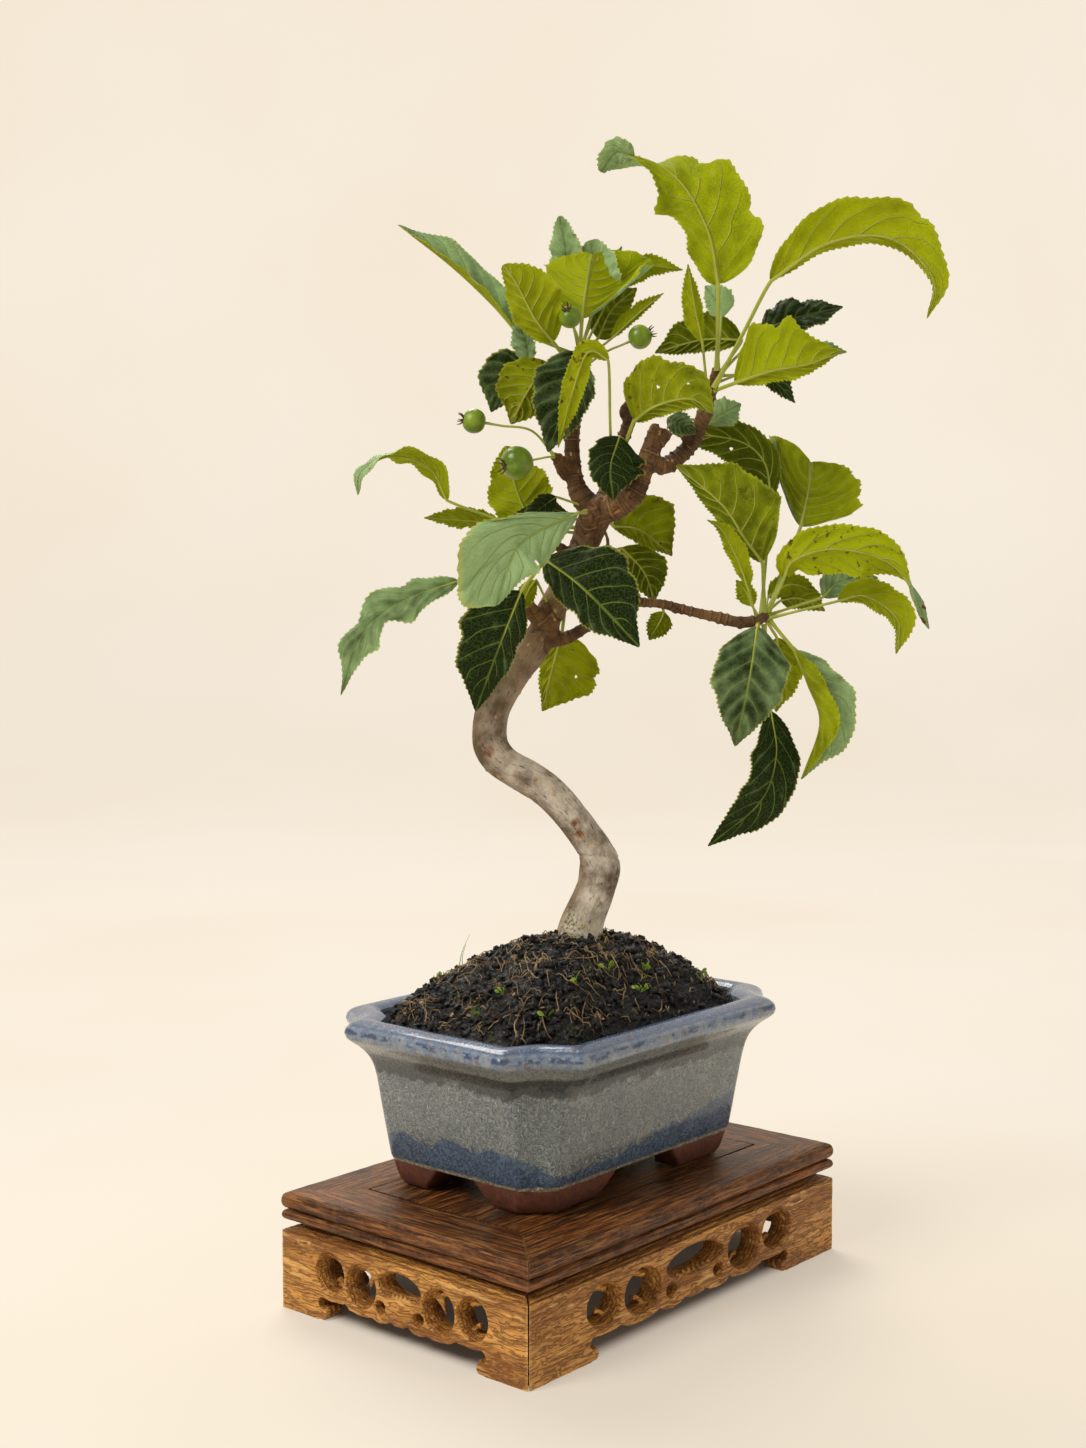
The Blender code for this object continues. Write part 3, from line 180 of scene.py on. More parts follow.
# Leaves. twig, base, mids and tip are (pixel x, pixel y, near). half is how wide each half of the blade is,
# fold how far it is lifted from the midrib and curl how much more it bends by its edge. turn, at the base,
# the middle and the tip, is how far the upper side faces away from the viewer. looks is how much painted
# bluish grey sheen the upper side has, how bright the underside is, its tone together with painted light
# from behind and painted shade, and how worn it is. A lobe is (half, share along, width, size) and a hole
# is (share along, share across, radius).
LEAVES = {
    "leaf_top_left_long": dict(
        twig=(579, 356, -4), base=(515, 330, -8), mids=[(490, 302, -10), (450, 265, -8)],
        tip=(398, 225, -2), half=(9, 12), turn=(-65, -65, -60), fold=(50, 50), looks=(0.75, 0.95, 0.1)),
    "leaf_crown_cup": dict(
        twig=(580, 350, -4), base=(582, 318, 4), mids=[(585, 294, 2)], tip=(592, 254, -10), half=(31, 22),
        turn=(180, 180, 180), fold=(25, 25), sweep=(26, 8), looks=(0.85, 1.2, 0.1), blunt=0.55),
    "leaf_crown_left": dict(
        twig=(576, 372, -3), base=(553, 342, 6), mids=[(535, 319, 12), (517, 285, 14)], tip=(503, 265, 12),
        half=(17, 9), turn=(180, 180, 180), fold=(20, 30), looks=(0.5, 1.0, 0.2), blunt=0.6),
    "leaf_striped_small": dict(
        twig=(577, 388, -3), base=(529, 366, -1), mids=[(527, 345, -1)], tip=(517, 316, -3), half=(7, 5),
        turn=(20, 20, 20), fold=(30, 30), looks=(0.6, 0.9, 0.1)),
    "leaf_dark_left": dict(
        twig=(575, 404, -5), base=(540, 370, -12), mids=[(508, 382, -11)], tip=(491, 412, -5),
        half=(10, 16), turn=(15, 15, 15), fold=(12, 12), looks=(0.25, 0.5, 0.2)),
    "leaf_yellow_left": dict(
        twig=(576, 392, -4), base=(550, 364, 7), mids=[(530, 388, 12)], tip=(511, 424, 11), half=(16, 15),
        turn=(180, 180, 180), fold=(15, 15), looks=(0.4, 0.7, 0.6), holes=[(0.62, 0.5, 0.8)]),
    "leaf_dark_crown": dict(
        twig=(580, 357, -4), base=(578, 352, 11), mids=[(568, 395, 19)], tip=(548, 452, 18), half=(12, 18),
        turn=(15, 15, 15), fold=(12, 12), looks=(0.2, 0.4, 0.1)),
    "leaf_pale_arch": dict(
        twig=(612, 480, -8), base=(608, 360, 30), mids=[(588, 352, 33), (572, 394, 34)], tip=(558, 448, 28),
        half=(6, 5), turn=(180, 180, 180), fold=(15, 15), sweep=(-5, 0), looks=(0.6, 1.15, 0.6)),
    "leaf_crown_veined": dict(
        twig=(582, 362, -4), base=(598, 338, -14), mids=[(612, 309, -18)], tip=(637, 288, -20),
        half=(11, 10), turn=(165, 165, 165), fold=(20, 20), looks=(0.3, 0.6, 0.2)),
    "leaf_far_left_arch": dict(
        twig=(556, 541, 8), base=(447, 500, 14), mids=[(430, 468, 16), (392, 456, 20), (362, 472, 24)],
        tip=(358, 495, 26), half=(10, 10), turn=(-130, -110, -30), fold=(15, 15), looks=(0.85, 0.9, 0.4)),
    "leaf_dark_centre": dict(
        twig=(623, 440, -11), base=(619, 437, 10), mids=[(610, 468, 16)], tip=(613, 500, 19), half=(16, 12),
        turn=(15, 15, 15), fold=(15, 15), looks=(0.0, 0.3, 0.2),
        lobes=[(0, 0.2, 0.09, 0.25), (0, 0.38, 0.06, -0.25), (1, 0.3, 0.07, -0.15)]),
    "leaf_behind_fruit": dict(
        twig=(583, 528, -1), base=(531, 526, -8), mids=[(516, 488, -10)], tip=(506, 446, -12),
        half=(16, 14), turn=(180, 180, 180), fold=(12, 12), looks=(0.4, 1.1, 0.1), blunt=0.7),
    "leaf_left_small": dict(
        twig=(585, 534, -2), base=(500, 524, 0), mids=[(464, 520, 4)], tip=(424, 518, 8), half=(7, 6),
        turn=(-140, -140, -140), fold=(20, 20), looks=(0.6, 0.9, 0.2)),
    "leaf_top_big": dict(
        twig=(717, 371, 1), base=(718, 284, 4), mids=[(708, 232, 8), (680, 182, 8), (640, 158, 2)],
        tip=(603, 168, -6), half=(25, 13), turn=(180, 172, 20), fold=(15, 15), widest=0.33,
        looks=(0.95, 0.85, 0.1),
        lobes=[(0, 0.27, 0.03, -0.14), (0, 0.45, 0.09, 0.15), (0, 0.55, 0.035, -0.3), (1, 0.5, 0.05, 0.45),
               (1, 0.3, 0.06, -0.2)]),
    "leaf_right_big_arch": dict(
        twig=(714, 388, 2), base=(771, 281, 14), mids=[(828, 243, 22), (890, 238, 28), (933, 278, 34)],
        tip=(927, 318, 36), half=(9, 18), turn=(165, 165, 160), fold=(60, 12), looks=(0.6, 1.15, 0.1),
        lobes=[(1, 0.62, 0.025, -0.12)]),
    "leaf_shoot_narrow": dict(
        twig=(708, 396, -2), base=(702, 342, 10), mids=[(694, 304, 12)], tip=(688, 264, 12), half=(5, 6),
        turn=(150, 150, 150), fold=(25, 25), looks=(0.8, 1.1, 0.0)),
    "leaf_behind_shoot": dict(
        twig=(717, 370, -2), base=(721, 318, -11), mids=[(717, 302, -14)], tip=(705, 286, -18), half=(6, 9),
        turn=(15, 15, 15), fold=(15, 15), looks=(0.95, 0.9, 0.0)),
    "leaf_shoot_left": dict(
        twig=(714, 382, -2), base=(742, 340, -16), mids=[(702, 340, -19)], tip=(655, 353, -14),
        half=(13, 6), turn=(180, 180, 180), fold=(12, 12), looks=(0.3, 0.35, 0.2)),
    "leaf_dark_right": dict(
        twig=(716, 378, -1), base=(762, 330, -30), mids=[(796, 318, -34)], tip=(843, 307, -34),
        half=(12, 12), turn=(45, 45, 45), fold=(15, 15), looks=(0.1, 0.4, 0.2),
        lobes=[(0, 0.4, 0.06, 0.1), (0, 0.55, 0.05, -0.1)]),
    "leaf_yellow_right": dict(
        twig=(711, 392, -2), base=(735, 383, 12), mids=[(772, 371, 18), (808, 364, 20)], tip=(842, 352, 20),
        half=(6, 22), turn=(175, 170, 150), fold=(15, 15), looks=(0.8, 1.05, 0.2),
        lobes=[(1, 0.3, 0.06, 0.12), (1, 0.45, 0.04, -0.16), (1, 0.62, 0.07, 0.12)]),
    "leaf_yellow_arch": dict(
        twig=(610, 486, -6), base=(634, 421, 14), mids=[(656, 406, 24), (690, 399, 28)], tip=(713, 414, 28),
        half=(6, 21), turn=(175, 175, 175), fold=(15, 15), looks=(0.5, 0.7, 0.5),
        holes=[(0.42, 0.35, 0.7), (0.68, 0.45, 0.55)]),
    "leaf_grey_curled": dict(
        twig=(705, 410, -2), base=(709, 424, -10), mids=[(722, 414, -12)], tip=(741, 404, -16), half=(8, 8),
        turn=(15, 15, 15), fold=(20, 20), looks=(0.9, 0.6, 0.1)),
    "leaf_olive_upper": dict(
        twig=(761, 617, 9), base=(771, 500, -14), mids=[(764, 462, -16), (736, 440, -16)],
        tip=(672, 433, -12), half=(9, 12), turn=(180, 180, 180), fold=(12, 12), looks=(0.2, 0.2, 0.3),
        holes=[(0.55, 0.4, 0.8)]),
    "leaf_heart": dict(
        twig=(768, 612, 8), base=(801, 526, -20), mids=[(808, 492, -26)], tip=(811, 462, -30),
        half=(27, 22), turn=(180, 180, 180), fold=(12, 12), sweep=(8, 28), looks=(0.5, 0.85, 0.1),
        blunt=0.62),
    "leaf_olive_lower": dict(
        twig=(765, 614, 10), base=(762, 562, 14), mids=[(744, 538, 16), (722, 505, 16)], tip=(676, 466, 12),
        half=(23, 7), turn=(180, 180, 180), fold=(12, 30), looks=(0.4, 0.5, 0.4)),
    "leaf_small_upright": dict(
        twig=(757, 620, 10), base=(748, 588, 18), mids=[(738, 560, 22), (722, 530, 24)], tip=(707, 520, 24),
        half=(6, 5), turn=(-150, -150, -150), fold=(25, 25), looks=(0.9, 0.9, 0.1)),
    "leaf_arched_right": dict(
        twig=(769, 611, 10), base=(784, 578, 20), mids=[(794, 560, 26), (838, 549, 32), (896, 568, 38)],
        tip=(929, 629, 42), half=(13, 13), turn=(170, 160, 25), fold=(15, 15), looks=(0.9, 1.2, 0.6)),
    "leaf_grey_right": dict(
        twig=(766, 616, 10), base=(823, 597, 2), mids=[(842, 581, 0)], tip=(878, 578, -6), half=(9, 9),
        turn=(20, 20, 20), fold=(12, 12), looks=(0.55, 0.6, 0.1)),
    "leaf_bright_arch": dict(
        twig=(766, 619, 10), base=(838, 601, 16), mids=[(866, 596, 19), (898, 620, 23)], tip=(896, 654, 25),
        half=(5, 10), turn=(165, 165, 160), fold=(25, 20), looks=(0.6, 1.15, 0.1)),
    "leaf_under_yellow": dict(
        twig=(762, 616, 10), base=(781, 600, -12), mids=[(800, 598, -18)], tip=(825, 611, -22), half=(6, 8),
        turn=(165, 165, 165), fold=(15, 15), looks=(0.4, 0.6, 0.3)),
    "leaf_hanging_front": dict(
        twig=(758, 624, 10), base=(757, 627, 26), mids=[(749, 680, 32)], tip=(735, 746, 28), half=(18, 17),
        turn=(10, 10, 10), fold=(10, 10), looks=(0.36, 0.5, 0.1)),
    "leaf_hanging_low": dict(
        twig=(764, 624, 9), base=(771, 712, 6), mids=[(776, 756, 10), (760, 802, 14)], tip=(708, 846, 10),
        half=(12, 13), turn=(20, 20, 20), fold=(15, 15), looks=(0.0, 0.3, 0.4)),
    "leaf_crescent": dict(
        twig=(768, 618, 9), base=(795, 651, 14), mids=[(808, 684, 18), (820, 724, 20)], tip=(801, 779, 14),
        half=(18, 12), turn=(15, 15, 15), fold=(10, 115), curl=(-20, 10), looks=(0.75, 0.8, 0.2)),
    "leaf_yellow_hanging": dict(
        twig=(766, 620, 8), base=(777, 638, -4), mids=[(780, 672, -8)], tip=(776, 712, -12), half=(8, 11),
        turn=(180, 180, 180), fold=(12, 12), looks=(0.5, 0.85, 0.5)),
    "leaf_front_big": dict(
        twig=(586, 512, 13), base=(578, 513, 28), mids=[(530, 536, 40), (512, 558, 45)], tip=(497, 605, 48),
        half=(13, 17), turn=(10, 10, 0), fold=(12, 12), sweep=(0, 30), widest=0.5, looks=(0.95, 0.7, 0.2),
        lobes=[(0, 0.45, 0.08, 0.2), (0, 0.57, 0.035, -0.28), (0, 0.68, 0.07, 0.2)]),
    "leaf_hanging_left": dict(
        twig=(556, 545, 6), base=(521, 592, 18), mids=[(502, 640, 24)], tip=(476, 711, 22), half=(9, 22),
        turn=(15, 15, 15), fold=(25, 10), looks=(0.0, 0.5, 0.1)),
    "leaf_centre_big": dict(
        twig=(552, 543, 8), base=(545, 560, 22), mids=[(583, 589, 32)], tip=(639, 647, 34), half=(24, 13),
        turn=(15, 15, 15), fold=(10, 10), looks=(0.0, 0.5, 0.1)),
    "leaf_left_wavy": dict(
        twig=(554, 546, 6), base=(458, 581, 30), mids=[(404, 600, 36), (364, 632, 40)], tip=(341, 695, 40),
        half=(9, 9), turn=(-20, -25, -35), fold=(15, 15), wave=1.5, looks=(0.6, 0.8, 0.3),
        lobes=[(0, 0.35, 0.06, 0.4), (0, 0.5, 0.05, -0.3), (0, 0.66, 0.06, 0.4), (1, 0.3, 0.05, -0.3),
               (1, 0.45, 0.06, 0.4), (1, 0.6, 0.05, -0.3), (1, 0.75, 0.06, 0.4)]),
    "leaf_behind_right": dict(
        twig=(607, 516, -15), base=(613, 526, -22), mids=[(640, 530, -26)], tip=(672, 556, -28),
        half=(6, 19), turn=(180, 180, 180), fold=(15, 15), looks=(0.5, 0.75, 0.5)),
    "leaf_olive_behind": dict(
        twig=(580, 562, -4), base=(622, 548, -36), mids=[(644, 572, -40)], tip=(655, 602, -40),
        half=(10, 12), turn=(170, 170, 170), fold=(12, 12), looks=(0.3, 0.3, 0.4)),
    "leaf_round_behind": dict(
        twig=(568, 584, -5), base=(562, 632, -24), mids=[(553, 666, -28)], tip=(542, 711, -28),
        half=(6, 24), turn=(180, 180, 180), fold=(12, 12), looks=(0.4, 0.95, 0.4),
        holes=[(0.5, 0.55, 0.8)]),
}

# Fruit. twig, knee and centre are (pixel x, pixel y, near); the stalk bends at the knee.
FRUIT = {
    "fruit_far_left": dict(twig=(556, 458, 6), knee=(532, 431, 12), centre=(474, 421, 16), radius=5.9),
    "fruit_big": dict(twig=(555, 457, 6), knee=(548, 457, 14), centre=(517, 463, 22), radius=8.0),
    "fruit_crown": dict(twig=(580, 353, -3), knee=(578, 338, 3), centre=(570, 317, 12), radius=5.4),
    "fruit_crown_right": dict(twig=(582, 368, -5), knee=(606, 352, -2), centre=(640, 337, -4), radius=5.9),
}


def colour(name, description, value):
    """A colour setting."""
    return bpy.props.FloatVectorProperty(
        name=name, description=description, default=value, subtype="COLOR", size=3, min=0.0, max=1.0)


def length(name, description, value):
    """A length setting, its default given in millimetres."""
    return bpy.props.FloatProperty(name=name, description=description, default=value * MM, unit="LENGTH",
                                   precision=5)


class LeafSettings(bpy.types.PropertyGroup):
    """Sizes and colours of the leaves."""

    thickness: length("Thickness", "How thick a blade is", 0.34)
    tooth: length("Tooth", "How far the teeth of a blade's edge stand out", 0.8)
    pillow: length("Pillow", "How far the blade rises between its side veins", 0.75)
    # The sheen colour is a painted bluish grey sheen on the upper side. The underside colours hold painted
    # light: the bright one is an underside lit from behind, the olive one an older underside and one in
    # painted shade.
    upper: colour("Upper side", "Upper side of an old leaf", srgb(18, 36, 2))
    upper_sheen: colour("Upper side, sheen", "Upper side where it is bluish grey", srgb(168, 198, 136))
    under: colour("Underside", "Underside of a leaf in full light", srgb(216, 222, 2))
    under_olive_and_shaded: colour("Underside, olive", "Underside of an older leaf", srgb(108, 124, 2))
    vein: colour("Veins", "Veins seen from above", srgb(140, 160, 70))
    vein_under: colour("Veins below", "Veins seen from below", srgb(220, 218, 96))
    stalk: colour("Stalk", "Petioles and midribs", srgb(172, 176, 60))
    spots: colour("Spots", "Dry brown spots", srgb(120, 74, 30))


class BarkSettings(bpy.types.PropertyGroup):
    """Sizes and colours of the bark."""

    voxel: length("Fineness", "Size of the bark mesh's cells", 0.8)
    old: colour("Old bark", "Trunk", srgb(134, 106, 72))
    foot: colour("Foot bark", "Trunk near the soil", srgb(232, 220, 200))
    young: colour("Young bark", "Branches and twigs", srgb(130, 94, 52))
    scar: colour("Scar", "Bare wood", srgb(198, 146, 92))
    lichen: colour("Lichen", "Lichen at the foot", srgb(214, 206, 176))


class FruitSettings(bpy.types.PropertyGroup):
    """Colours of the fruit."""

    skin: colour("Skin", "Skin of the young fruit", srgb(84, 112, 4))
    blush: colour("Paler skin", "Paler side of the fruit", srgb(128, 150, 20))
    calyx: colour("Calyx", "Dry calyx", srgb(104, 72, 42))


class SoilSettings(bpy.types.PropertyGroup):
    """Sizes and colours of the soil and what lies on it."""

    crumb: length("Crumb", "How rough the soil is", 2.4)
    soil: colour("Soil", "Moist soil", srgb(16, 10, 5))
    soil_dry: colour("Dry soil", "Drier crumbs", srgb(96, 72, 46))
    fibre: colour("Fibres", "Root fibres", srgb(176, 148, 104))
    chip: colour("Chips", "Bark and wood chips", srgb(84, 60, 38))
    moss: colour("Moss", "Moss and sprouts", srgb(108, 138, 30))


class PotSettings(bpy.types.PropertyGroup):
    """Colours of the pot."""

    glaze: colour("Glaze", "Wall glaze", srgb(114, 122, 122))
    glaze_blue: colour("Blue glaze", "Rim and thick glaze", srgb(100, 122, 152))
    glaze_deep: colour("Deep glaze", "Pools at the foot and under the rim", srgb(36, 60, 88))
    drip: colour("Drip line", "Lower edge of the glaze", srgb(196, 186, 160))
    clay: colour("Clay", "Bare feet", srgb(122, 70, 48))


class StandSettings(bpy.types.PropertyGroup):
    """Colours of the stand."""

    top: colour("Top", "Stained top", srgb(146, 84, 32))
    top_dark: colour("Top, dark grain", "Dark grain of the top", srgb(44, 22, 9))
    top_worn: colour("Top, worn", "Worn grain of the top", srgb(176, 124, 66))
    board: colour("Boards", "Carved boards", srgb(228, 164, 80))
    board_dark: colour("Boards, dark grain", "Dark grain of the boards", srgb(126, 74, 28))
    board_pale: colour("Boards, pale grain", "Pale grain of the boards", srgb(240, 192, 116))


class StageSettings(bpy.types.PropertyGroup):
    """Colours and light of the stage."""

    ground: colour("Ground", "Floor and backdrop", srgb(246, 236, 220))
    key_power: bpy.props.FloatProperty(name="Key light", description="Power of the large light",
                                       default=24.0, unit="POWER")
    fill_power: bpy.props.FloatProperty(name="Fill light", description="Power of the fill light",
                                        default=3.0, unit="POWER")
    back_power: bpy.props.FloatProperty(name="Back light", description="Power of the back light",
                                        default=16.0, unit="POWER")
    sky: bpy.props.FloatProperty(name="Sky", description="Strength of the light all round", default=0.32,
                                 min=0.0)


SETTINGS = {
    "bonsai_leaf": LeafSettings,
    "bonsai_bark": BarkSettings,
    "bonsai_fruit": FruitSettings,
    "bonsai_soil": SoilSettings,
    "bonsai_pot": PotSettings,
    "bonsai_stand": StandSettings,
    "bonsai_stage": StageSettings,
}


class Graph:
    """Adds nodes to a shader tree or group and joins them."""

    def __init__(self, tree):
        self.tree = tree

    def feed(self, socket, value):
        """Joins an output to the socket, or sets its value."""
        if isinstance(value, bpy.types.NodeSocket):
            self.tree.links.new(value, socket)
        elif value is not None:
            if socket.type == "RGBA":
                value = (*value[:3], 1.0)
            socket.default_value = value

    def add(self, kind, inputs=None, **settings):
        """A shader node with its settings and its inputs, by name or number."""
        node = self.tree.nodes.new(f"ShaderNode{kind}")
        for key, value in settings.items():
            setattr(node, key, value)
        for key, value in (inputs or {}).items():
            self.feed(node.inputs[key], value)
        return node

    def math(self, operation, first, second=None, third=None):
        """One operation on up to three values."""
        values = {i: v for i, v in enumerate((first, second, third)) if v is not None}
        return self.add("Math", values, operation=operation).outputs[0]

    def times(self, first, second):
        """A product."""
        return self.math("MULTIPLY", first, second)

    def plus(self, first, second):
        """A sum."""
        return self.math("ADD", first, second)

    def minus(self, first, second):
        """A difference."""
        return self.math("SUBTRACT", first, second)

    def times_plus(self, first, second, third):
        """A product of the first two, and the third added."""
        return self.math("MULTIPLY_ADD", first, second, third)

    def absolute(self, value):
        """The value without its sign."""
        return self.math("ABSOLUTE", value)

    def mix(self, share, first, second, blend="MIX"):
        """Two colours mixed."""
        return self.add("Mix", {0: share, 6: first, 7: second}, data_type="RGBA",
                        blend_type=blend).outputs[2]

    def spread(self, value, low, high, to_low=0.0, to_high=1.0):
        """A smooth step of the value from low to high."""
        inputs = {0: value, 1: low, 2: high, 3: to_low, 4: to_high}
        return self.add("MapRange", inputs, interpolation_type="SMOOTHSTEP").outputs[0]

    def noise(self, vector, scale, detail=3.0, roughness=0.55, distortion=0.0):
        """Cloudy noise from 0 to 1."""
        inputs = {"Vector": vector, "Scale": scale, "Detail": detail, "Roughness": roughness,
                  "Distortion": distortion}
        return self.add("TexNoise", inputs).outputs[0]

    def cells(self, vector, scale, feature="F1"):
        """The distance to the nearest cell point, or to the nearest cell edge."""
        return self.add("TexVoronoi", {"Vector": vector, "Scale": scale},
                        feature=feature).outputs["Distance"]

    def stretched(self, vector, scale):
        """A vector scaled by another along each axis."""
        return self.add("Mapping", {"Vector": vector, "Scale": scale}).outputs[0]

    def attribute(self, name, output="Fac"):
        """A value stored on the mesh."""
        return self.add("Attribute", attribute_name=name).outputs[output]

    def bump(self, height, distance, normal=None, strength=1.0):
        """A normal bumped by a height, distance in millimetres."""
        inputs = {"Height": height, "Distance": distance * MM, "Strength": strength, "Normal": normal}
        return self.add("Bump", {k: v for k, v in inputs.items() if v is not None}).outputs[0]


def new_group(name, inputs, outputs):
    """An empty node group: its graph, its entry's sockets and its exit's sockets."""
    tree = bpy.data.node_groups.new(name, "ShaderNodeTree")
    for label, kind, value in inputs:
        socket = tree.interface.new_socket(label, in_out="INPUT", socket_type=f"NodeSocket{kind}")
        if value is not None:
            socket.default_value = value
    for label, kind in outputs:
        tree.interface.new_socket(label, in_out="OUTPUT", socket_type=f"NodeSocket{kind}")
    entry = tree.nodes.new("NodeGroupInput")
    way_out = tree.nodes.new("NodeGroupOutput")
    return Graph(tree), entry.outputs, way_out.inputs


def placed_group(graph, tree, inputs):
    """A group's node in a material, with its inputs."""
    node = graph.tree.nodes.new("ShaderNodeGroup")
    node.node_tree = tree
    for key, value in inputs.items():
        graph.feed(node.inputs[key], value)
    return node.outputs


def leaf_vein_group():
    """Masks of a blade's veins, from the shares along the midrib and out from it."""
    if "Leaf veins" in bpy.data.node_groups:
        return bpy.data.node_groups["Leaf veins"]
    graph, entry, way_out = new_group(
        "Leaf veins",
        [("UV", "Vector", None), ("Pairs", "Float", 7.0), ("Slant", "Float", 0.26)],
        [("Vein", "Float"), ("Midrib", "Float"), ("Pillow", "Float"), ("Net", "Float"), ("Edge", "Float")])
    split = graph.add("SeparateXYZ", {0: entry["UV"]}).outputs
    out = graph.absolute(graph.times_plus(split[0], 2.0, -1.0))
    lag = graph.times(graph.math("POWER", out, 1.2), entry["Slant"])
    phase = graph.times(graph.minus(split[1], lag), entry["Pairs"])
    cell = graph.math("FRACT", graph.plus(phase, 10.0))
    near = graph.math("MINIMUM", cell, graph.minus(1.0, cell))
    width = graph.times_plus(out, -0.035, 0.07)
    vein = graph.minus(1.0, graph.spread(near, graph.times(width, 0.3), width))
    fading = graph.spread(out, 1.0, 0.75)
    half = graph.math("SINE", graph.times(graph.math("POWER", split[1], 0.8), math.pi))
    midrib = graph.spread(graph.times(out, graph.plus(half, 0.06)), 0.055, 0.025)
    net_place = graph.add("CombineXYZ", {0: graph.times(split[0], 20.0),
                                         1: graph.times(split[1], 44.0)}).outputs[0]
    net = graph.spread(graph.cells(net_place, 1.0, "DISTANCE_TO_EDGE"), 0.09, 0.02)
    graph.feed(way_out["Vein"], graph.times(vein, fading))
    graph.feed(way_out["Midrib"], midrib)
    graph.feed(way_out["Pillow"], graph.math("SINE", graph.times(cell, math.pi)))
    graph.feed(way_out["Net"], net)
    graph.feed(way_out["Edge"], graph.spread(out, 0.93, 0.985))
    return graph.tree


def wood_grain_group():
    """Grain of planed wood that runs along X: streaks, fine pores and broad shade."""
    if "Wood grain" in bpy.data.node_groups:
        return bpy.data.node_groups["Wood grain"]
    graph, entry, way_out = new_group(
        "Wood grain",
        [("Vector", "Vector", None), ("Boldness", "Float", 1.0)],
        [("Streak", "Float"), ("Pores", "Float"), ("Shade", "Float"), ("Height", "Float")])
    place = entry["Vector"]
    bend = graph.noise(graph.stretched(place, (26.0, 60.0, 60.0)), 1.0, 3.0)
    sway = graph.times(bend, 0.007)
    shift = graph.add("CombineXYZ", {1: sway, 2: sway}).outputs[0]
    bent = graph.add("VectorMath", {0: place, 1: shift}, operation="ADD").outputs[0]
    streak = graph.noise(graph.stretched(bent, (48.0, 700.0, 700.0)), 1.0, 3.0, 0.6, 0.3)
    pores = graph.noise(graph.stretched(bent, (110.0, 2300.0, 2300.0)), 1.0, 2.0, 0.6)
    shade = graph.noise(graph.stretched(bent, (10.0, 90.0, 90.0)), 1.0, 2.0)
    pored = graph.spread(pores, 0.58, 0.68)
    bold = graph.times_plus(graph.minus(streak, 0.5), entry["Boldness"], 0.5)
    graph.feed(way_out["Streak"], graph.spread(bold, 0.42, 0.62))
    graph.feed(way_out["Pores"], pored)
    graph.feed(way_out["Shade"], shade)
    graph.feed(way_out["Height"], graph.times_plus(pored, -0.5, graph.times(bold, -1.0)))
    return graph.tree


def new_material(name):
    """A material with only its Principled shader: its graph and the shader."""
    if name in bpy.data.materials:
        return bpy.data.materials[name], None, None
    made = bpy.data.materials.new(name)
    made.use_nodes = True
    return made, Graph(made.node_tree), made.node_tree.nodes["Principled BSDF"]


def set_shader(graph, shader, **values):
    """Sets the shader's sockets, underscores standing for spaces."""
    for key, value in values.items():
        graph.feed(shader.inputs[key.replace("_", " ")], value)


def object_place(graph):
    """Object coordinates."""
    return graph.add("TexCoord").outputs["Object"]


def uv_place(graph):
    """The mesh's own UV map."""
    return graph.add("TexCoord").outputs["UV"]


def let_light_through(graph, shader, tint, share, normal):
    """Mixes the shader with the light that shows through a thin leaf."""
    through = graph.add("BsdfTranslucent", {"Color": tint, "Normal": normal})
    both = graph.add("MixShader", {0: share, 1: shader.outputs[0], 2: through.outputs[0]})
    graph.feed(graph.tree.nodes["Material Output"].inputs["Surface"], both.outputs[0])


def leaf_material(upper):
    """A blade's upper side or underside: veins, fine net, cloudy tone and dry spots."""
    settings = bpy.context.scene.bonsai_leaf
    made, graph, shader = new_material("leaf_upper" if upper else "leaf_under")
    if graph is None:
        return made
    veins = placed_group(graph, leaf_vein_group(), {"UV": uv_place(graph)})
    place = object_place(graph)
    # Each side's tone also holds painted light: a painted bluish grey sheen on the upper side, painted
    # light from behind and painted shade on the underside.
    tone = graph.attribute("upper_tone_and_sheen" if upper else "under_tone_and_light")
    clouds = graph.noise(place, 90.0, 4.0, 0.6)
    tone = graph.plus(tone, graph.times_plus(clouds, 1.1, -0.5))
    tone = graph.times_plus(veins["Pillow"], -0.22, tone)
    first, second = (
        (settings.upper, settings.upper_sheen) if upper else (settings.under_olive_and_shaded, settings.under))
    base = graph.mix(graph.spread(tone, 0.0, 1.0), first, second)
    line = graph.math("MAXIMUM", veins["Vein"], veins["Midrib"])
    base = graph.mix(graph.times(veins["Net"], 0.16 if upper else 0.3), base,
                     settings.vein if upper else settings.vein_under)
    base = graph.mix(graph.times(line, 0.5 if upper else 0.7), base,
                     settings.vein if upper else settings.vein_under)
    base = graph.mix(graph.times(veins["Edge"], 0.4), base, settings.vein_under)
    speckle = graph.noise(place, 260.0, 3.0, 0.7)
    wear = graph.minus(graph.plus(speckle, graph.times(graph.attribute("wear"), 0.3)), 0.78)
    spots = graph.spread(wear, 0.0, 0.06)
    base = graph.mix(spots, base, settings.spots)
    fine = graph.noise(place, 1500.0, 2.0)
    height = graph.times_plus(line, -0.6 if upper else 0.9,
                              graph.times(veins["Net"], -0.25 if upper else 0.3))
    pucker = graph.noise(place, 330.0, 2.0, 0.5)
    height = graph.times_plus(pucker, 0.8, height)
    normal = graph.bump(graph.times_plus(fine, 0.12, height), 0.45)
    rough = (graph.spread(clouds, 0.2, 0.8, 0.34, 0.5) if upper
             else graph.spread(clouds, 0.2, 0.8, 0.5, 0.66))
    set_shader(graph, shader, Base_Color=base, Roughness=rough, Normal=normal, Specular_IOR_Level=0.14)
    bright = base if upper else graph.mix(0.7, base, settings.under)
    let_light_through(graph, shader, bright, 0.1 if upper else 0.55, normal)
    return made


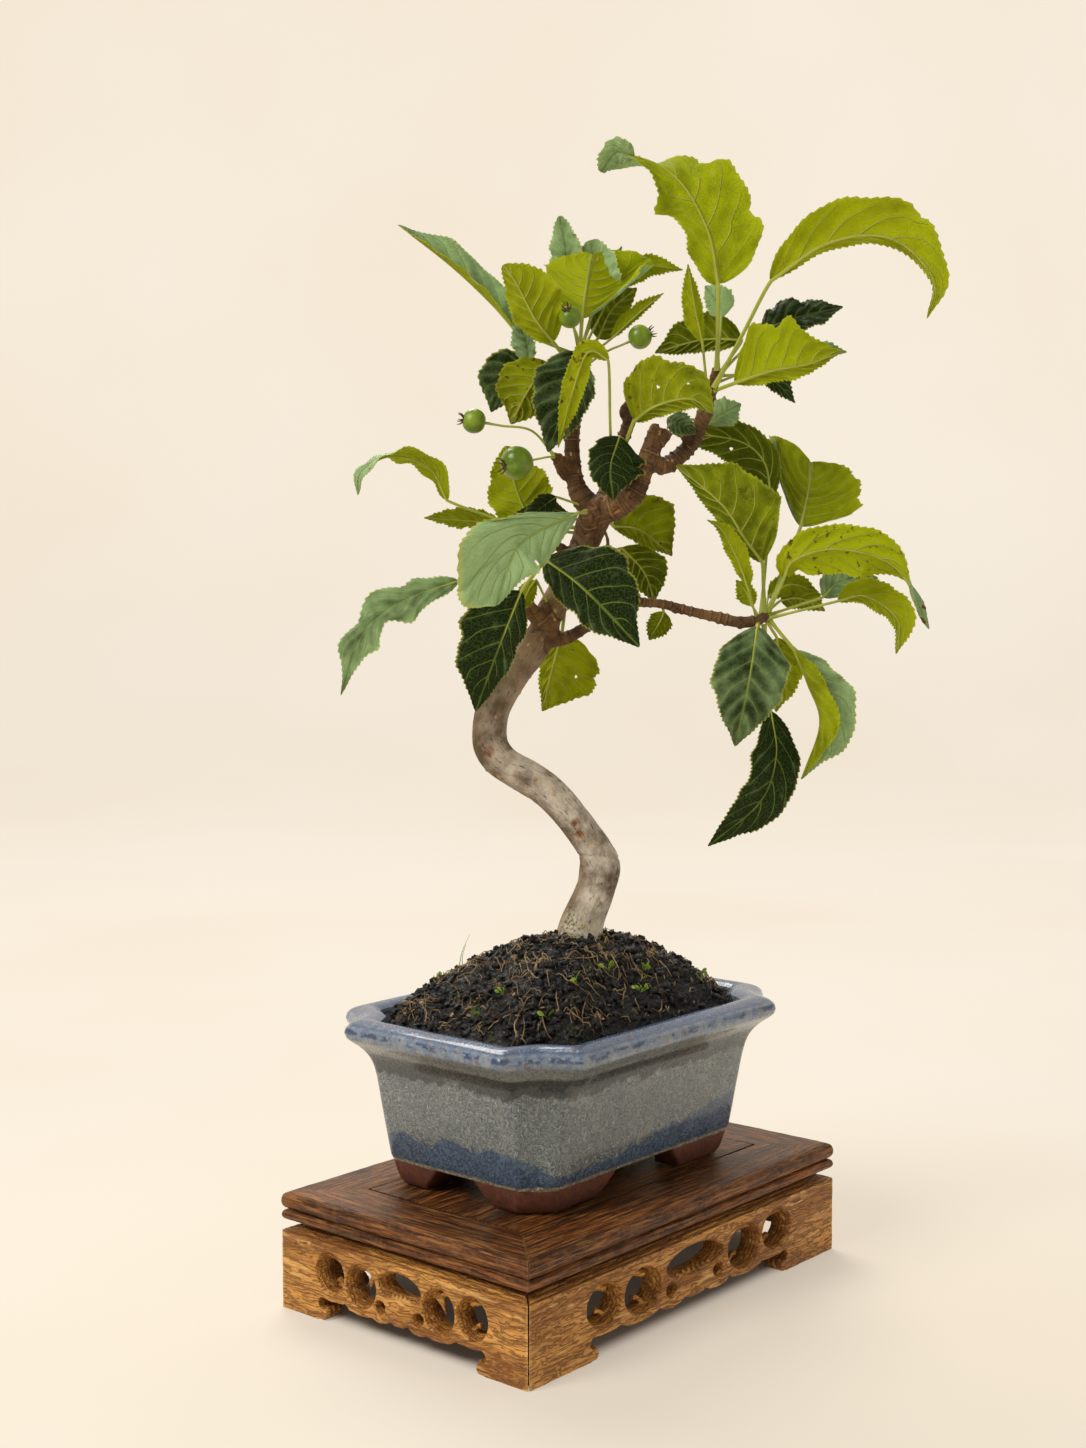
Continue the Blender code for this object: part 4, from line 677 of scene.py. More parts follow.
def stalk_material():
    """Petioles, midribs and fruit stalks."""
    settings = bpy.context.scene.bonsai_leaf
    made, graph, shader = new_material("leaf_stalk")
    if graph is None:
        return made
    place = object_place(graph)
    clouds = graph.noise(place, 120.0, 3.0)
    base = graph.mix(graph.spread(clouds, 0.35, 0.75), settings.stalk, srgb(146, 158, 58))
    base = graph.mix(graph.spread(graph.noise(place, 900.0, 2.0), 0.62, 0.8), base, srgb(150, 116, 62))
    normal = graph.bump(graph.noise(place, 2200.0, 2.0), 0.08)
    set_shader(graph, shader, Base_Color=base, Roughness=graph.spread(clouds, 0.2, 0.8, 0.42, 0.6),
               Normal=normal)
    return made


def bark_material():
    """Bark: fine fissures along the limb, lenticels, scars, lichen and darker young branches."""
    settings = bpy.context.scene.bonsai_bark
    made, graph, shader = new_material("tree_bark")
    if graph is None:
        return made
    place = object_place(graph)
    grain = graph.attribute("grain", "Vector")
    marks = graph.add("SeparateColor", {0: graph.attribute("bark_marks", "Color")}).outputs
    foot = graph.attribute("bark_foot")
    clouds = graph.noise(place, 70.0, 4.0, 0.6)
    fissures = graph.noise(grain, 900.0, 4.0, 0.65)
    speckle = graph.noise(place, 1300.0, 3.0, 0.7)
    lenticels = graph.spread(graph.cells(graph.stretched(grain, (150.0, 150.0, 420.0)), 1.0), 0.16, 0.08)
    base = graph.mix(foot, settings.old, settings.foot)
    base = graph.mix(graph.spread(clouds, 0.3, 0.75), base, srgb(92, 72, 46))
    young = graph.mix(graph.spread(clouds, 0.3, 0.7), settings.young, srgb(74, 50, 30))
    base = graph.mix(marks[2], base, young)
    base = graph.mix(graph.spread(fissures, 0.56, 0.72), base, srgb(58, 44, 28))
    base = graph.mix(graph.spread(fissures, 0.46, 0.3), base, srgb(190, 176, 156), "SOFT_LIGHT")
    base = graph.mix(graph.times(graph.spread(speckle, 0.58, 0.72), 0.6), base, srgb(60, 48, 38))
    base = graph.mix(graph.times(lenticels, 0.7), base, srgb(196, 158, 108))
    bare = graph.times(marks[0], graph.spread(graph.noise(place, 420.0, 3.0), 0.3, 0.55))
    base = graph.mix(bare, base,
                     graph.mix(graph.spread(fissures, 0.4, 0.6), settings.scar, srgb(120, 70, 36)))
    crust = graph.times(marks[1], graph.spread(graph.noise(place, 520.0, 4.0, 0.7), 0.42, 0.52))
    base = graph.mix(crust, base, settings.lichen)
    # Paler ring ridges, and dark lines in the grooves beside them that are painted shade.
    rings = graph.attribute("bark_rings")
    base = graph.mix(graph.times(graph.spread(rings, 0.4, 1.0), 0.5), base, srgb(168, 136, 98))
    base = graph.mix(graph.times(graph.spread(graph.absolute(graph.minus(rings, 0.16)), 0.14, 0.0), 0.65),
                     base, srgb(36, 22, 12))
    height = graph.times_plus(fissures, -0.9, graph.times(speckle, 0.3))
    height = graph.plus(height, graph.times(lenticels, 0.5))
    normal = graph.bump(height, 0.8)
    set_shader(graph, shader, Base_Color=base, Roughness=graph.spread(clouds, 0.2, 0.8, 0.55, 0.8),
               Normal=normal,
               Specular_IOR_Level=0.3)
    return made


def fruit_material():
    """Waxy skin with pale dots and a paler side."""
    settings = bpy.context.scene.bonsai_fruit
    made, graph, shader = new_material("crabapple_skin")
    if graph is None:
        return made
    place = object_place(graph)
    clouds = graph.noise(place, 95.0, 3.0)
    base = graph.mix(graph.spread(clouds, 0.35, 0.7), settings.skin, settings.blush)
    dots = graph.spread(graph.cells(place, 1100.0), 0.22, 0.12)
    base = graph.mix(graph.times(dots, 0.5), base, srgb(176, 186, 84))
    base = graph.mix(graph.spread(graph.noise(place, 330.0, 3.0, 0.7), 0.68, 0.76), base, srgb(120, 96, 40))
    normal = graph.bump(graph.times_plus(dots, 0.3, graph.noise(place, 700.0, 3.0)), 0.06)
    set_shader(graph, shader, Base_Color=base, Roughness=graph.spread(clouds, 0.2, 0.8, 0.26, 0.4),
               Normal=normal,
               Subsurface_Weight=0.15, Subsurface_Radius=(0.003, 0.003, 0.001), Subsurface_Scale=1.0)
    return made


def plain_material(name, first, second, scale, roughness, bump=0.2, stretch=None):
    """Two colours in clouds with a fine bump, for small pieces."""
    made, graph, shader = new_material(name)
    if graph is None:
        return made
    place = object_place(graph)
    if stretch:
        place = graph.stretched(place, stretch)
    clouds = graph.noise(place, scale, 4.0, 0.65)
    base = graph.mix(graph.spread(clouds, 0.32, 0.68), first, second)
    normal = graph.bump(graph.noise(place, scale * 5.0, 3.0, 0.65), bump)
    set_shader(graph, shader, Base_Color=base,
               Roughness=graph.spread(clouds, 0.2, 0.8, roughness - 0.1, roughness + 0.1),
               Normal=normal)
    return made


def soil_material():
    """Moist soil: dark crumbs, drier tips and a little moss."""
    settings = bpy.context.scene.bonsai_soil
    made, graph, shader = new_material("moist_soil")
    if graph is None:
        return made
    place = object_place(graph)
    clouds = graph.noise(place, 190.0, 5.0, 0.75)
    crumbs = graph.cells(place, 420.0)
    base = graph.mix(graph.spread(clouds, 0.5, 0.72), settings.soil, settings.soil_dry)
    base = graph.mix(graph.spread(crumbs, 0.2, 0.6), base, srgb(8, 5, 3))
    moss = graph.times(graph.spread(graph.noise(place, 34.0, 3.0), 0.6, 0.7),
                       graph.spread(clouds, 0.45, 0.6))
    base = graph.mix(graph.times(moss, 0.5), base, settings.moss)
    normal = graph.bump(graph.minus(clouds, crumbs), 1.8)
    set_shader(graph, shader, Base_Color=base, Roughness=graph.spread(clouds, 0.3, 0.7, 0.35, 0.9),
               Normal=normal,
               Specular_IOR_Level=0.5)
    return made


def glaze_material():
    """Crawling grey glaze, blue where it is thick, brown where it breaks, cream at its lower edge, and a
    dark band under the rim, partly dark glaze and partly painted shade.
    """
    settings = bpy.context.scene.bonsai_pot
    made, graph, shader = new_material("pot_glaze")
    if graph is None:
        return made
    place = object_place(graph)
    height = graph.math("DIVIDE", graph.add("SeparateXYZ", {0: place}).outputs[2], MM)
    clouds = graph.noise(place, 38.0, 4.0, 0.6)
    streaks = graph.noise(graph.stretched(place, (95.0, 95.0, 22.0)), 1.0, 4.0, 0.6)
    ragged = graph.noise(place, 230.0, 4.0, 0.7)
    crawl = graph.noise(place, 330.0, 1.6, 0.55, 2.4)
    pale_worms = graph.spread(graph.absolute(graph.minus(crawl, 0.54)), 0.045, 0.005)
    dark_worms = graph.spread(graph.absolute(graph.minus(crawl, 0.44)), 0.05, 0.005)
    base = graph.mix(graph.spread(clouds, 0.3, 0.7), settings.glaze, srgb(92, 102, 106))
    base = graph.mix(graph.times(graph.spread(streaks, 0.5, 0.75), 0.4), base, srgb(140, 134, 116))
    base = graph.mix(graph.times(pale_worms, 0.75), base, srgb(184, 186, 176))
    base = graph.mix(graph.times(dark_worms, 0.8), base, srgb(56, 66, 72))
    tide = graph.times_plus(graph.noise(graph.stretched(place, (24.0, 24.0, 4.0)), 1.0, 2.0), 44.0, 54.0)
    line = graph.times_plus(ragged, 9.0, tide)
    pool = graph.spread(graph.minus(line, height), -0.8, 1.2)
    pool_colour = graph.mix(graph.spread(crawl, 0.35, 0.62), settings.glaze_deep, srgb(70, 98, 128))
    base = graph.mix(graph.times(pool, 0.85), base, pool_colour)
    # A dark band under the rim's cove: partly dark pooled glaze, partly painted shade under the rim.
    ledge = graph.times_plus(ragged, -6.0, graph.times_plus(streaks, -14.0, 122.5))
    shade_and_pool_band = graph.times(graph.spread(graph.minus(height, ledge), -0.5, 0.9),
                       graph.spread(height, 123.4, 121.4))
    shade_and_pool_band = graph.times(shade_and_pool_band, graph.spread(clouds, 0.28, 0.42))
    base = graph.mix(graph.times(shade_and_pool_band, 0.88), base, srgb(50, 56, 55))
    beige = graph.times(graph.spread(height, 121.0, 124.0), graph.spread(ragged, 0.3, 0.6))
    base = graph.mix(graph.times(beige, 0.5), base, srgb(150, 148, 138))
    rim = graph.spread(graph.times_plus(ragged, 6.0, height), 130.6, 133.4)
    rim_colour = graph.mix(graph.spread(ragged, 0.35, 0.65), settings.glaze_blue, srgb(146, 154, 160))
    speckle = graph.noise(graph.stretched(place, (130.0, 130.0, 260.0)), 1.0, 3.0, 0.6)
    speckle_line = graph.spread(graph.absolute(graph.minus(height, 133.2)), 2.0, 0.6)
    speckle = graph.times(graph.spread(speckle, 0.48, 0.56), speckle_line)
    rim_colour = graph.mix(graph.times(speckle, 0.85), rim_colour, srgb(38, 58, 98))
    rim_colour = graph.mix(graph.spread(height, 135.0, 136.4), rim_colour, srgb(66, 90, 124))
    base = graph.mix(rim, base, rim_colour)
    lip = graph.times(graph.spread(graph.noise(place, 260.0, 4.0, 0.75), 0.56, 0.64),
                      graph.spread(height, 128.0, 130.0))
    base = graph.mix(graph.times(lip, 0.7), base, srgb(104, 76, 66))
    edge = graph.spread(graph.plus(height, graph.times(ragged, -3.0)), 69.2, 67.8)
    base = graph.mix(edge, base,
                     graph.mix(graph.spread(crawl, 0.4, 0.6), settings.drip, srgb(120, 112, 92)))
    clay = graph.spread(graph.plus(height, graph.times(streaks, -2.0)), 67.6, 67.0)
    clay_colour = graph.mix(graph.spread(ragged, 0.3, 0.7), settings.clay, srgb(94, 52, 38))
    base = graph.mix(clay, base, clay_colour)
    pin = graph.cells(place, 150.0)
    pinholes = graph.times(graph.spread(pin, 0.055, 0.03), graph.spread(clouds, 0.5, 0.55))
    base = graph.mix(pinholes, base, srgb(30, 26, 26))
    rough = graph.times_plus(clay, 0.35, graph.spread(crawl, 0.3, 0.7, 0.14, 0.3))
    relief = graph.times_plus(graph.minus(pale_worms, dark_worms), 0.3,
                              graph.times_plus(pinholes, -2.0, graph.times(clouds, 0.9)))
    normal = graph.bump(relief, 0.3)
    set_shader(graph, shader, Base_Color=base, Roughness=rough, Normal=normal,
               Coat_Weight=graph.times_plus(clay, -0.5, 0.5), Coat_Roughness=0.08)
    return made


def smooth_path(points, step):
    """Points about one step apart on a smooth curve through rows of x, y, z and any other values."""
    points = np.array(points, float)
    ends = np.vstack([2 * points[0] - points[1], points, 2 * points[-1] - points[-2]])
    path = []
    for before, start, end, after in zip(ends, ends[1:], ends[2:], ends[3:]):
        count = max(1, round(np.linalg.norm((end - start)[:3]) / step))
        for t in np.arange(count) / count:
            path.append(
                0.5 * (2 * start + (end - before) * t
                       + (2 * before - 5 * start + 4 * end - after) * t * t
                       + (3 * start - before - 3 * end + after) * t ** 3)
            )
    path.append(points[-1])
    return np.array(path)


def unit(vectors):
    """Vectors at length one."""
    vectors = np.asarray(vectors, float)
    return vectors / np.maximum(np.linalg.norm(vectors, axis=-1, keepdims=True), 1e-9)


def ease(value, low, high):
    """A smooth step of values from 0 at low to 1 at high."""
    share = np.clip((value - low) / (high - low), 0.0, 1.0)
    return share * share * (3 - 2 * share)


def noise_at(points, scale, seed=0.0):
    """Smooth noise from -1 to 1 at points."""
    shift = Vector((seed * 7.3, seed * 3.1, seed * 5.7))
    return np.array([noise.noise(Vector(point) * scale + shift) for point in points])


def make_active(obj):
    """Selects one object and nothing else."""
    bpy.ops.object.select_all(action="DESELECT")
    obj.select_set(True)
    bpy.context.view_layer.objects.active = obj


def add_modifier(obj, kind, **settings):
    """Adds a modifier and applies it."""
    make_active(obj)
    modifier = obj.modifiers.new(kind.title(), kind)
    for key, value in settings.items():
        setattr(modifier, key, value)
    bpy.ops.object.modifier_apply(modifier=modifier.name)


def join_into(obj, others):
    """Joins other objects into this one."""
    make_active(obj)
    for other in others:
        other.select_set(True)
    bpy.ops.object.join()
    return obj


def points_of(obj):
    """A mesh's points, in millimetres."""
    flat = np.empty(len(obj.data.vertices) * 3)
    obj.data.vertices.foreach_get("co", flat)
    return flat.reshape(-1, 3) / MM


def normals_of(obj):
    """A mesh's point normals."""
    flat = np.empty(len(obj.data.vertices) * 3)
    obj.data.vertices.foreach_get("normal", flat)
    return flat.reshape(-1, 3)


def move_points(obj, points):
    """Puts a mesh's points, in millimetres, where they belong."""
    obj.data.vertices.foreach_set("co", (points * MM).ravel())
    obj.data.update()


def store(obj, name, values, kind="FLOAT"):
    """Stores a value for each point."""
    layer = obj.data.attributes.new(name, kind, "POINT")
    field = {"FLOAT": "value", "FLOAT_VECTOR": "vector", "FLOAT_COLOR": "color"}[kind]
    layer.data.foreach_set(field, np.asarray(values, np.float32).ravel())


def shade(obj, degrees=35.0):
    """Shades smooth, but for edges sharper than this."""
    make_active(obj)
    bpy.ops.object.shade_smooth_by_angle(angle=math.radians(degrees))


def tidy_normals(obj, merge=0.0):
    """Merges doubles and turns every face outwards."""
    make_active(obj)
    bpy.ops.object.mode_set(mode="EDIT")
    bpy.ops.mesh.select_all(action="SELECT")
    if merge:
        bpy.ops.mesh.remove_doubles(threshold=merge * MM)
    bpy.ops.mesh.normals_make_consistent(inside=False)
    bpy.ops.object.mode_set(mode="OBJECT")


def settle(obj, slot, *nodes):
    """The finished piece rides on the part and stands for its CAD nodes."""
    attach(obj, "root")
    if nodes:
        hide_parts(*nodes)


def mesh_from(name, points, faces):
    """An object from points in millimetres and faces."""
    mesh = bpy.data.meshes.new(name)
    mesh.from_pydata((np.asarray(points, float) * MM).tolist(), [], [list(face) for face in faces])
    mesh.validate()
    obj = bpy.data.objects.new(name, mesh)
    bpy.context.scene.collection.objects.link(obj)
    return obj


def loft(name, rings):
    """An object that skins rings with the same number of points and closes both ends."""
    count = len(rings[0])
    faces = [list(reversed(range(count))), list(range(count * (len(rings) - 1), count * len(rings)))]
    for i in range(len(rings) - 1):
        for j in range(count):
            k = (j + 1) % count
            faces.append((i * count + j, i * count + k, (i + 1) * count + k, (i + 1) * count + j))
    return mesh_from(name, np.concatenate([np.asarray(ring) for ring in rings]), faces)


def wires(name, paths, roundness=1):
    """One mesh of round tubes along paths of x, y, z, radius, drawn as curves and converted."""
    curve = bpy.data.curves.new(name, "CURVE")
    curve.dimensions = "3D"
    curve.bevel_depth = MM
    curve.bevel_resolution = roundness
    curve.use_fill_caps = True
    for path in paths:
        path = np.asarray(path, float)
        spline = curve.splines.new("POLY")
        spline.points.add(len(path) - 1)
        spline.points.foreach_set("co", np.column_stack([path[:, :3] * MM, np.ones(len(path))]).ravel())
        spline.points.foreach_set("radius", path[:, 3])
        spline.use_smooth = True
    obj = bpy.data.objects.new(name, curve)
    bpy.context.scene.collection.objects.link(obj)
    make_active(obj)
    bpy.ops.object.convert(target="MESH")
    return bpy.context.object


# Young leaves too small for a solid of their own
YOUNG_LEAVES = {
    "young_leaf_cup_lining": dict(
        twig=(581, 350, -4), base=(594, 306, -14), mids=[(596, 276, -16)], tip=(592, 240, -18),
        half=(13, 13), turn=(20, 20, 20), fold=(20, 20), looks=(0.8, 0.95, 0.0), blunt=0.5),
    "young_leaf_cup_inner": dict(
        twig=(579, 350, -4), base=(566, 296, -16), mids=[(567, 258, -18)], tip=(560, 216, -18),
        half=(8, 9), turn=(20, 20, 20), fold=(25, 25), looks=(0.75, 0.95, 0.0), blunt=0.6),
    "young_leaf_top_tip": dict(
        twig=(640, 158, 3), base=(634, 157, 3), mids=[(616, 152, 2)], tip=(601, 172, -4),
        half=(6, 7), turn=(20, 20, 20), fold=(15, 15), looks=(0.8, 0.95, 0.0), blunt=0.6),
    "young_leaf_crown_folded": dict(
        twig=(582, 362, -4), base=(612, 338, -6), mids=[(640, 312, -8)], tip=(664, 293, -10),
        half=(3, 5), turn=(160, 160, 160), fold=(45, 45), looks=(0.6, 0.95, 0.0)),
    "young_leaf_crown_behind": dict(
        twig=(581, 354, -5), base=(612, 292, -22), mids=[(630, 274, -24), (652, 266, -24)],
        tip=(683, 270, -24),
        half=(6, 6), turn=(170, 170, 170), fold=(20, 20), looks=(0.6, 0.95, 0.0)),
    "young_leaf_crown_tip": dict(
        twig=(580, 352, -5), base=(600, 300, -26), mids=[(611, 272, -30)], tip=(622, 246, -32),
        half=(5, 5), turn=(20, 20, 20), fold=(20, 20), looks=(0.8, 0.95, 0.0)),
    "young_leaf_dark_low": dict(
        twig=(590, 530, 2), base=(566, 512, -4), mids=[(540, 508, -2)], tip=(506, 522, 2),
        half=(6, 6), turn=(40, 40, 40), fold=(20, 20), looks=(0.15, 0.5, 0.1)),
    "young_leaf_dark_fork": dict(
        twig=(584, 506, 2), base=(556, 497, 2), mids=[(538, 510, 6)], tip=(520, 528, 8),
        half=(6, 6), turn=(20, 20, 20), fold=(15, 15), looks=(0.1, 0.5, 0.1)),
    "young_leaf_under_right": dict(
        twig=(714, 384, -2), base=(744, 372, -8), mids=[(770, 378, -10)], tip=(795, 403, -10),
        half=(7, 6), turn=(30, 30, 30), fold=(20, 20), looks=(0.15, 0.5, 0.1)),
    "young_leaf_right_tip": dict(
        twig=(716, 376, -2), base=(800, 372, 4), mids=[(822, 352, 6)], tip=(847, 352, 8),
        half=(5, 5), turn=(15, 15, 15), fold=(20, 20), looks=(0.6, 0.5, 0.1)),
    "young_leaf_under_shoot": dict(
        twig=(702, 420, -2), base=(668, 418, 2), mids=[(680, 424, 6)], tip=(696, 434, 6),
        half=(6, 6), turn=(20, 20, 20), fold=(20, 20), looks=(0.45, 0.5, 0.1)),
    "young_leaf_behind_twig": dict(
        twig=(661, 604, 6), base=(664, 612, -6), mids=[(660, 622, -8)], tip=(649, 640, -8),
        half=(6, 6), turn=(170, 170, 170), fold=(15, 15), looks=(0.45, 0.45, 0.3)),
    "young_leaf_trunk_left": dict(
        twig=(552, 612, -4), base=(536, 580, 8), mids=[(528, 592, 12)], tip=(520, 614, 14),
        half=(5, 4), turn=(165, 165, 165), fold=(20, 20), looks=(0.4, 0.9, 0.2)),
    "young_leaf_spray_left": dict(
        twig=(760, 618, 10), base=(752, 606, 2), mids=[(746, 592, 0)], tip=(736, 580, -2),
        half=(5, 5), turn=(165, 165, 165), fold=(20, 20), looks=(0.5, 0.8, 0.4)),
    "young_leaf_spray_middle": dict(
        twig=(764, 617, 9), base=(768, 597, -8), mids=[(790, 584, -10)], tip=(818, 592, -12),
        half=(6, 6), turn=(165, 165, 165), fold=(20, 20), looks=(0.5, 0.75, 0.3)),
}
BLADE_COLUMNS = 22
TOOTH_SPACING = 2.1
VEIN_PAIRS = 7
VEIN_SLANT = 0.26
WIDEST_AT = 0.42
# How many waves each half's edge has along the leaf, and how deep they are as a share of its width
MARGIN_WAVES = ((1.3, 0.06), (3.3, 0.045), (6.7, 0.025))
DEFAULT_CURL = (-20.0, -20.0)
NO_SWEEP = (0.0, 0.0)


class Blade:
    """A leaf's blade as a surface over u, along its midrib, and v, from one edge at -1 to the other."""

    def __init__(self, leaf, seed):
        self.leaf = leaf
        draws = np.random.default_rng(seed)
        rib = [seen_at(*leaf["base"]), *(seen_at(*mid) for mid in leaf["mids"]), seen_at(*leaf["tip"])]
        path = smooth_path(rib, 2.0)
        steps = np.linalg.norm(np.diff(path, axis=0), axis=1)
        self.length = steps.sum()
        along = np.concatenate([[0.0], np.cumsum(steps)]) / self.length
        self.stations = np.linspace(0.0, 1.0, 121)
        self.spots = np.stack([np.interp(self.stations, along, path[:, i]) for i in range(3)], axis=1)
        gradient = np.gradient(path, axis=0)
        self.tangents = unit(np.stack([np.interp(self.stations, along, gradient[:, i]) for i in range(3)],
                                      axis=1))
        side = unit(np.cross(self.tangents, EYE - self.spots))
        up = np.cross(side, self.tangents)
        turn = np.radians(np.interp(self.stations, (0.0, 0.5, 1.0), leaf["turn"]))[:, None]
        self.across = side * np.cos(turn) + up * np.sin(turn)
        self.faces = up * np.cos(turn) - side * np.sin(turn)
        self.teeth = int(np.clip(round(self.length / TOOTH_SPACING), 10, 32))
        self.ripples = [(draws.uniform(2.2, 4.6), draws.uniform(0, 6.28), draws.uniform(0.35, 1.0))
                        for _ in range(4)]
        self.margins = draws.uniform(0, 6.28, (2, 3))
        self.size = max(leaf["half"])

    def at(self, table, u):
        """A table of vectors along the midrib, read at u."""
        return np.stack([np.interp(u, self.stations, table[:, i]) for i in range(3)], axis=1)

    def share(self, u):
        """The half width at u as a share of the widest: rounded base, drawn-out tip."""
        rise = math.log(0.5) / math.log(self.leaf.get("widest", WIDEST_AT))
        inside = np.clip(0.003 + 0.994 * u, 0.0, 1.0)
        arch = np.maximum(np.sin(math.pi * inside ** rise), 0.0)
        if self.leaf.get("blunt"):
            return arch ** self.leaf["blunt"]
        return arch ** 0.8 * (1 - 0.34 * ease(u, 0.68, 0.98))

    def points(self, u, v, fine=True):
        """Points of the middle surface."""
        leaf = self.leaf
        settings = bpy.context.scene.bonsai_leaf
        t = np.abs(v)
        first = v < 0
        pick = lambda pair: np.where(first, pair[0], pair[1])
        share = self.share(u)
        wavy = [
            sum(size * np.sin(2 * math.pi * count * u + phase) for (count, size),
                phase in zip(MARGIN_WAVES, phases))
            for phases in self.margins
        ]
        half = pick(leaf["half"]) * share * (1 + pick(wavy))
        for side, middle, width, size in leaf.get("lobes", ()):
            half = half * (1 + np.where(first == (side == 0), size,
                                        0.0) * np.exp(-((u - middle) / width) ** 2))
        bend = np.radians(pick(leaf["fold"]))
        curl = np.radians(pick(leaf.get("curl", DEFAULT_CURL)))
        curl = np.where(curl == 0, 1e-6, curl)
        out = half * (np.sin(bend + curl * t) - np.sin(bend)) / curl
        lift = half * (np.cos(bend) - np.cos(bend + curl * t)) / curl
        lift = lift + leaf.get("wave",
                               0.0) * t * t * share * np.sin(2 * math.pi * 2.5 * u + np.where(first, 0, 2))
        forward = pick(leaf.get("sweep", NO_SWEEP)) * t * t * share
        if fine:
            small = np.minimum(1.0, share * self.size / 9.0)
            cell = np.mod(VEIN_PAIRS * (u - VEIN_SLANT * t ** 1.2) + 10.0, 1.0)
            pillow = np.sin(math.pi * cell) ** 0.8 * ease(t, 0.02, 0.25) * (1 - 0.7 * ease(t, 0.7, 1.0))
            lift = lift + settings.pillow / MM * pillow * small
            saw = np.mod(u * self.teeth + 1e-4, 1.0) * 1.5
            edge = t ** 7
            tooth = settings.tooth / MM * edge * np.minimum(1.0, share * 2.2)
            out = out + tooth * (saw - 0.4)
            forward = forward + tooth * 0.6 * saw
            for k in (0, 1):
                count, phase, height = self.ripples[k]
                ripple = 1.8 * height * np.sin(2 * math.pi * count * u + phase) * t ** 2.2 * share
                lift = lift + np.where(first == (k == 0), ripple, 0.0) * min(1.0, self.size / 14)
            count, phase, height = self.ripples[2]
            lift = lift + 0.6 * height * np.sin(2 * math.pi * count * 1.7 * u + phase + 3 * v) * t * share
        spots = self.at(self.spots, u)
        across = unit(self.at(self.across, u))
        faces = unit(self.at(self.faces, u))
        tangents = unit(self.at(self.tangents, u))
        return (spots + across * (np.sign(v) * out)[:, None]
                + faces * lift[:, None] + tangents * forward[:, None])

    def normals(self, u, v):
        """Directions out of the upper side."""
        step = 0.01
        along = (self.points(np.minimum(u + step, 1.0), v, False)
                 - self.points(np.maximum(u - step, 0.0), v, False))
        aside = self.points(u, v + step, False) - self.points(u, v - step, False)
        return unit(np.cross(aside, along))


def vein_paths(blade):
    """The petiole with the midrib it runs into, then the side veins, all raised on the underside."""
    leaf = blade.leaf
    u = np.linspace(0.0, 0.9, 26)
    middle = blade.at(blade.spots, u) - blade.at(blade.faces, u) * 0.2
    radius = np.interp(u, (0.0, 0.15, 0.9), (0.9, 0.64, 0.18)) * min(1.0, 0.55 + blade.size / 40)
    twig = seen_at(*leaf["twig"])
    base = middle[0]
    stalk = smooth_path([twig, twig + (base - twig) * 0.5, base, middle[3]], 2.0)
    stalk = stalk[:-max(1, round(np.linalg.norm(middle[3] - base) / 2.0))]
    reach = np.linspace(0.0, 1.0, len(stalk))
    thick = (np.interp(reach, (0.0, 0.12, 0.3, 1.0), (1.7, 1.25, 0.94, 0.94))
             * min(1.0, 0.55 + blade.size / 40))
    paths = [np.vstack([np.column_stack([stalk, thick]), np.column_stack([middle[1:], radius[1:]])])]
    if blade.size < 7:
        return paths
    t = np.linspace(0.02, 0.86, 9)
    for k in range(1, VEIN_PAIRS):
        for sign in (-1, 1):
            along = k / VEIN_PAIRS + VEIN_SLANT * t ** 1.2
            keep = along < 0.97
            if keep.sum() < 3:
                continue
            points = (blade.points(along[keep], sign * t[keep])
                      - blade.normals(along[keep], sign * t[keep]) * 0.16)
            paths.append(np.column_stack([points, np.interp(t[keep], (0.0, 0.86), (0.24, 0.07))]))
    return paths


def cut_holes(obj, blade):
    """Cuts a leaf's holes out of its thin sheet, over a finer mesh."""
    for u, v, radius in blade.leaf.get("holes", ()):
        centre = blade.points(np.array([u]), np.array([v]))[0]
        make_active(obj)
        for width, finish in ((radius + 2.5, "subdivide"), (radius, "delete")):
            bpy.ops.object.mode_set(mode="EDIT")
            bpy.ops.mesh.select_mode(type="FACE")
            bm = bmesh.from_edit_mesh(obj.data)
            for face in bm.faces:
                offset = np.array(face.calc_center_median()) / MM - centre
                ragged = 1 + 0.9 * noise.noise(Vector(offset) * 1.1 + Vector((u * 17, v * 9, 0)))
                face.select = np.linalg.norm(offset) < width * ragged
            bmesh.update_edit_mesh(obj.data)
            if finish == "subdivide":
                bpy.ops.mesh.subdivide(number_cuts=4)
            else:
                bpy.ops.mesh.delete(type="FACE")
            bpy.ops.object.mode_set(mode="OBJECT")


def build_leaf(name, leaf, seed, node):
    """A blade bent from a grid, thickened, on its petiole and veins."""
    settings = bpy.context.scene.bonsai_leaf
    blade = Blade(leaf, seed)
    bpy.ops.object.select_all(action="DESELECT")
    columns = BLADE_COLUMNS if blade.size > 7 else 12
    bpy.ops.mesh.primitive_grid_add(x_subdivisions=columns, y_subdivisions=blade.teeth * 3, size=2.0)
    obj = bpy.context.object
    obj.name = obj.data.name = name
    grid = points_of(obj) * MM
    u, v = (grid[:, 1] + 1) / 2, grid[:, 0]
    move_points(obj, blade.points(u, v))
    upper, under, wear = leaf["looks"]
    tips = 0.5 * ease(u, 0.75, 1.0) * ease(np.abs(v), 0.4, 1.0)
    # The upper tone carries painted sheen, the under tone painted light and shade, as well as each leaf's
    # own tone.
    store(obj, "upper_tone_and_sheen", upper + 0.12 * np.abs(v))
    store(obj, "under_tone_and_light", under - 0.1 * u)
    store(obj, "wear", wear + tips * wear)
    cut_holes(obj, blade)
    obj.data.materials.append(leaf_material(True))
    obj.data.materials.append(leaf_material(False))
    add_modifier(obj, "SOLIDIFY", thickness=settings.thickness, offset=0.0, material_offset=1,
                 material_offset_rim=1)
    veins = wires(f"{name}_veins", vein_paths(blade))
    veins.data.materials.append(stalk_material())
    join_into(obj, [veins])
    shade(obj, 50.0)
    settle(obj, "leaf", *node)
    return obj


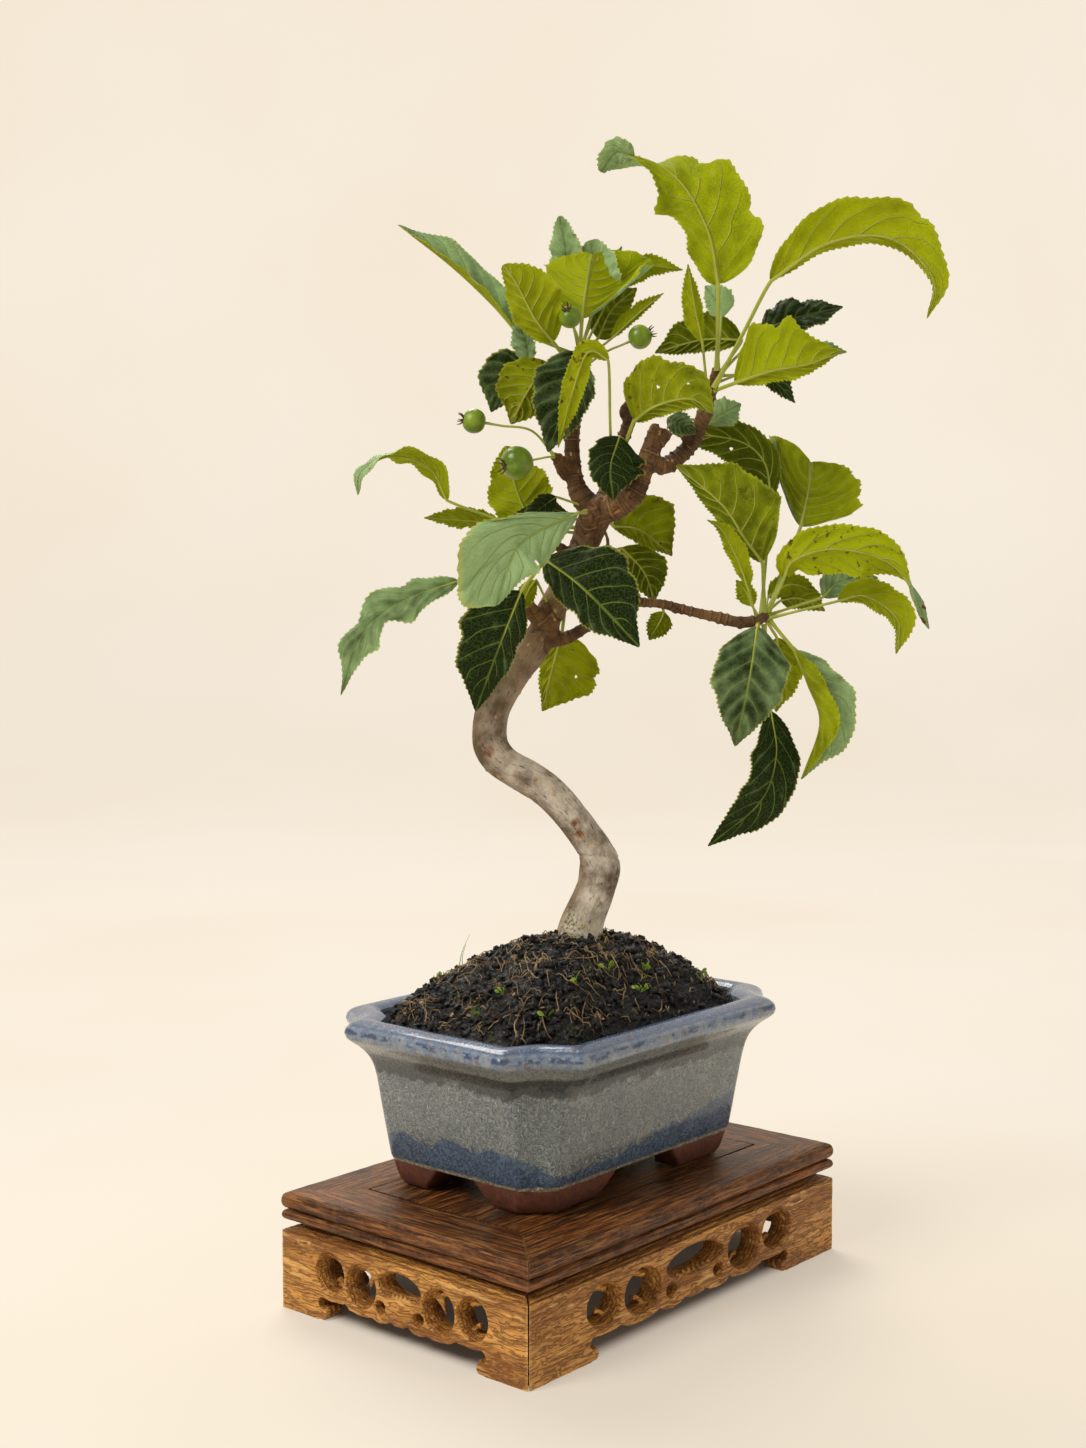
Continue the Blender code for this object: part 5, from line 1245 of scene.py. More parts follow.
def build_leaves():
    """Every leaf that has a solid, and the young ones that have none."""
    for seed, (name, leaf) in enumerate(LEAVES.items()):
        build_leaf(name.replace("leaf_", "blade_", 1), leaf, seed, [name])
    for seed, (name, leaf) in enumerate(YOUNG_LEAVES.items()):
        build_leaf(name, leaf, 100 + seed, [])


def build_fruit():
    """Each crabapple with its stalk, dimples and dry calyx."""
    for seed, (name, fruit) in enumerate(FRUIT.items()):
        centre, knee, twig = (seen_at(*fruit[key]) for key in ("centre", "knee", "twig"))
        radius = fruit["radius"]
        heading = unit(centre - knee)
        bpy.ops.object.select_all(action="DESELECT")
        bpy.ops.mesh.primitive_uv_sphere_add(segments=40, ring_count=28, radius=1.0)
        obj = bpy.context.object
        obj.name = obj.data.name = name.replace("fruit_", "crabapple_", 1)
        ball = points_of(obj) * MM
        reach = np.linalg.norm(ball[:, :2], axis=1)
        height = ball[:, 2]
        dent = (0.34 * np.exp(-(reach / 0.2) ** 2) * (height < 0)
                + 0.2 * np.exp(-(reach / 0.26) ** 2) * (height > 0))
        height = np.sign(height) * (np.abs(height) - dent) * 0.97
        ribs = 1 + 0.018 * np.cos(5 * np.arctan2(ball[:, 1], ball[:, 0])) * ease(height, -0.2, 0.8)
        side = unit(np.cross(heading, [0.2, 0.3, 0.9]))
        other = np.cross(heading, side)
        shape = (side * (ball[:, :1] * ribs[:, None]) + other * (ball[:, 1:2] * ribs[:, None])
                 + heading * height[:, None])
        shape = shape * (1 + 0.012 * noise_at(shape, 2.2, seed))[:, None]
        move_points(obj, centre + shape * radius)
        obj.data.materials.append(fruit_material())
        dip = centre - heading * radius * 0.66
        stalk = smooth_path([twig, knee, knee + (dip - knee) * 0.6, dip], 1.5)
        wide = np.interp(np.linspace(0, 1, len(stalk)), (0, 0.1, 0.3, 0.85, 1), (1.2, 0.8, 0.55, 0.55, 0.8))
        stem = wires(f"{name}_stem", [np.column_stack([stalk, wide])], 3)
        stem.data.materials.append(stalk_material())
        crown = centre + heading * radius * 0.74
        sepals = []
        for turn in range(5):
            angle = math.radians(72 * turn + 20 * seed)
            out = side * math.cos(angle) + other * math.sin(angle)
            sepal = smooth_path([
                crown, crown + (out * 0.2 + heading * 0.14) * radius,
                crown + (out * 0.42 + heading * 0.34) * radius,
                crown + (out * 0.5 + heading * 0.6) * radius], 0.4)
            sepals.append(np.column_stack([sepal, np.linspace(0.7, 0.16, len(sepal))]))
        calyx = wires(f"{name}_calyx", sepals, 1)
        calyx.data.materials.append(plain_material(
            "dry_calyx", bpy.context.scene.bonsai_fruit.calyx, srgb(60, 40, 26), 700.0, 0.8, 0.1))
        join_into(obj, [stem, calyx])
        shade(obj, 50.0)
        settle(obj, "fruit_skin", name)


ROOT_START = (576, 954, 0)
ROOT_TURNS = (22.0, 96.0, 171.0, 243.0, 317.0)
ROOT_REACH = 24.0
ROOT_DROP = 22.0
# Short stubs, spurs and thin dead twigs that the solid leaves out
TWIGLETS = [
    [(566, 478, -4, 2.4), (560, 470, 0, 2.1), (554, 456, 4, 1.6)],
    [(600, 560, -2, 1.8), (608, 545, 6, 1.2), (604, 528, 10, 0.9)],
    [(650, 446, 6, 3.4), (654, 436, 6, 2.9), (655, 423, 6, 1.7)],
    [(653, 446, 6, 3.2), (663, 441, 6, 2.5), (670, 432, 6, 1.9)],
    [(630, 425, -11, 2.2), (622, 412, -11, 1.8), (628, 402, -11, 1.5)],
    [(534, 618, -3, 3.0), (526, 610, 3, 2.2), (524, 602, 5, 1.6)],
    [(700, 424, -2, 2.6), (708, 418, 2, 2.0), (712, 410, 4, 1.4)],
    [(690, 442, -2, 2.4), (682, 436, 2, 1.7)],
    [(735, 621, 10, 2.0), (741, 628, 13, 1.6)],
    [(640, 603, 4, 1.8), (638, 597, 7, 1.4)],
    [(672, 606, 6, 1.8), (676, 613, 9, 1.4)],
]
# Marks on the bark: (pixel x, pixel y, radius, height, dish, scar, lichen)
BARK_MARKS = [
    (487, 752, 5.0, 0.9, 1.3, 0.5, 0.0), (577, 826, 3.0, 0.5, 0.9, 1.0, 0.0),
    (578, 838, 3.2, 0.5, 1.0, 1.0, 0.0),
    (581, 866, 2.2, 1.0, 0.0, 0.3, 0.0), (584, 874, 1.8, 0.8, 0.0, 0.3, 0.0),
    (602, 496, 3.4, 1.0, 1.6, 0.7, 0.0),
    (616, 512, 3.4, 1.0, 1.6, 0.7, 0.0), (626, 497, 3.0, 0.9, 1.4, 0.7, 0.0),
    (590, 504, 3.0, 0.9, 1.2, 0.6, 0.0),
    (570, 925, 7.5, 0.35, 0.0, 0.0, 1.0), (584, 934, 5.5, 0.3, 0.0, 0.0, 1.0),
    (600, 928, 4.0, 0.3, 0.0, 0.0, 0.8),
    (562, 938, 6.0, 0.3, 0.0, 0.0, 1.0), (514, 770, 1.3, 0.5, 0.0, 0.6, 0.0),
    (497, 741, 1.2, 0.4, 0.0, 0.6, 0.0),
    (540, 782, 2.2, 0.5, 0.7, 0.3, 0.0), (556, 795, 1.4, 0.4, 0.0, 0.7, 0.0),
    (568, 813, 1.2, 0.4, 0.0, 0.5, 0.0),
    (503, 712, 1.3, 0.4, 0.0, 0.5, 0.0), (522, 668, 1.3, 0.4, 0.0, 0.5, 0.0),
    (541, 640, 2.6, 0.7, 0.8, 0.4, 0.0),
    (596, 885, 1.4, 0.5, 0.0, 0.4, 0.0), (604, 905, 1.6, 0.5, 0.6, 0.4, 0.0),
    (588, 846, 1.6, 0.6, 0.0, 0.6, 0.0),
    (582, 536, 2.6, 0.7, 0.9, 0.5, 0.0), (590, 560, 1.8, 0.6, 0.0, 0.4, 0.0),
]
SCATTERED_MARKS = 46


def limb_rows(limb, step):
    """A smooth path of x, y, z, radius from a limb's photograph points."""
    return smooth_path([(*seen_at(px, py, near), radius) for px, py, near, radius in limb], step)


def root_rows(turn, step):
    """A root that leaves the trunk's foot and dives into the soil."""
    foot = seen_at(*ROOT_START)
    heading = np.array([math.cos(math.radians(turn)), math.sin(math.radians(turn)), 0.0])
    drop = np.array([0.0, 0.0, ROOT_DROP])
    return smooth_path(
        [(*foot, 6.0), (*(foot + heading * ROOT_REACH * 0.5 - drop * 0.4), 4.2),
         (*(foot + heading * ROOT_REACH - drop), 2.2)], step)


def limb_frames(rows):
    """Each row's direction and the two directions across it, carried along without twisting."""
    tangents = unit(np.gradient(rows[:, :3], axis=0))
    sides = []
    side = np.cross(tangents[0], [0.31, 0.67, 0.67])
    for tangent in tangents:
        side = unit(side - tangent * np.dot(side, tangent))
        sides.append(side)
    sides = np.array(sides)
    return tangents, sides, np.cross(tangents, sides)


def nearest_rows(points, rows):
    """For each point, the index of the row nearest to it."""
    tree = KDTree(len(rows))
    for index, row in enumerate(rows):
        tree.insert(Vector(row[:3]), index)
    tree.balance()
    return np.array([tree.find(Vector(point))[1] for point in points])


def build_tree():
    """Trunk, branches, twigs and roots fused into one skin, with rings, scars, knots and fissures."""
    settings = bpy.context.scene.bonsai_bark
    step = 2.0
    limbs = [limb_rows(TRUNK, step)] + [limb_rows(limb, step) for limb in LIMBS.values()]
    limbs += [limb_rows(limb, step) for limb in TWIGLETS]
    wood = len(limbs)
    limbs += [root_rows(turn, step) for turn in ROOT_TURNS]
    obj = wires("bonsai_tree", limbs, 7)
    tidy_normals(obj)
    add_modifier(obj, "REMESH", mode="VOXEL", voxel_size=settings.voxel)
    add_modifier(obj, "SMOOTH", factor=0.5, iterations=5)
    points = points_of(obj)
    normals = normals_of(obj)
    everything = np.vstack(limbs)
    owner = np.concatenate([np.full(len(rows), i) for i, rows in enumerate(limbs)])
    reach = np.concatenate([np.arange(len(rows)) * step for rows in limbs])
    frames = [limb_frames(rows) for rows in limbs]
    tangents, sides, others = (np.vstack([each[i] for each in frames]) for i in range(3))
    index = nearest_rows(points, everything)
    offset = points - everything[index, :3]
    along = reach[index] + (offset * tangents[index]).sum(axis=1)
    grain = np.column_stack([(offset * sides[index]).sum(axis=1), (offset * others[index]).sum(axis=1),
                             along * 0.22])
    limb = owner[index]
    trunk = limb == 0
    shift = grain + 37.0 * limb[:, None]
    radius = everything[index, 3]
    height = 0.7 * noise_at(shift, 0.16) * np.minimum(1.0, radius / 7)
    height += 0.32 * noise_at(shift, 0.42, 1.0) * np.minimum(1.0, radius / 5)
    height -= 0.34 * ease(np.abs(noise_at(shift * [1, 1, 0.6], 0.6, 2.0)), 0.12,
                          0.0) * np.minimum(1.0, radius / 7)
    draws = np.random.default_rng(7)
    rings = np.zeros(len(points))
    for number in range(1, wood):
        here = limb == number
        for place in np.cumsum(draws.uniform(2.2, 6.0, 30)):
            ring = np.exp(-((along - place) / 0.55) ** 2)
            rings += np.where(here, ring * draws.uniform(0.3, 1.0), 0.0)
    height += (0.95 * (np.minimum(rings, 1.2) - 0.3) * (limb > 0) * (limb < wood)
               * np.minimum(1.0, radius / 4))
    young = np.where(trunk, 0.05 + 0.6 * ease(points[:, 2], 330.0, 420.0), 1.0)
    young = np.where(limb >= wood, 0.0, young)
    scar = np.zeros(len(points))
    lichen = np.zeros(len(points))
    pixels = pixels_of(points)
    depth = (points - EYE) @ LOOK
    facing = (normals * (EYE - points)).sum(axis=1) > 0
    marks = []
    for px, py, size, rise, dish, bare, crust in BARK_MARKS:
        gap = np.hypot(pixels[:, 0] - px, pixels[:, 1] - py)
        near = np.where(facing & (gap < gap[facing].min() + 3.0), depth, np.inf)
        marks.append((points[np.argmin(near)], size, rise, dish, bare, crust))
    rows = limbs[0]
    for _ in range(SCATTERED_MARKS):
        row = draws.integers(6, len(rows) - 4)
        angle = draws.uniform(0, 2 * math.pi)
        outward = frames[0][1][row] * math.cos(angle) + frames[0][2][row] * math.sin(angle)
        size = draws.uniform(0.8, 1.6) if draws.random() < 0.85 else draws.uniform(2.4, 4.2)
        if size > 2 and np.dot(outward, EYE - rows[row, :3]) > 0:
            size = 1.4
        marks.append((rows[row, :3] + outward * rows[row, 3], size, 0.45, 0.6 if size > 2 else 0.0, 0.45,
                      0.0))
    for centre, size, rise, dish, bare, crust in marks:
        gap = np.linalg.norm(points - centre, axis=1) / size
        height += rise * np.exp(-((gap - 0.75) / 0.38) ** 2) if dish else rise * np.exp(-(gap / 0.7) ** 2)
        height -= dish * np.exp(-(gap / 0.5) ** 2)
        scar = np.maximum(scar, bare * np.exp(-(gap / 0.75) ** 4))
        lichen = np.maximum(lichen, crust * np.exp(-(gap / 1.0) ** 2))
    lichen = np.maximum(lichen,
                        0.75 * np.where(trunk | (limb >= wood), 1 - ease(points[:, 2], 166.0, 184.0), 0.0))
    crack = np.exp(-((pixels[:, 1] - 857.0 - 0.06 * (pixels[:, 0] - 600)) / 1.6) ** 2) * trunk
    height -= 0.5 * crack
    move_points(obj, points + normals * height[:, None])
    store(obj, "grain", grain * MM, "FLOAT_VECTOR")
    weather_side = ease(normals @ (ACROSS - AWAY * 0.4), -0.75, 0.15)
    store(obj, "bark_foot", (1 - ease(points[:, 2], 215.0, 330.0)) * (0.2 + 0.8 * weather_side))
    marks_colour = np.column_stack([scar, lichen, young, np.ones(len(points))])
    store(obj, "bark_marks", marks_colour, "FLOAT_COLOR")
    store(obj, "bark_rings", np.clip(rings, 0, 1))
    obj.data.materials.clear()
    obj.data.materials.append(bark_material())
    shade(obj, 60.0)
    settle(obj, "bark", "tree")


# The pot's wall as (half length, half width, corner cut, height), up the outside and down the inside
POT_BASE = 68.5
POT_FLOOR = 8.0
POT_OUTSIDE = [
    (76.0, 48.5, 10.5, POT_BASE - 0.4), (79.0, 51.5, 11.5, POT_BASE), (80.2, 52.7, 12.0, 71.0),
    (84.0, 56.8, 15.0, 92.0),
    (87.5, 60.5, 18.0, 110.0), (89.6, 62.9, 19.5, 117.0), (92.0, 65.4, 20.8, 121.2),
    (95.4, 68.9, 22.8, 124.8),
    (98.8, 72.3, 24.4, 127.4), (101.2, 74.7, 25.6, 129.6), (102.0, 75.5, 26.0, 132.0),
    (101.5, 75.0, 26.0, 134.2),
    (99.4, 72.9, 25.3, 136.2), (96.0, 69.5, 24.2, 137.5), (93.5, 67.0, 23.2, 138.0),
]
POT_INSIDE = [
    (91.0, 64.5, 22.0, 137.7), (87.4, 60.9, 20.7, 135.8), (85.2, 58.7, 19.5, 129.0),
    (82.0, 55.0, 17.0, 110.0),
    (78.0, 50.5, 14.0, 90.0), (74.5, 47.0, 11.5, POT_BASE + POT_FLOOR + 2.0),
    (71.0, 43.5, 10.0, POT_BASE + POT_FLOOR),
]
CUT_DENT = 0.12
FOOT_WALL = 15.0
FOOT_STEPS = [
    (5.5, 32.0, 22.0, 56.1), (3.4, 29.5, 19.0, 59.5), (2.4, 26.0, 15.5, 63.0), (1.4, 22.0, 12.0, 67.5),
    (1.0, 21.0, 11.0, 71.0),
]
DRAIN_X = 34.0
DRAIN_RADIUS = 7.0


def pot_outline(half_x, half_y, cut, z, parts=9, soft=3.0):
    """A rectangle's outline with cut corners, dented a little, its angles rounded."""
    dent = cut * CUT_DENT
    corners = []
    for sign_x, sign_y in ((1, 1), (-1, 1), (-1, -1), (1, -1)):
        corner = [(half_x, half_y - cut), (half_x - cut / 2 - dent, half_y - cut / 2 - dent),
                  (half_x - cut, half_y)]
        if sign_x * sign_y < 0:
            corner.reverse()
        corners += [np.array([sign_x * x, sign_y * y]) for x, y in corner]
    ring = []
    count = len(corners)
    for i, corner in enumerate(corners):
        before = corners[i - 1] - corner
        after = corners[(i + 1) % count] - corner
        start = corner + unit(before) * min(soft, np.linalg.norm(before) * 0.45)
        end = corner + unit(after) * min(soft, np.linalg.norm(after) * 0.45)
        for t in (0.0, 0.25, 0.5, 0.75, 1.0):
            ring.append(start * (1 - t) ** 2 + corner * 2 * t * (1 - t) + end * t * t)
        following = corners[(i + 1) % count]
        back = -after
        last = following + unit(back) * min(soft, np.linalg.norm(back) * 0.45)
        for t in np.linspace(0.0, 1.0, parts + 2)[1:-1]:
            ring.append(end * (1 - t) + last * t)
    return np.array([POT_CENTRE + np.array([x, y, z]) for x, y in ring])


def cut_with(obj, cutter, operation="DIFFERENCE"):
    """Cuts or fuses a mesh with another, which is then removed."""
    add_modifier(obj, "BOOLEAN", operation=operation, solver="EXACT", object=cutter)
    bpy.data.objects.remove(cutter)


def upright_cylinder(name, radius, low, high, centre, sides=40):
    """A cylinder between two heights, in millimetres."""
    bpy.ops.object.select_all(action="DESELECT")
    middle = Vector((centre[0] * MM, centre[1] * MM, (low + high) / 2 * MM))
    bpy.ops.mesh.primitive_cylinder_add(vertices=sides, radius=radius * MM, depth=(high - low) * MM,
                                        location=middle)
    obj = bpy.context.object
    obj.name = name
    bpy.ops.object.transform_apply(location=True, rotation=True, scale=True)
    return obj


def build_pot():
    """The thrown and pressed pot: a smooth wall, a rolled rim, feet and drain holes."""
    rows = np.vstack([smooth_path(POT_OUTSIDE, 1.6)[:, [0, 1, 2, 3]], smooth_path(POT_INSIDE, 2.4)])
    pot = loft("glazed_pot", [pot_outline(*row) for row in rows])
    tidy_normals(pot)
    for sign_x in (-1, 1):
        for sign_y in (-1, 1):
            rings = []
            for inset, end_x, end_y, z in FOOT_STEPS:
                far_x, far_y, cut = 80.0 - inset, 52.5 - inset, 12.0
                plan = [
                    (end_x, far_y), (far_x - cut, far_y), (far_x, far_y - cut), (far_x, end_y),
                    (far_x - FOOT_WALL, end_y), (far_x - FOOT_WALL, far_y - FOOT_WALL),
                    (end_x, far_y - FOOT_WALL),
                ]
                rings.append([POT_CENTRE + np.array([sign_x * x, sign_y * y, z]) for x, y in plan])
            foot = loft(f"foot_{sign_x}_{sign_y}", rings)
            tidy_normals(foot)
            add_modifier(foot, "BEVEL", width=1.3 * MM, segments=3, limit_method="ANGLE",
                         angle_limit=math.radians(35))
            cut_with(pot, foot, "UNION")
    for sign in (-1, 1):
        centre = POT_CENTRE + np.array([sign * DRAIN_X, 0.0, 0.0])
        cut_with(pot, upright_cylinder("drain", DRAIN_RADIUS, POT_BASE - 5, POT_BASE + POT_FLOOR + 5,
                                       centre))
    points = points_of(pot)
    wobble = 0.28 * noise_at(points, 0.035) + 0.1 * noise_at(points, 0.13, 3.0)
    move_points(pot, points + normals_of(pot) * (wobble * ease(points[:, 2], 60.0, 75.0))[:, None])
    pot.data.materials.append(glaze_material())
    shade(pot, 32.0)
    settle(pot, "glaze", "pot")


SOIL_EDGE = 132.0
SOIL_PEAK = 172.0
MOUND_FULLNESS = 0.43


def soil_place(share, turn):
    """A point of the smooth mound: share of the way out from its peak, and a turn round it."""
    ring = SOIL_RING
    place = (turn % 1.0) * len(ring)
    low = int(place) % len(ring)
    edge = ring[low] + (ring[(low + 1) % len(ring)] - ring[low]) * (place - int(place))
    peak = TRUNK_FOOT - POT_CENTRE
    height = SOIL_EDGE + (SOIL_PEAK - SOIL_EDGE) * (0.5 + 0.5 * math.cos(math.pi * share)) ** MOUND_FULLNESS
    spot = POT_CENTRE + (edge - POT_CENTRE) * share + peak * (1 - share)
    return np.array([spot[0], spot[1], height])


SOIL_RING = pot_outline(84.2, 57.8, 19.5, 0.0, 11, 6.0)


def rough_soil(points):
    """How far the soil's clods and crumbs stand out at points."""
    crumb = bpy.context.scene.bonsai_soil.crumb / MM
    clods = noise_at(points, 0.14, 4.0)
    crumbs = np.array([noise.voronoi(Vector(point) * 0.34)[0][0] for point in points])
    return crumb * (0.7 * clods + 1.1 * (0.42 - crumbs) + 0.45 * noise_at(points, 0.6, 5.0))


def build_soil():
    """The root ball: a lumpy mound over the shape of the pot's inside."""
    around, rings = 260, []
    for half_x, half_y, cut, z in ((70.0, 42.5, 9.5, 76.8), (73.6, 46.1, 11.0, 78.2),
                                   (77.4, 49.9, 14.0, 90.0),
                                   (81.4, 54.4, 17.0, 110.0), (84.2, 57.8, 19.5, 126.0)):
        outline = pot_outline(half_x, half_y, cut, z, 11, 6.0)
        places = np.arange(around) / around * len(outline)
        low = places.astype(int)
        part = (places - low)[:, None]
        rings.append(outline[low] * (1 - part) + outline[(low + 1) % len(outline)] * part)
    smooth = len(rings)
    for share in np.linspace(1.0, 0.02, 66):
        rings.append(np.array([soil_place(share, turn / around) for turn in range(around)]))
    soil = loft("soil_mound", rings)
    tidy_normals(soil)
    points = points_of(soil)
    top = np.arange(len(points)) >= smooth * around
    rise = np.zeros(len(points))
    rise[top] = rough_soil(points[top])
    share = np.repeat(np.concatenate([np.zeros(smooth), np.linspace(0.0, 1.0, 66)]), around)
    rise *= ease(share, -0.02, 0.1)
    move_points(soil, points + normals_of(soil) * rise[:, None])
    soil.data.materials.append(soil_material())
    shade(soil, 40.0)
    settle(soil, "soil", "soil")


def soil_surface(share, turn):
    """A point on the lumpy soil."""
    spot = soil_place(share, turn)
    return spot + np.array([0.0, 0.0, rough_soil([spot])[0]])


def soil_at_pixel(px, py):
    """The turn and share of the soil's point seen nearest a pixel of the photograph."""
    best = None
    for share in np.linspace(0.15, 0.98, 40):
        for turn in np.linspace(0, 1, 90):
            spot = soil_place(share, turn)
            if np.dot(spot - TRUNK_FOOT, AWAY) > 12:
                continue
            gap = np.linalg.norm(pixels_of(spot[None])[0] - (px, py))
            if best is None or gap < best[0]:
                best = (gap, share, turn)
    return best[1], best[2]


def scattered_spot(draws):
    """A point anywhere on the lumpy soil."""
    while True:
        spot = POT_CENTRE + np.array([draws.uniform(-82, 82), draws.uniform(-56, 56), 0.0])
        if mound_share(spot) < 0.97:
            spot[2] = soil_height_at(spot)
            return spot


# How many of each lie on the soil
SOIL_CRUMBS = 1500
WOOD_CHIPS = 120
ROOT_FIBRES = 520


def scattered_lumps(name, count, sizes, seed, flat=0.7):
    """Many small angular lumps on the soil, as one mesh."""
    draws = np.random.default_rng(seed)
    bpy.ops.object.select_all(action="DESELECT")
    bpy.ops.mesh.primitive_ico_sphere_add(subdivisions=1, radius=1.0)
    first = bpy.context.object
    shape = points_of(first) * MM
    faces = [tuple(polygon.vertices) for polygon in first.data.polygons]
    bpy.data.objects.remove(first)
    points, all_faces = [], []
    for _ in range(count):
        spot = scattered_spot(draws)
        size = draws.uniform(*sizes)
        turn = Matrix.Rotation(draws.uniform(0, 6.28), 3, unit(draws.normal(size=3)))
        stretch = np.array([1.0, draws.uniform(0.5, 1.0), draws.uniform(flat * 0.55, flat)])
        lump = shape * stretch * draws.uniform(0.8, 1.2, (len(shape), 1)) * size
        lump = lump @ np.array(turn).T
        all_faces += [tuple(v + len(points) * len(shape) for v in face) for face in faces]
        points.append(lump + spot + np.array([0.0, 0.0, size * 0.1]))
    return mesh_from(name, np.vstack(points), all_faces)


def build_litter():
    """What lies on the soil: crumbs, chips, root fibres, moss and sprouts."""
    settings = bpy.context.scene.bonsai_soil
    crumbs = scattered_lumps("soil_crumbs", SOIL_CRUMBS, (0.7, 3.2), 11)
    crumbs.data.materials.append(soil_material())
    shade(crumbs, 20.0)
    settle(crumbs, "soil")
    chips = scattered_lumps("wood_chips", WOOD_CHIPS, (0.9, 2.8), 12, 0.3)
    chips.data.materials.append(plain_material("chips", settings.chip, srgb(186, 156, 112), 90.0, 0.8, 0.2))
    shade(chips, 20.0)
    settle(chips, "soil")
    draws = np.random.default_rng(13)
    fibres = []
    for number in range(ROOT_FIBRES):
        heading = draws.uniform(0, 6.28)
        bend = draws.normal(0, 0.14)
        spot = scattered_spot(draws)
        reach = draws.uniform(4, 24) if number % 3 else draws.uniform(3, 8)
        path = []
        count = 9
        for i in range(count):
            t = i / (count - 1)
            path.append(spot + np.array([0.0, 0.0, 0.4 + draws.uniform(0.4, 2.2) * math.sin(math.pi * t)]))
            heading += bend + draws.normal(0, 0.16)
            move = np.array([math.cos(heading), math.sin(heading), 0.0]) * reach / count
            spot = spot + move
            if mound_share(spot) > 0.97:
                break
            spot[2] = soil_height_at(spot)
        if len(path) < 4:
            continue
        path = smooth_path(path, 1.8)
        thick = draws.uniform(0.14, 0.34)
        fibres.append(np.column_stack([
            path, thick * np.interp(np.linspace(0, 1, len(path)), (0, 0.3, 1), (0.8, 1, 0.35))]))
    roots = wires("root_fibres", fibres, 0)
    roots.data.materials.append(plain_material(
        "fibres", settings.fibre, srgb(104, 78, 50), 90.0, 0.75, 0.1))
    shade(roots, 60.0)
    settle(roots, "soil")
    moss_and_sprouts(draws)


def mound_share(spot):
    """How far out from the mound's peak a point lies, 1 at its edge."""
    offset = spot - POT_CENTRE
    peak = TRUNK_FOOT - POT_CENTRE
    share = 0.5
    for _ in range(6):
        aside, forth = np.abs(offset - peak * (1 - share))[:2]
        share = max(aside / 84.2, forth / 57.8, (aside + forth) / 122.5)
    return share


def soil_height_at(spot):
    """The lumpy soil's height under a point."""
    share = min(1.0, mound_share(spot))
    height = SOIL_EDGE + (SOIL_PEAK - SOIL_EDGE) * (0.5 + 0.5 * math.cos(math.pi * share)) ** MOUND_FULLNESS
    place = np.array([spot[0], spot[1], height])
    return height + rough_soil([place])[0]


def moss_and_sprouts(draws):
    """Moss in low tufts on the left of the mound, small sprouts and a blade of grass."""
    settings = bpy.context.scene.bonsai_soil
    stems, blades = [], []
    for px, py, leaves in ((603, 972, 5), (650, 966, 4), (647, 989, 6), (503, 996, 4), (440, 970, 3),
                           (548, 1020, 3),
                           (700, 985, 3), (585, 985, 3)):
        share, turn = soil_at_pixel(px, py)
        foot = soil_surface(share, turn)
        for _ in range(leaves):
            lean = unit(np.array([draws.normal(), draws.normal(), 1.3]))
            tip = foot + lean * draws.uniform(2.0, 4.6)
            stem = smooth_path([foot, (foot + tip) / 2 + draws.normal(0, 0.3, 3), tip], 0.8)
            stems.append(np.column_stack([stem, np.full(len(stem), 0.16)]))
            blades.append((tip, lean, draws.uniform(1.0, 1.9)))
    for px, py, top in ((457, 962, (470, 934)), (462, 962, (466, 944))):
        share, turn = soil_at_pixel(px, py)
        foot = soil_surface(share, turn)
        near = np.dot(TRUNK_FOOT - foot, AWAY)
        tip = seen_at(*top, near)
        path = smooth_path([foot, foot + (tip - foot) * 0.5 + ACROSS * -1.0, tip], 1.0)
        stems.append(np.column_stack([path, np.linspace(0.22, 0.06, len(path))]))
    sprouts = wires("sprouts", stems, 0)
    points, faces = [], []
    for tip, lean, size in blades:
        side = unit(np.cross(lean, [0.1, 0.2, 0.9]))
        up = np.cross(side, lean)
        start = len(points)
        for along, wide, lift in ((-0.2, 0.0, 0.0), (0.3, 0.6, 0.1), (1.0, 0.85, 0.25), (1.7, 0.5, 0.2),
                                  (2.0, 0.0, 0.1)):
            for sign in (-1, 0, 1):
                points.append(tip + (unit(lean + side * 0.8) * along + up * (sign * wide) + lean
                                     * (lift * abs(sign))) * size)
        for i in range(4):
            for j in (0, 1):
                a = start + i * 3 + j
                faces.append((a, a + 1, a + 4, a + 3))
    leaves = mesh_from("sprout_leaves", points, faces)
    add_modifier(leaves, "SOLIDIFY", thickness=0.22 * MM, offset=0.0)
    add_modifier(leaves, "SUBSURF", levels=1, render_levels=1)
    join_into(sprouts, [leaves])
    sprouts.data.materials.append(plain_material(
        "sprout_green", settings.moss, srgb(150, 178, 52), 500.0, 0.55, 0.08))
    shade(sprouts, 60.0)
    settle(sprouts, "leaf")
    tufts = []
    for px, py, spread, count in ((428, 962, 9, 60), (440, 975, 8, 40), (468, 948, 7, 26),
                                  (455, 1000, 6, 18), (640, 975, 6, 18),
                                  (600, 975, 5, 14)):
        share, turn = soil_at_pixel(px, py)
        centre = soil_place(share, turn)
        for _ in range(count):
            spot = centre + np.array([*draws.normal(0, spread * 0.42, 2), 0.0])
            spot[2] = soil_height_at(spot) - 0.3
            tip = spot + unit(np.array([draws.normal(0, 0.6), draws.normal(0, 0.6),
                                        1.0])) * draws.uniform(0.9, 2.1)
            tufts.append(np.array([(*spot, 0.34), (*((spot + tip) / 2), 0.3), (*tip, 0.07)]))
    moss = wires("moss_tufts", tufts, 0)
    moss.data.materials.append(plain_material(
        "moss", srgb(92, 112, 30), srgb(140, 150, 48), 420.0, 0.85, 0.1))
    settle(moss, "soil")


RAIL_BOTTOM = 41.3
PANEL_THICKNESS = 10.0
GAP = 0.3
TONGUE = 5.0
TONGUE_HEIGHT = 3.4
TONGUE_BOTTOM = TOP_HEIGHT - PANEL_THICKNESS + 3.0
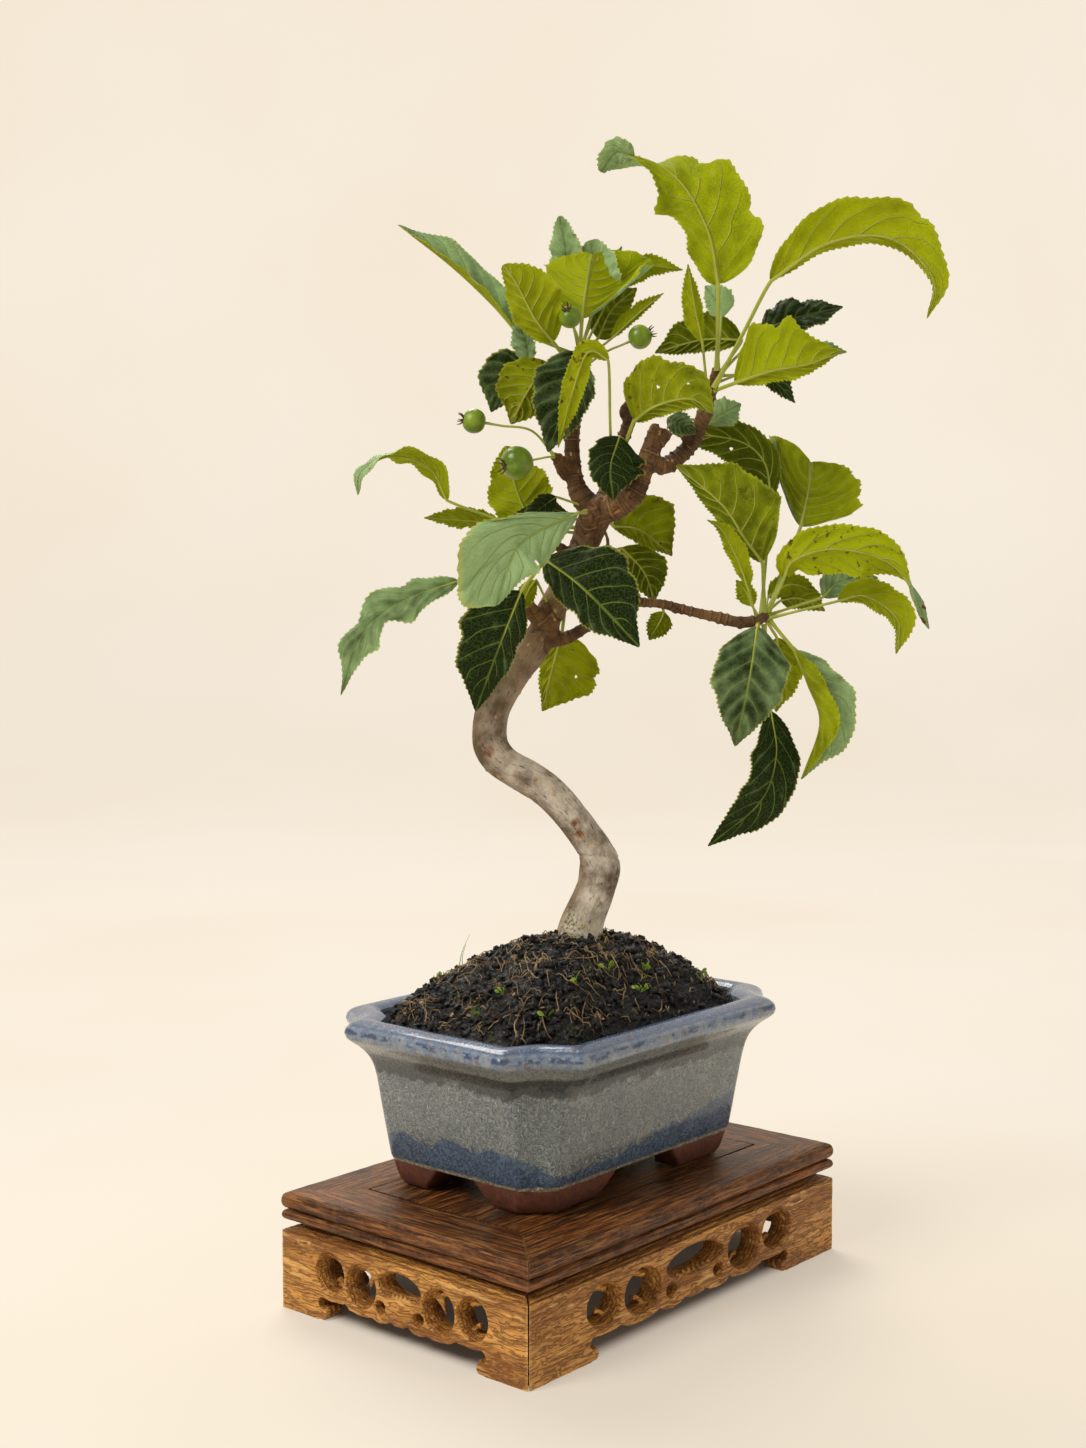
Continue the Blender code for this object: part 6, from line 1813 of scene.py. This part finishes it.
# The moulded outside of a rail as (inward, height): two soft beads with a groove between them
RAIL_MOULDING = [
    (5.0, RAIL_BOTTOM), (3.6, 42.2), (1.3, 42.6), (0.25, 43.8), (0.15, 45.4), (0.9, 46.8), (2.4, 47.5),
    (1.1, 48.3),
    (0.1, 50.2), (0.1, 52.6), (0.9, 54.6), (2.8, 55.7),
]
SIDES = ("front", "back", "left", "right")


def on_side(side, along, inward, z):
    """A point on one side of the stand: along its length, inward from its outer face, at a height."""
    half_x = STAND_LENGTH / 2
    half_y = STAND_DEPTH / 2
    spot = {
        "front": (along, -half_y + inward),
        "back": (-along, half_y - inward),
        "right": (half_x - inward, along),
        "left": (-half_x + inward, -along),
    }[side]
    return STAND_CENTRE + np.array([spot[0], spot[1], z])


def side_length(side):
    """How long the stand is on this side."""
    return STAND_LENGTH if side in ("front", "back") else STAND_DEPTH


def build_rails():
    """Four mitred rails with soft beads and worn edges."""
    moulding = smooth_path([(a, b, 0.0) for a, b in RAIL_MOULDING], 0.45)[:, :2].tolist()
    section = moulding + [
        (4.6, TOP_HEIGHT), (10.0, TOP_HEIGHT), (18.0, TOP_HEIGHT), (RAIL_WIDTH - 0.8, TOP_HEIGHT),
        (RAIL_WIDTH - 0.2, TOP_HEIGHT - 0.2),
        (RAIL_WIDTH, TOP_HEIGHT - 0.8), (RAIL_WIDTH, TONGUE_BOTTOM + TONGUE_HEIGHT + GAP),
        (RAIL_WIDTH - TONGUE - GAP, TONGUE_BOTTOM + TONGUE_HEIGHT + GAP),
        (RAIL_WIDTH - TONGUE - GAP, TONGUE_BOTTOM - GAP),
        (RAIL_WIDTH, TONGUE_BOTTOM - GAP), (RAIL_WIDTH, RAIL_BOTTOM),
    ]
    for side in SIDES:
        half = side_length(side) / 2 - GAP * 0.5
        rings = []
        for share in np.linspace(-1.0, 1.0, round(side_length(side) / 3)):
            rings.append([on_side(side, share * (half - inward), inward, z) for inward, z in section])
        rail = loft(f"top_rail_{side}", rings)
        tidy_normals(rail)
        points = points_of(rail)
        wear = 0.16 * noise_at(points, 0.09) + 0.1 * noise_at(points, 0.35, 2.0)
        outside = points[:, 2] > RAIL_BOTTOM + 1
        move_points(rail, points + normals_of(rail) * (wear * outside)[:, None])
        rail.data.materials.append(top_wood(side in ("left", "right")))
        shade(rail, 30.0)
        settle(rail, "dark_wood", f"rail_{side}")


def finish_kept_nodes():
    """Gives the panel, batten and drain screens their finishes."""
    nodes = frame["nodes"]
    nodes["panel"].material_slots[0].material = top_wood(False)
    nodes["batten"].material_slots[0].material = board_wood(True)
    mesh = plain_material("drain_mesh", srgb(34, 34, 34), srgb(62, 60, 56), 900.0, 0.6, 0.3)
    for side in ("left", "right"):
        nodes[f"drain_screen_{side}"].material_slots[0].material = mesh


def along_x(graph, place, turned):
    """The place turned so that the grain runs along X."""
    if not turned:
        return place
    return graph.add("Mapping", {"Vector": place, "Rotation": (0.0, 0.0, math.pi / 2)}).outputs[0]


def top_wood(turned):
    """The stained top's wood, its grain along X or along Y."""
    settings = bpy.context.scene.bonsai_stand
    made, graph, shader = new_material("top_wood_along_y" if turned else "top_wood_along_x")
    if graph is None:
        return made
    place = object_place(graph)
    split = graph.add("SeparateXYZ", {0: place}).outputs
    turned_place = along_x(graph, place, turned)
    grain = placed_group(graph, wood_grain_group(), {"Vector": turned_place, "Boldness": 1.2})
    hairs = graph.noise(graph.stretched(turned_place, (46.0, 850.0, 850.0)), 1.0, 3.0, 0.65)
    base = graph.mix(graph.spread(grain["Shade"], 0.3, 0.7), settings.top, srgb(84, 48, 20))
    base = graph.mix(graph.times(grain["Streak"], 0.75), base, settings.top_dark)
    base = graph.mix(graph.times(graph.spread(hairs, 0.54, 0.62), 0.6), base, settings.top_worn)
    base = graph.mix(graph.times(graph.spread(hairs, 0.48, 0.4), 0.85), base, settings.top_dark)
    rub = graph.noise(place, 130.0, 4.0, 0.7)
    from_middle = []
    for axis, size in ((0, STAND_LENGTH), (1, STAND_DEPTH)):
        offset = graph.minus(split[axis], STAND_CENTRE[axis] * MM)
        from_middle.append(graph.minus(size / 2 * MM, graph.absolute(offset)))
    mitre = graph.absolute(graph.minus(*from_middle))
    outer = graph.math("MINIMUM", *from_middle)
    in_rail = graph.spread(outer, (RAIL_WIDTH + 0.5) * MM, RAIL_WIDTH * MM)
    pale_line = graph.times(graph.spread(mitre, 0.8 * MM, 0.3 * MM), in_rail)
    base = graph.mix(graph.times(pale_line, graph.spread(rub, 0.3, 0.55, 0.3, 0.8)), base,
                     srgb(150, 112, 72))
    rim = graph.times(graph.spread(outer, 3.2 * MM, 1.4 * MM), graph.spread(rub, 0.45, 0.62))
    base = graph.mix(graph.times(rim, 0.4), base, srgb(134, 90, 54))
    height = graph.times_plus(hairs, 0.6, grain["Height"])
    normal = graph.bump(height, 0.35)
    set_shader(graph, shader, Base_Color=base, Normal=normal,
               Roughness=graph.spread(hairs, 0.3, 0.7, 0.36, 0.54),
               Specular_IOR_Level=0.28)
    return made


def board_wood(turned):
    """The carved boards' wood, its grain along X or Y: wavy streaks, and grooves on the top bevel."""
    settings = bpy.context.scene.bonsai_stand
    made, graph, shader = new_material("board_wood_along_y" if turned else "board_wood_along_x")
    if graph is None:
        return made
    place = object_place(graph)
    turned_place = along_x(graph, place, turned)
    grain = placed_group(graph, wood_grain_group(), {"Vector": turned_place, "Boldness": 1.0})
    sway = graph.times(graph.noise(graph.stretched(turned_place, (70.0, 130.0, 130.0)), 1.0, 2.0), 0.006)
    shift = graph.add("CombineXYZ", {1: sway, 2: sway}).outputs[0]
    swayed = graph.add("VectorMath", {0: turned_place, 1: shift}, operation="ADD").outputs[0]
    flecks = graph.noise(graph.stretched(swayed, (34.0, 430.0, 430.0)), 1.0, 2.5, 0.55)
    fleck = graph.spread(graph.absolute(graph.minus(flecks, 0.5)), 0.055, 0.01)
    fleck = graph.math("MAXIMUM", fleck, graph.spread(flecks, 0.64, 0.7))
    pale = graph.spread(flecks, 0.4, 0.3)
    base = graph.mix(graph.spread(grain["Shade"], 0.3, 0.7), settings.board, srgb(166, 108, 46))
    base = graph.mix(graph.times(grain["Streak"], 0.3), base, settings.board_dark)
    base = graph.mix(graph.times(fleck, 0.75), base, settings.board_dark)
    base = graph.mix(graph.times(pale, 0.6), base, settings.board_pale)
    base = graph.mix(graph.times(grain["Pores"], 0.35), base, srgb(70, 38, 14))
    split = graph.add("SeparateXYZ", {0: place}).outputs
    depth = graph.attribute("cut_depth")
    ring = graph.math("SINE", graph.times_plus(depth, 2 * math.pi / TERRACE, graph.times(flecks, 3.0)))
    inside = graph.attribute("cut_wall")
    base = graph.mix(graph.times(inside, graph.spread(ring, -0.6, -1.0, 0.12, 0.5)), base, srgb(84, 44, 18))
    corner = graph.attribute("board_corner")
    base = graph.mix(graph.times(corner, graph.spread(flecks, 0.3, 0.6, 0.3, 0.8)), base,
                     settings.board_pale)
    bevel = graph.spread(split[2], (APRON_HEIGHT - CHAMFER - 0.6) * MM, (APRON_HEIGHT - CHAMFER + 0.2) * MM)
    level = graph.times_plus(split[2], 2 * math.pi / (0.95 * MM), graph.times(flecks, 7.0))
    grooves = graph.times(graph.math("SINE", level), bevel)
    base = graph.mix(graph.times(graph.spread(grooves, 0.2, 0.8), 0.6), base, settings.board_dark)
    height = graph.times_plus(fleck, -0.8, grain["Height"])
    height = graph.times_plus(grooves, -0.5, height)
    normal = graph.bump(height, 0.5)
    set_shader(graph, shader, Base_Color=base, Normal=normal,
               Roughness=graph.spread(flecks, 0.3, 0.7, 0.38, 0.55),
               Specular_IOR_Level=0.35)
    return made


APRON_HEIGHT = 41.0
APRON_THICKNESS = 11.0
CHAMFER = 3.6
LONG_FOOT = 46.0
SHORT_FOOT = 29.0
TERRACE = 1.7
# A hole in the face is (along, height, half length, half height) and a lobe of the lower edge is
# (along, half length, depth)
LONG_HOLES = [
    (68.3, 23.6, 12.6, 10.2), (40.2, 22.2, 13.8, 11.0), (0.0, 26.4, 22.6, 7.4), (18.6, 16.4, 4.2, 3.6),
]
SHORT_HOLES = [
    (44.6, 23.4, 9.3, 10.1), (24.4, 22.0, 9.9, 10.5), (0.0, 26.6, 13.8, 7.0), (12.0, 15.2, 3.4, 3.2),
]
LONG_LOBES = [(67.0, 13.0, 1.2), (41.5, 13.6, 3.2), (18.0, 9.5, 3.4), (0.0, 8.5, 2.6)]
SHORT_LOBES = [(44.0, 9.0, 1.0), (23.8, 10.4, 3.0), (12.2, 7.0, 3.4), (0.0, 5.5, 2.6)]
LOWER_EDGE = 11.2
# How much narrower a hole is, at each depth behind the face
HOLE_PROFILE = (
    (-1.0, 0.8), (0.0, 0.3), (0.5, -0.2), (1.2, -0.5), (2.5, -1.0), (5.0, -1.6), (8.0, -1.8), (11.0, -1.5),
    (12.5, -1.2),
)


def lower_edge(along, lobes):
    """The lower edge's height: the deepest lobe there wins."""
    depths = [0.0]
    for centre, half, depth in lobes:
        share = (abs(along) - centre) / half
        if abs(share) < 1:
            depths.append(depth * math.sqrt(1 - share * share))
    return LOWER_EDGE - max(depths)


def half_outline(foot_end, lobes):
    """The board's outline from the middle of its lower edge to the floor: lobes, a hollow and a scroll."""
    outline = [(along, lower_edge(along, lobes)) for along in np.linspace(0.0, foot_end - 2.4, 64)]
    for angle in range(120, -61, -15):
        turn = math.radians(angle)
        outline.append((foot_end + 0.8 + 3.3 * math.cos(turn), 8.0 + 3.0 * math.sin(turn)))
    for angle in range(85, 256, 15):
        turn = math.radians(angle)
        outline.append((foot_end + 1.4 + 2.9 * math.cos(turn), 2.8 + 2.8 * math.sin(turn)))
    outline.append((foot_end + 3.2, 0.0))
    return outline


def apron_blank(side, foot, lobes):
    """The board before carving: its outline run through its thickness, mitred and chamfered."""
    half = side_length(side) / 2
    lower = half_outline(half - foot, lobes)
    edge = [(-along, z) for along, z in reversed(lower)] + lower[1:]
    rings = []
    for inward in (0.0, APRON_THICKNESS):
        corner = half - GAP - inward
        ring = [on_side(side, along, inward, z) for along, z in edge]
        top = APRON_HEIGHT - CHAMFER if inward == 0.0 else APRON_HEIGHT
        ring += [on_side(side, corner, inward, 0.0), on_side(side, corner, inward, top)]
        ring += [on_side(side, -corner, inward, top), on_side(side, -corner, inward, 0.0)]
        rings.append(ring)
    board = loft(f"carved_apron_{side}", rings)
    tidy_normals(board)
    return board


def hole_cutter(side, along, z, half_along, half_z):
    """A cutter that narrows behind the face, so the hole gets a bowl-shaped wall."""
    angles = 2 * math.pi * np.arange(32) / 32
    share = min(1.0, half_z / 5.0)
    rings = []
    for inward, wider in HOLE_PROFILE:
        wide = half_along + wider * share
        high = half_z + wider * share
        rings.append([on_side(side, along + wide * math.cos(a), inward, z + high * math.sin(a))
                      for a in angles])
    cutter = loft("hole_cutter", rings)
    tidy_normals(cutter)
    return cutter


def carving(side, long):
    """Raised work: curled hooks, a crest on the ribbed column, a lip along the lower edge and scrolls."""
    holes = LONG_HOLES if long else SHORT_HOLES
    lobes = LONG_LOBES if long else SHORT_LOBES
    foot_end = side_length(side) / 2 - (LONG_FOOT if long else SHORT_FOOT)
    paths = []

    def add(points, thick):
        """One raised line of (along, inward, height) points."""
        spots = smooth_path([on_side(side, along, inward, z) for along, inward, z in points], 0.7)
        place = np.linspace(0, 1, len(spots))
        paths.append(np.column_stack([spots, np.interp(place, np.linspace(0, 1, len(thick)), thick)]))

    def volute(along, inward, z, radius, start, turns, thick):
        """A flat spiral that winds inwards."""
        points = []
        for t in np.linspace(0, 1, max(8, round(abs(turns) / 24))):
            angle = math.radians(start + turns * t)
            reach = radius * (1 - 0.8 * t)
            points.append((along + reach * math.cos(angle), inward, z + reach * math.sin(angle)))
        add(points, thick)

    for index, (along, z, half_along, half_z) in enumerate(holes[:2]):
        for sign in (1, -1):
            middle = sign * along
            hook = []
            for angle, reach in ((48, 1.0), (62, 0.82), (84, 0.66), (112, 0.6), (138, 0.66)):
                turn = math.radians(angle)
                hook.append((middle + sign * half_along * reach * math.cos(turn), 5.5,
                             z + half_z * reach * math.sin(turn)))
            add(hook, [2.5, 2.1, 1.6, 1.5, 1.7])
            if index == 0 or long:
                spur = [(middle - sign * half_along * 0.55, 6.5, z - half_z * 0.86),
                        (middle - sign * half_along * 0.2, 6.5, z - half_z * 0.5),
                        (middle + sign * half_along * 0.05, 6.5, z - half_z * 0.42)]
                add(spur, [1.7, 1.2, 1.5])
            else:
                flame = [(middle - sign * half_along * 0.7, 6.0, z + half_z * 0.62),
                         (middle - sign * half_along * 0.25, 6.0, z + half_z * 0.2),
                         (middle - sign * half_along * 0.05, 6.0, z - half_z * 0.3)]
                add(flame, [2.4, 1.7, 0.3])
    wide = 1.55 if long else 1.0
    for number in range(-4, 5):
        rise = 5.6 - abs(number) * 0.62
        root = (number * 1.9 * wide, 2.6, 18.6)
        add([root, (number * 2.3 * wide, 1.7, 18.8 + rise * 0.5), (number * 2.75 * wide, 2.2, 18.8 + rise)],
            [1.5, 1.15, 0.3])
    for number in range(-3, 4):
        volute(number * (4.6 if long else 3.0), 1.3, 20.2 + 0.6 * (3 - abs(number)) / 3,
               1.5 if long else 1.1,
               200 if number < 0 else -20, 380 if number < 0 else -380, [0.75, 0.55])
    half_column = 8.6 if long else 5.6
    for number, z in enumerate((19.0, 16.6, 14.2, 11.8)):
        reach = half_column * (1 - 0.1 * number)
        add([(-reach, 0.5, z), (0.0, 0.1, z + 0.2), (reach, 0.5, z)], [0.75, 0.95, 0.75])
    for along in (-0.8, -0.3, 0.3, 0.8):
        add([(along * half_column, 0.5, 10.4), (along * half_column, 0.3, 15.0),
             (along * half_column, 0.5, 19.2)], [0.8, 0.65, 0.8])
    step = np.linspace(-1, 1, 15)
    for centre, half, _ in lobes:
        for sign in ((1, -1) if centre else (1,)):
            reach = half * 0.84
            add([(sign * centre + reach * s, 0.75, lower_edge(centre + reach * s, lobes) + 1.1)
                 for s in step],
                [0.8, 1.15, 1.15, 0.8])
            add([(sign * centre + reach * s, APRON_THICKNESS - 1.5,
                  lower_edge(centre + reach * s, lobes) + 0.9) for s in step],
                [0.8, 1.3, 1.3, 0.8])
    for sign in (-1, 1):
        for inward in (2.4, 5.4, 8.4):
            volute(sign * (foot_end + 1.4), inward, 3.0, 2.9, 90 + sign * 20, sign * 330, [1.2, 0.9, 0.6])
    return wires("raised_work", paths, 2)


def inward_of(side, points):
    """How far points lie behind the outer face of one side of the stand."""
    axis = 1 if side in ("front", "back") else 0
    half = (STAND_LENGTH if axis == 0 else STAND_DEPTH) / 2
    offset = points[:, axis] - STAND_CENTRE[axis]
    return half + offset if side in ("front", "left") else half - offset


def build_aprons():
    """Four pierced and carved boards on bracket feet."""
    for side in SIDES:
        long = side in ("front", "back")
        board = apron_blank(side, LONG_FOOT if long else SHORT_FOOT, LONG_LOBES if long else SHORT_LOBES)
        for along, z, half_along, half_z in (LONG_HOLES if long else SHORT_HOLES):
            for sign in ((1, -1) if along else (1,)):
                cut_with(board, hole_cutter(side, sign * along, z, half_along, half_z))
        join_into(board, [carving(side, long)])
        tidy_normals(board)
        add_modifier(board, "REMESH", mode="VOXEL", voxel_size=0.6 * MM)
        add_modifier(board, "SMOOTH", factor=0.5, iterations=2)
        points = points_of(board)
        normals = normals_of(board)
        axis = 1 if long else 0
        wall = ((1 - np.abs(normals[:, axis])) * ease(inward_of(side, points), 0.5, 1.4)
                * ease(points[:, 2], 5.5, 7.5))
        wall *= 1 - ease(points[:, 2], 34.0, 35.5)
        terraces = 0.17 * np.sin(inward_of(side, points) * 2 * math.pi / TERRACE) * wall
        cuts = 0.1 * noise_at(points, 0.45) + 0.12 * noise_at(points, 0.16, 2.0)
        move_points(board, points + normals * (cuts + terraces)[:, None])
        add_modifier(board, "DECIMATE", ratio=0.32)
        points = points_of(board)
        normals = normals_of(board)
        inward = inward_of(side, points)
        wall = (1 - np.abs(normals[:, axis])) * ease(inward, 0.3,
                                                     1.2) * (1 - ease(points[:, 2], 34.0, 35.5))
        store(board, "cut_wall", np.clip(wall, 0, 1))
        store(board, "cut_depth", inward)
        corner = side_length(side) / 2 - np.abs(points[:, 1 - axis] - STAND_CENTRE[1 - axis])
        store(board, "board_corner", 1 - ease(corner, 0.4, 1.3))
        board.data.materials.clear()
        board.data.materials.append(board_wood(not long))
        shade(board, 50.0)
        settle(board, "light_wood", f"apron_{side}")


# The backdrop reflects a little and glows a lot, so it stays even. Close to the stand it reflects more, so
# that shadows show, and under the stand it hardly glows.
REFLECTED = 0.13
REFLECTED_NEAR = 0.5
GLOW = 0.885
GLOW_NEAR = 0.46
GLOW_RAISED = 0.93
GLOW_COVERED = 0.02
NEAR_STAND = (0.5, 0.16)


def grey(value):
    """A colour without a tint."""
    return (value, value, value)


def build_stage():
    """A pale floor that curves up behind, soft light and the camera."""
    settings = bpy.context.scene.bonsai_stage
    floor = []
    for turn in range(0, 91, 6):
        angle = math.radians(turn)
        floor.append((1800 + 900 * math.sin(angle), 900 * (1 - math.cos(angle))))
    profile = [(-2600.0, 0.0), (0.0, 0.0), *floor, (2700.0, 4200.0)]
    points = [STAND_CENTRE + AWAY * away + ACROSS * aside + np.array([0, 0, z]) for away,
              z in profile for aside in (-4500, 4500)]
    faces = [(2 * i, 2 * i + 1, 2 * i + 3, 2 * i + 2) for i in range(len(profile) - 1)]
    backdrop = mesh_from("backdrop", points, faces)
    made, graph, shader = new_material("paper_backdrop")
    cloud = graph.noise(object_place(graph), 1.2, 3.0)
    base = graph.mix(graph.spread(cloud, 0.3, 0.7), settings.ground, srgb(243, 231, 213))
    split = graph.add("SeparateXYZ", {0: object_place(graph)}).outputs
    offset = [graph.minus(split[axis], STAND_CENTRE[axis] * MM) for axis in (0, 1)]
    reach = graph.math("SQRT", graph.times_plus(offset[0], offset[0], graph.times(offset[1], offset[1])))
    near = graph.spread(reach, *NEAR_STAND)
    stand_sides = (side_length("left") / 2, side_length("front") / 2)
    inside = [graph.spread(graph.absolute(offset[axis]), half * MM, (half - 12) * MM)
              for axis, half in ((0, stand_sides[1]), (1, stand_sides[0]))]
    covered = graph.times(inside[0], inside[1])
    raised = graph.spread(split[2], 0.0, 0.6)
    lit = graph.mix(near, grey(REFLECTED), grey(REFLECTED_NEAR))
    glow = graph.mix(near, grey(GLOW), grey(GLOW_NEAR))
    glow = graph.mix(raised, glow, grey(GLOW_RAISED))
    glow = graph.mix(graph.times(covered, graph.spread(split[2], 0.02, 0.01)), glow, grey(GLOW_COVERED))
    set_shader(graph, shader, Base_Color=graph.mix(1.0, base, lit, "MULTIPLY"), Roughness=0.9,
               Specular_IOR_Level=0.05,
               Emission_Color=graph.mix(1.0, base, glow, "MULTIPLY"), Emission_Strength=1.0)
    backdrop.data.materials.append(made)
    shade(backdrop, 60.0)
    target = STAND_CENTRE + np.array([0.0, 0.0, 260.0])
    for name, offset, size, power, tint in (
        ("key_light", -AWAY * 900 - ACROSS * 1150 + np.array([0, 0, 1250]), 900, settings.key_power,
         (1.0, 0.97, 0.92)),
        ("fill_light", -AWAY * 1100 + ACROSS * 1300 + np.array([0, 0, 500]), 1400, settings.fill_power,
         (1.0, 0.98, 0.95)),
        ("back_light", AWAY * 1000 - ACROSS * 300 + np.array([0, 0, 1300]), 900, settings.back_power,
         (1.0, 0.98, 0.93)),
    ):
        place = target + offset
        bpy.ops.object.light_add(type="AREA", location=place * MM)
        lamp = bpy.context.object
        lamp.name = name
        lamp.data.shape = "DISK"
        lamp.data.size = size * MM
        lamp.data.energy = power
        lamp.data.color = tint
        lamp.rotation_euler = Vector(target - place).to_track_quat("-Z", "Y").to_euler()
    world = bpy.data.worlds.new("studio")
    world.use_nodes = True
    world.node_tree.nodes["Background"].inputs[0].default_value = (1.0, 0.965, 0.91, 1.0)
    world.node_tree.nodes["Background"].inputs[1].default_value = settings.sky
    bpy.context.scene.world = world
    turn = Matrix((ACROSS, OVERHEAD, -LOOK)).transposed()
    bpy.ops.object.camera_add(location=EYE * MM, rotation=turn.to_euler())
    camera = bpy.context.object
    camera.name = "photo_camera"
    camera.data.sensor_width = SENSOR
    camera.data.lens = FOCAL_PIXELS / PHOTO_SIZE[1] * SENSOR
    camera.data.clip_end = 20.0
    bpy.context.scene.camera = camera
    bpy.context.scene.view_settings.view_transform = "Standard"


class BONSAI_OT_stage(bpy.types.Operator):
    """Adds the backdrop, the lights and the camera"""
    bl_idname = "bonsai.stage"
    bl_label = "Stage"

    def execute(self, context):
        build_stage()
        return {"FINISHED"}


class BONSAI_OT_stand(bpy.types.Operator):
    """Adds the stand's rails and finishes its panel, batten and the drain screens"""
    bl_idname = "bonsai.stand"
    bl_label = "Stand top"

    def execute(self, context):
        build_rails()
        finish_kept_nodes()
        return {"FINISHED"}


class BONSAI_OT_aprons(bpy.types.Operator):
    """Adds the four carved boards"""
    bl_idname = "bonsai.aprons"
    bl_label = "Carved boards"

    def execute(self, context):
        build_aprons()
        return {"FINISHED"}


class BONSAI_OT_pot(bpy.types.Operator):
    """Adds the glazed pot"""
    bl_idname = "bonsai.pot"
    bl_label = "Pot"

    def execute(self, context):
        build_pot()
        return {"FINISHED"}


class BONSAI_OT_soil(bpy.types.Operator):
    """Adds the soil"""
    bl_idname = "bonsai.soil"
    bl_label = "Soil"

    def execute(self, context):
        build_soil()
        return {"FINISHED"}


class BONSAI_OT_litter(bpy.types.Operator):
    """Adds the crumbs, chips, fibres, moss and sprouts on the soil"""
    bl_idname = "bonsai.litter"
    bl_label = "Soil litter"

    def execute(self, context):
        build_litter()
        return {"FINISHED"}


class BONSAI_OT_tree(bpy.types.Operator):
    """Adds the trunk, branches, twigs and roots"""
    bl_idname = "bonsai.tree"
    bl_label = "Tree"

    def execute(self, context):
        build_tree()
        return {"FINISHED"}


class BONSAI_OT_leaves(bpy.types.Operator):
    """Adds every leaf with its petiole"""
    bl_idname = "bonsai.leaves"
    bl_label = "Leaves"

    def execute(self, context):
        build_leaves()
        return {"FINISHED"}


class BONSAI_OT_fruit(bpy.types.Operator):
    """Adds the crabapples"""
    bl_idname = "bonsai.fruit"
    bl_label = "Crabapples"

    def execute(self, context):
        build_fruit()
        return {"FINISHED"}


OPERATORS = (
    BONSAI_OT_stage, BONSAI_OT_stand, BONSAI_OT_aprons, BONSAI_OT_pot, BONSAI_OT_soil, BONSAI_OT_litter,
    BONSAI_OT_tree, BONSAI_OT_leaves, BONSAI_OT_fruit,
)


class BONSAI_PT_panel(bpy.types.Panel):
    """Lists the builders and their settings"""
    bl_idname = "BONSAI_PT_panel"
    bl_label = "Crabapple bonsai"
    bl_space_type = "VIEW_3D"
    bl_region_type = "UI"
    bl_category = "Bonsai"

    def draw(self, context):
        for operator in OPERATORS:
            self.layout.operator(operator.bl_idname)
        for key, settings in SETTINGS.items():
            box = self.layout.box()
            box.label(text=settings.__doc__)
            for name in settings.__annotations__:
                box.prop(getattr(context.scene, key), name)


CLASSES = (*SETTINGS.values(), *OPERATORS, BONSAI_PT_panel)


def register():
    for each in CLASSES:
        bpy.utils.register_class(each)
    for key, settings in SETTINGS.items():
        setattr(bpy.types.Scene, key, bpy.props.PointerProperty(type=settings))


def unregister():
    for key in SETTINGS:
        delattr(bpy.types.Scene, key)
    for each in reversed(CLASSES):
        bpy.utils.unregister_class(each)


def main():
    register()
    bpy.ops.bonsai.stage()
    bpy.ops.bonsai.stand()
    bpy.ops.bonsai.aprons()
    bpy.ops.bonsai.pot()
    bpy.ops.bonsai.soil()
    bpy.ops.bonsai.litter()
    bpy.ops.bonsai.tree()
    bpy.ops.bonsai.leaves()
    bpy.ops.bonsai.fruit()


if __name__ == "__main__":
    main()
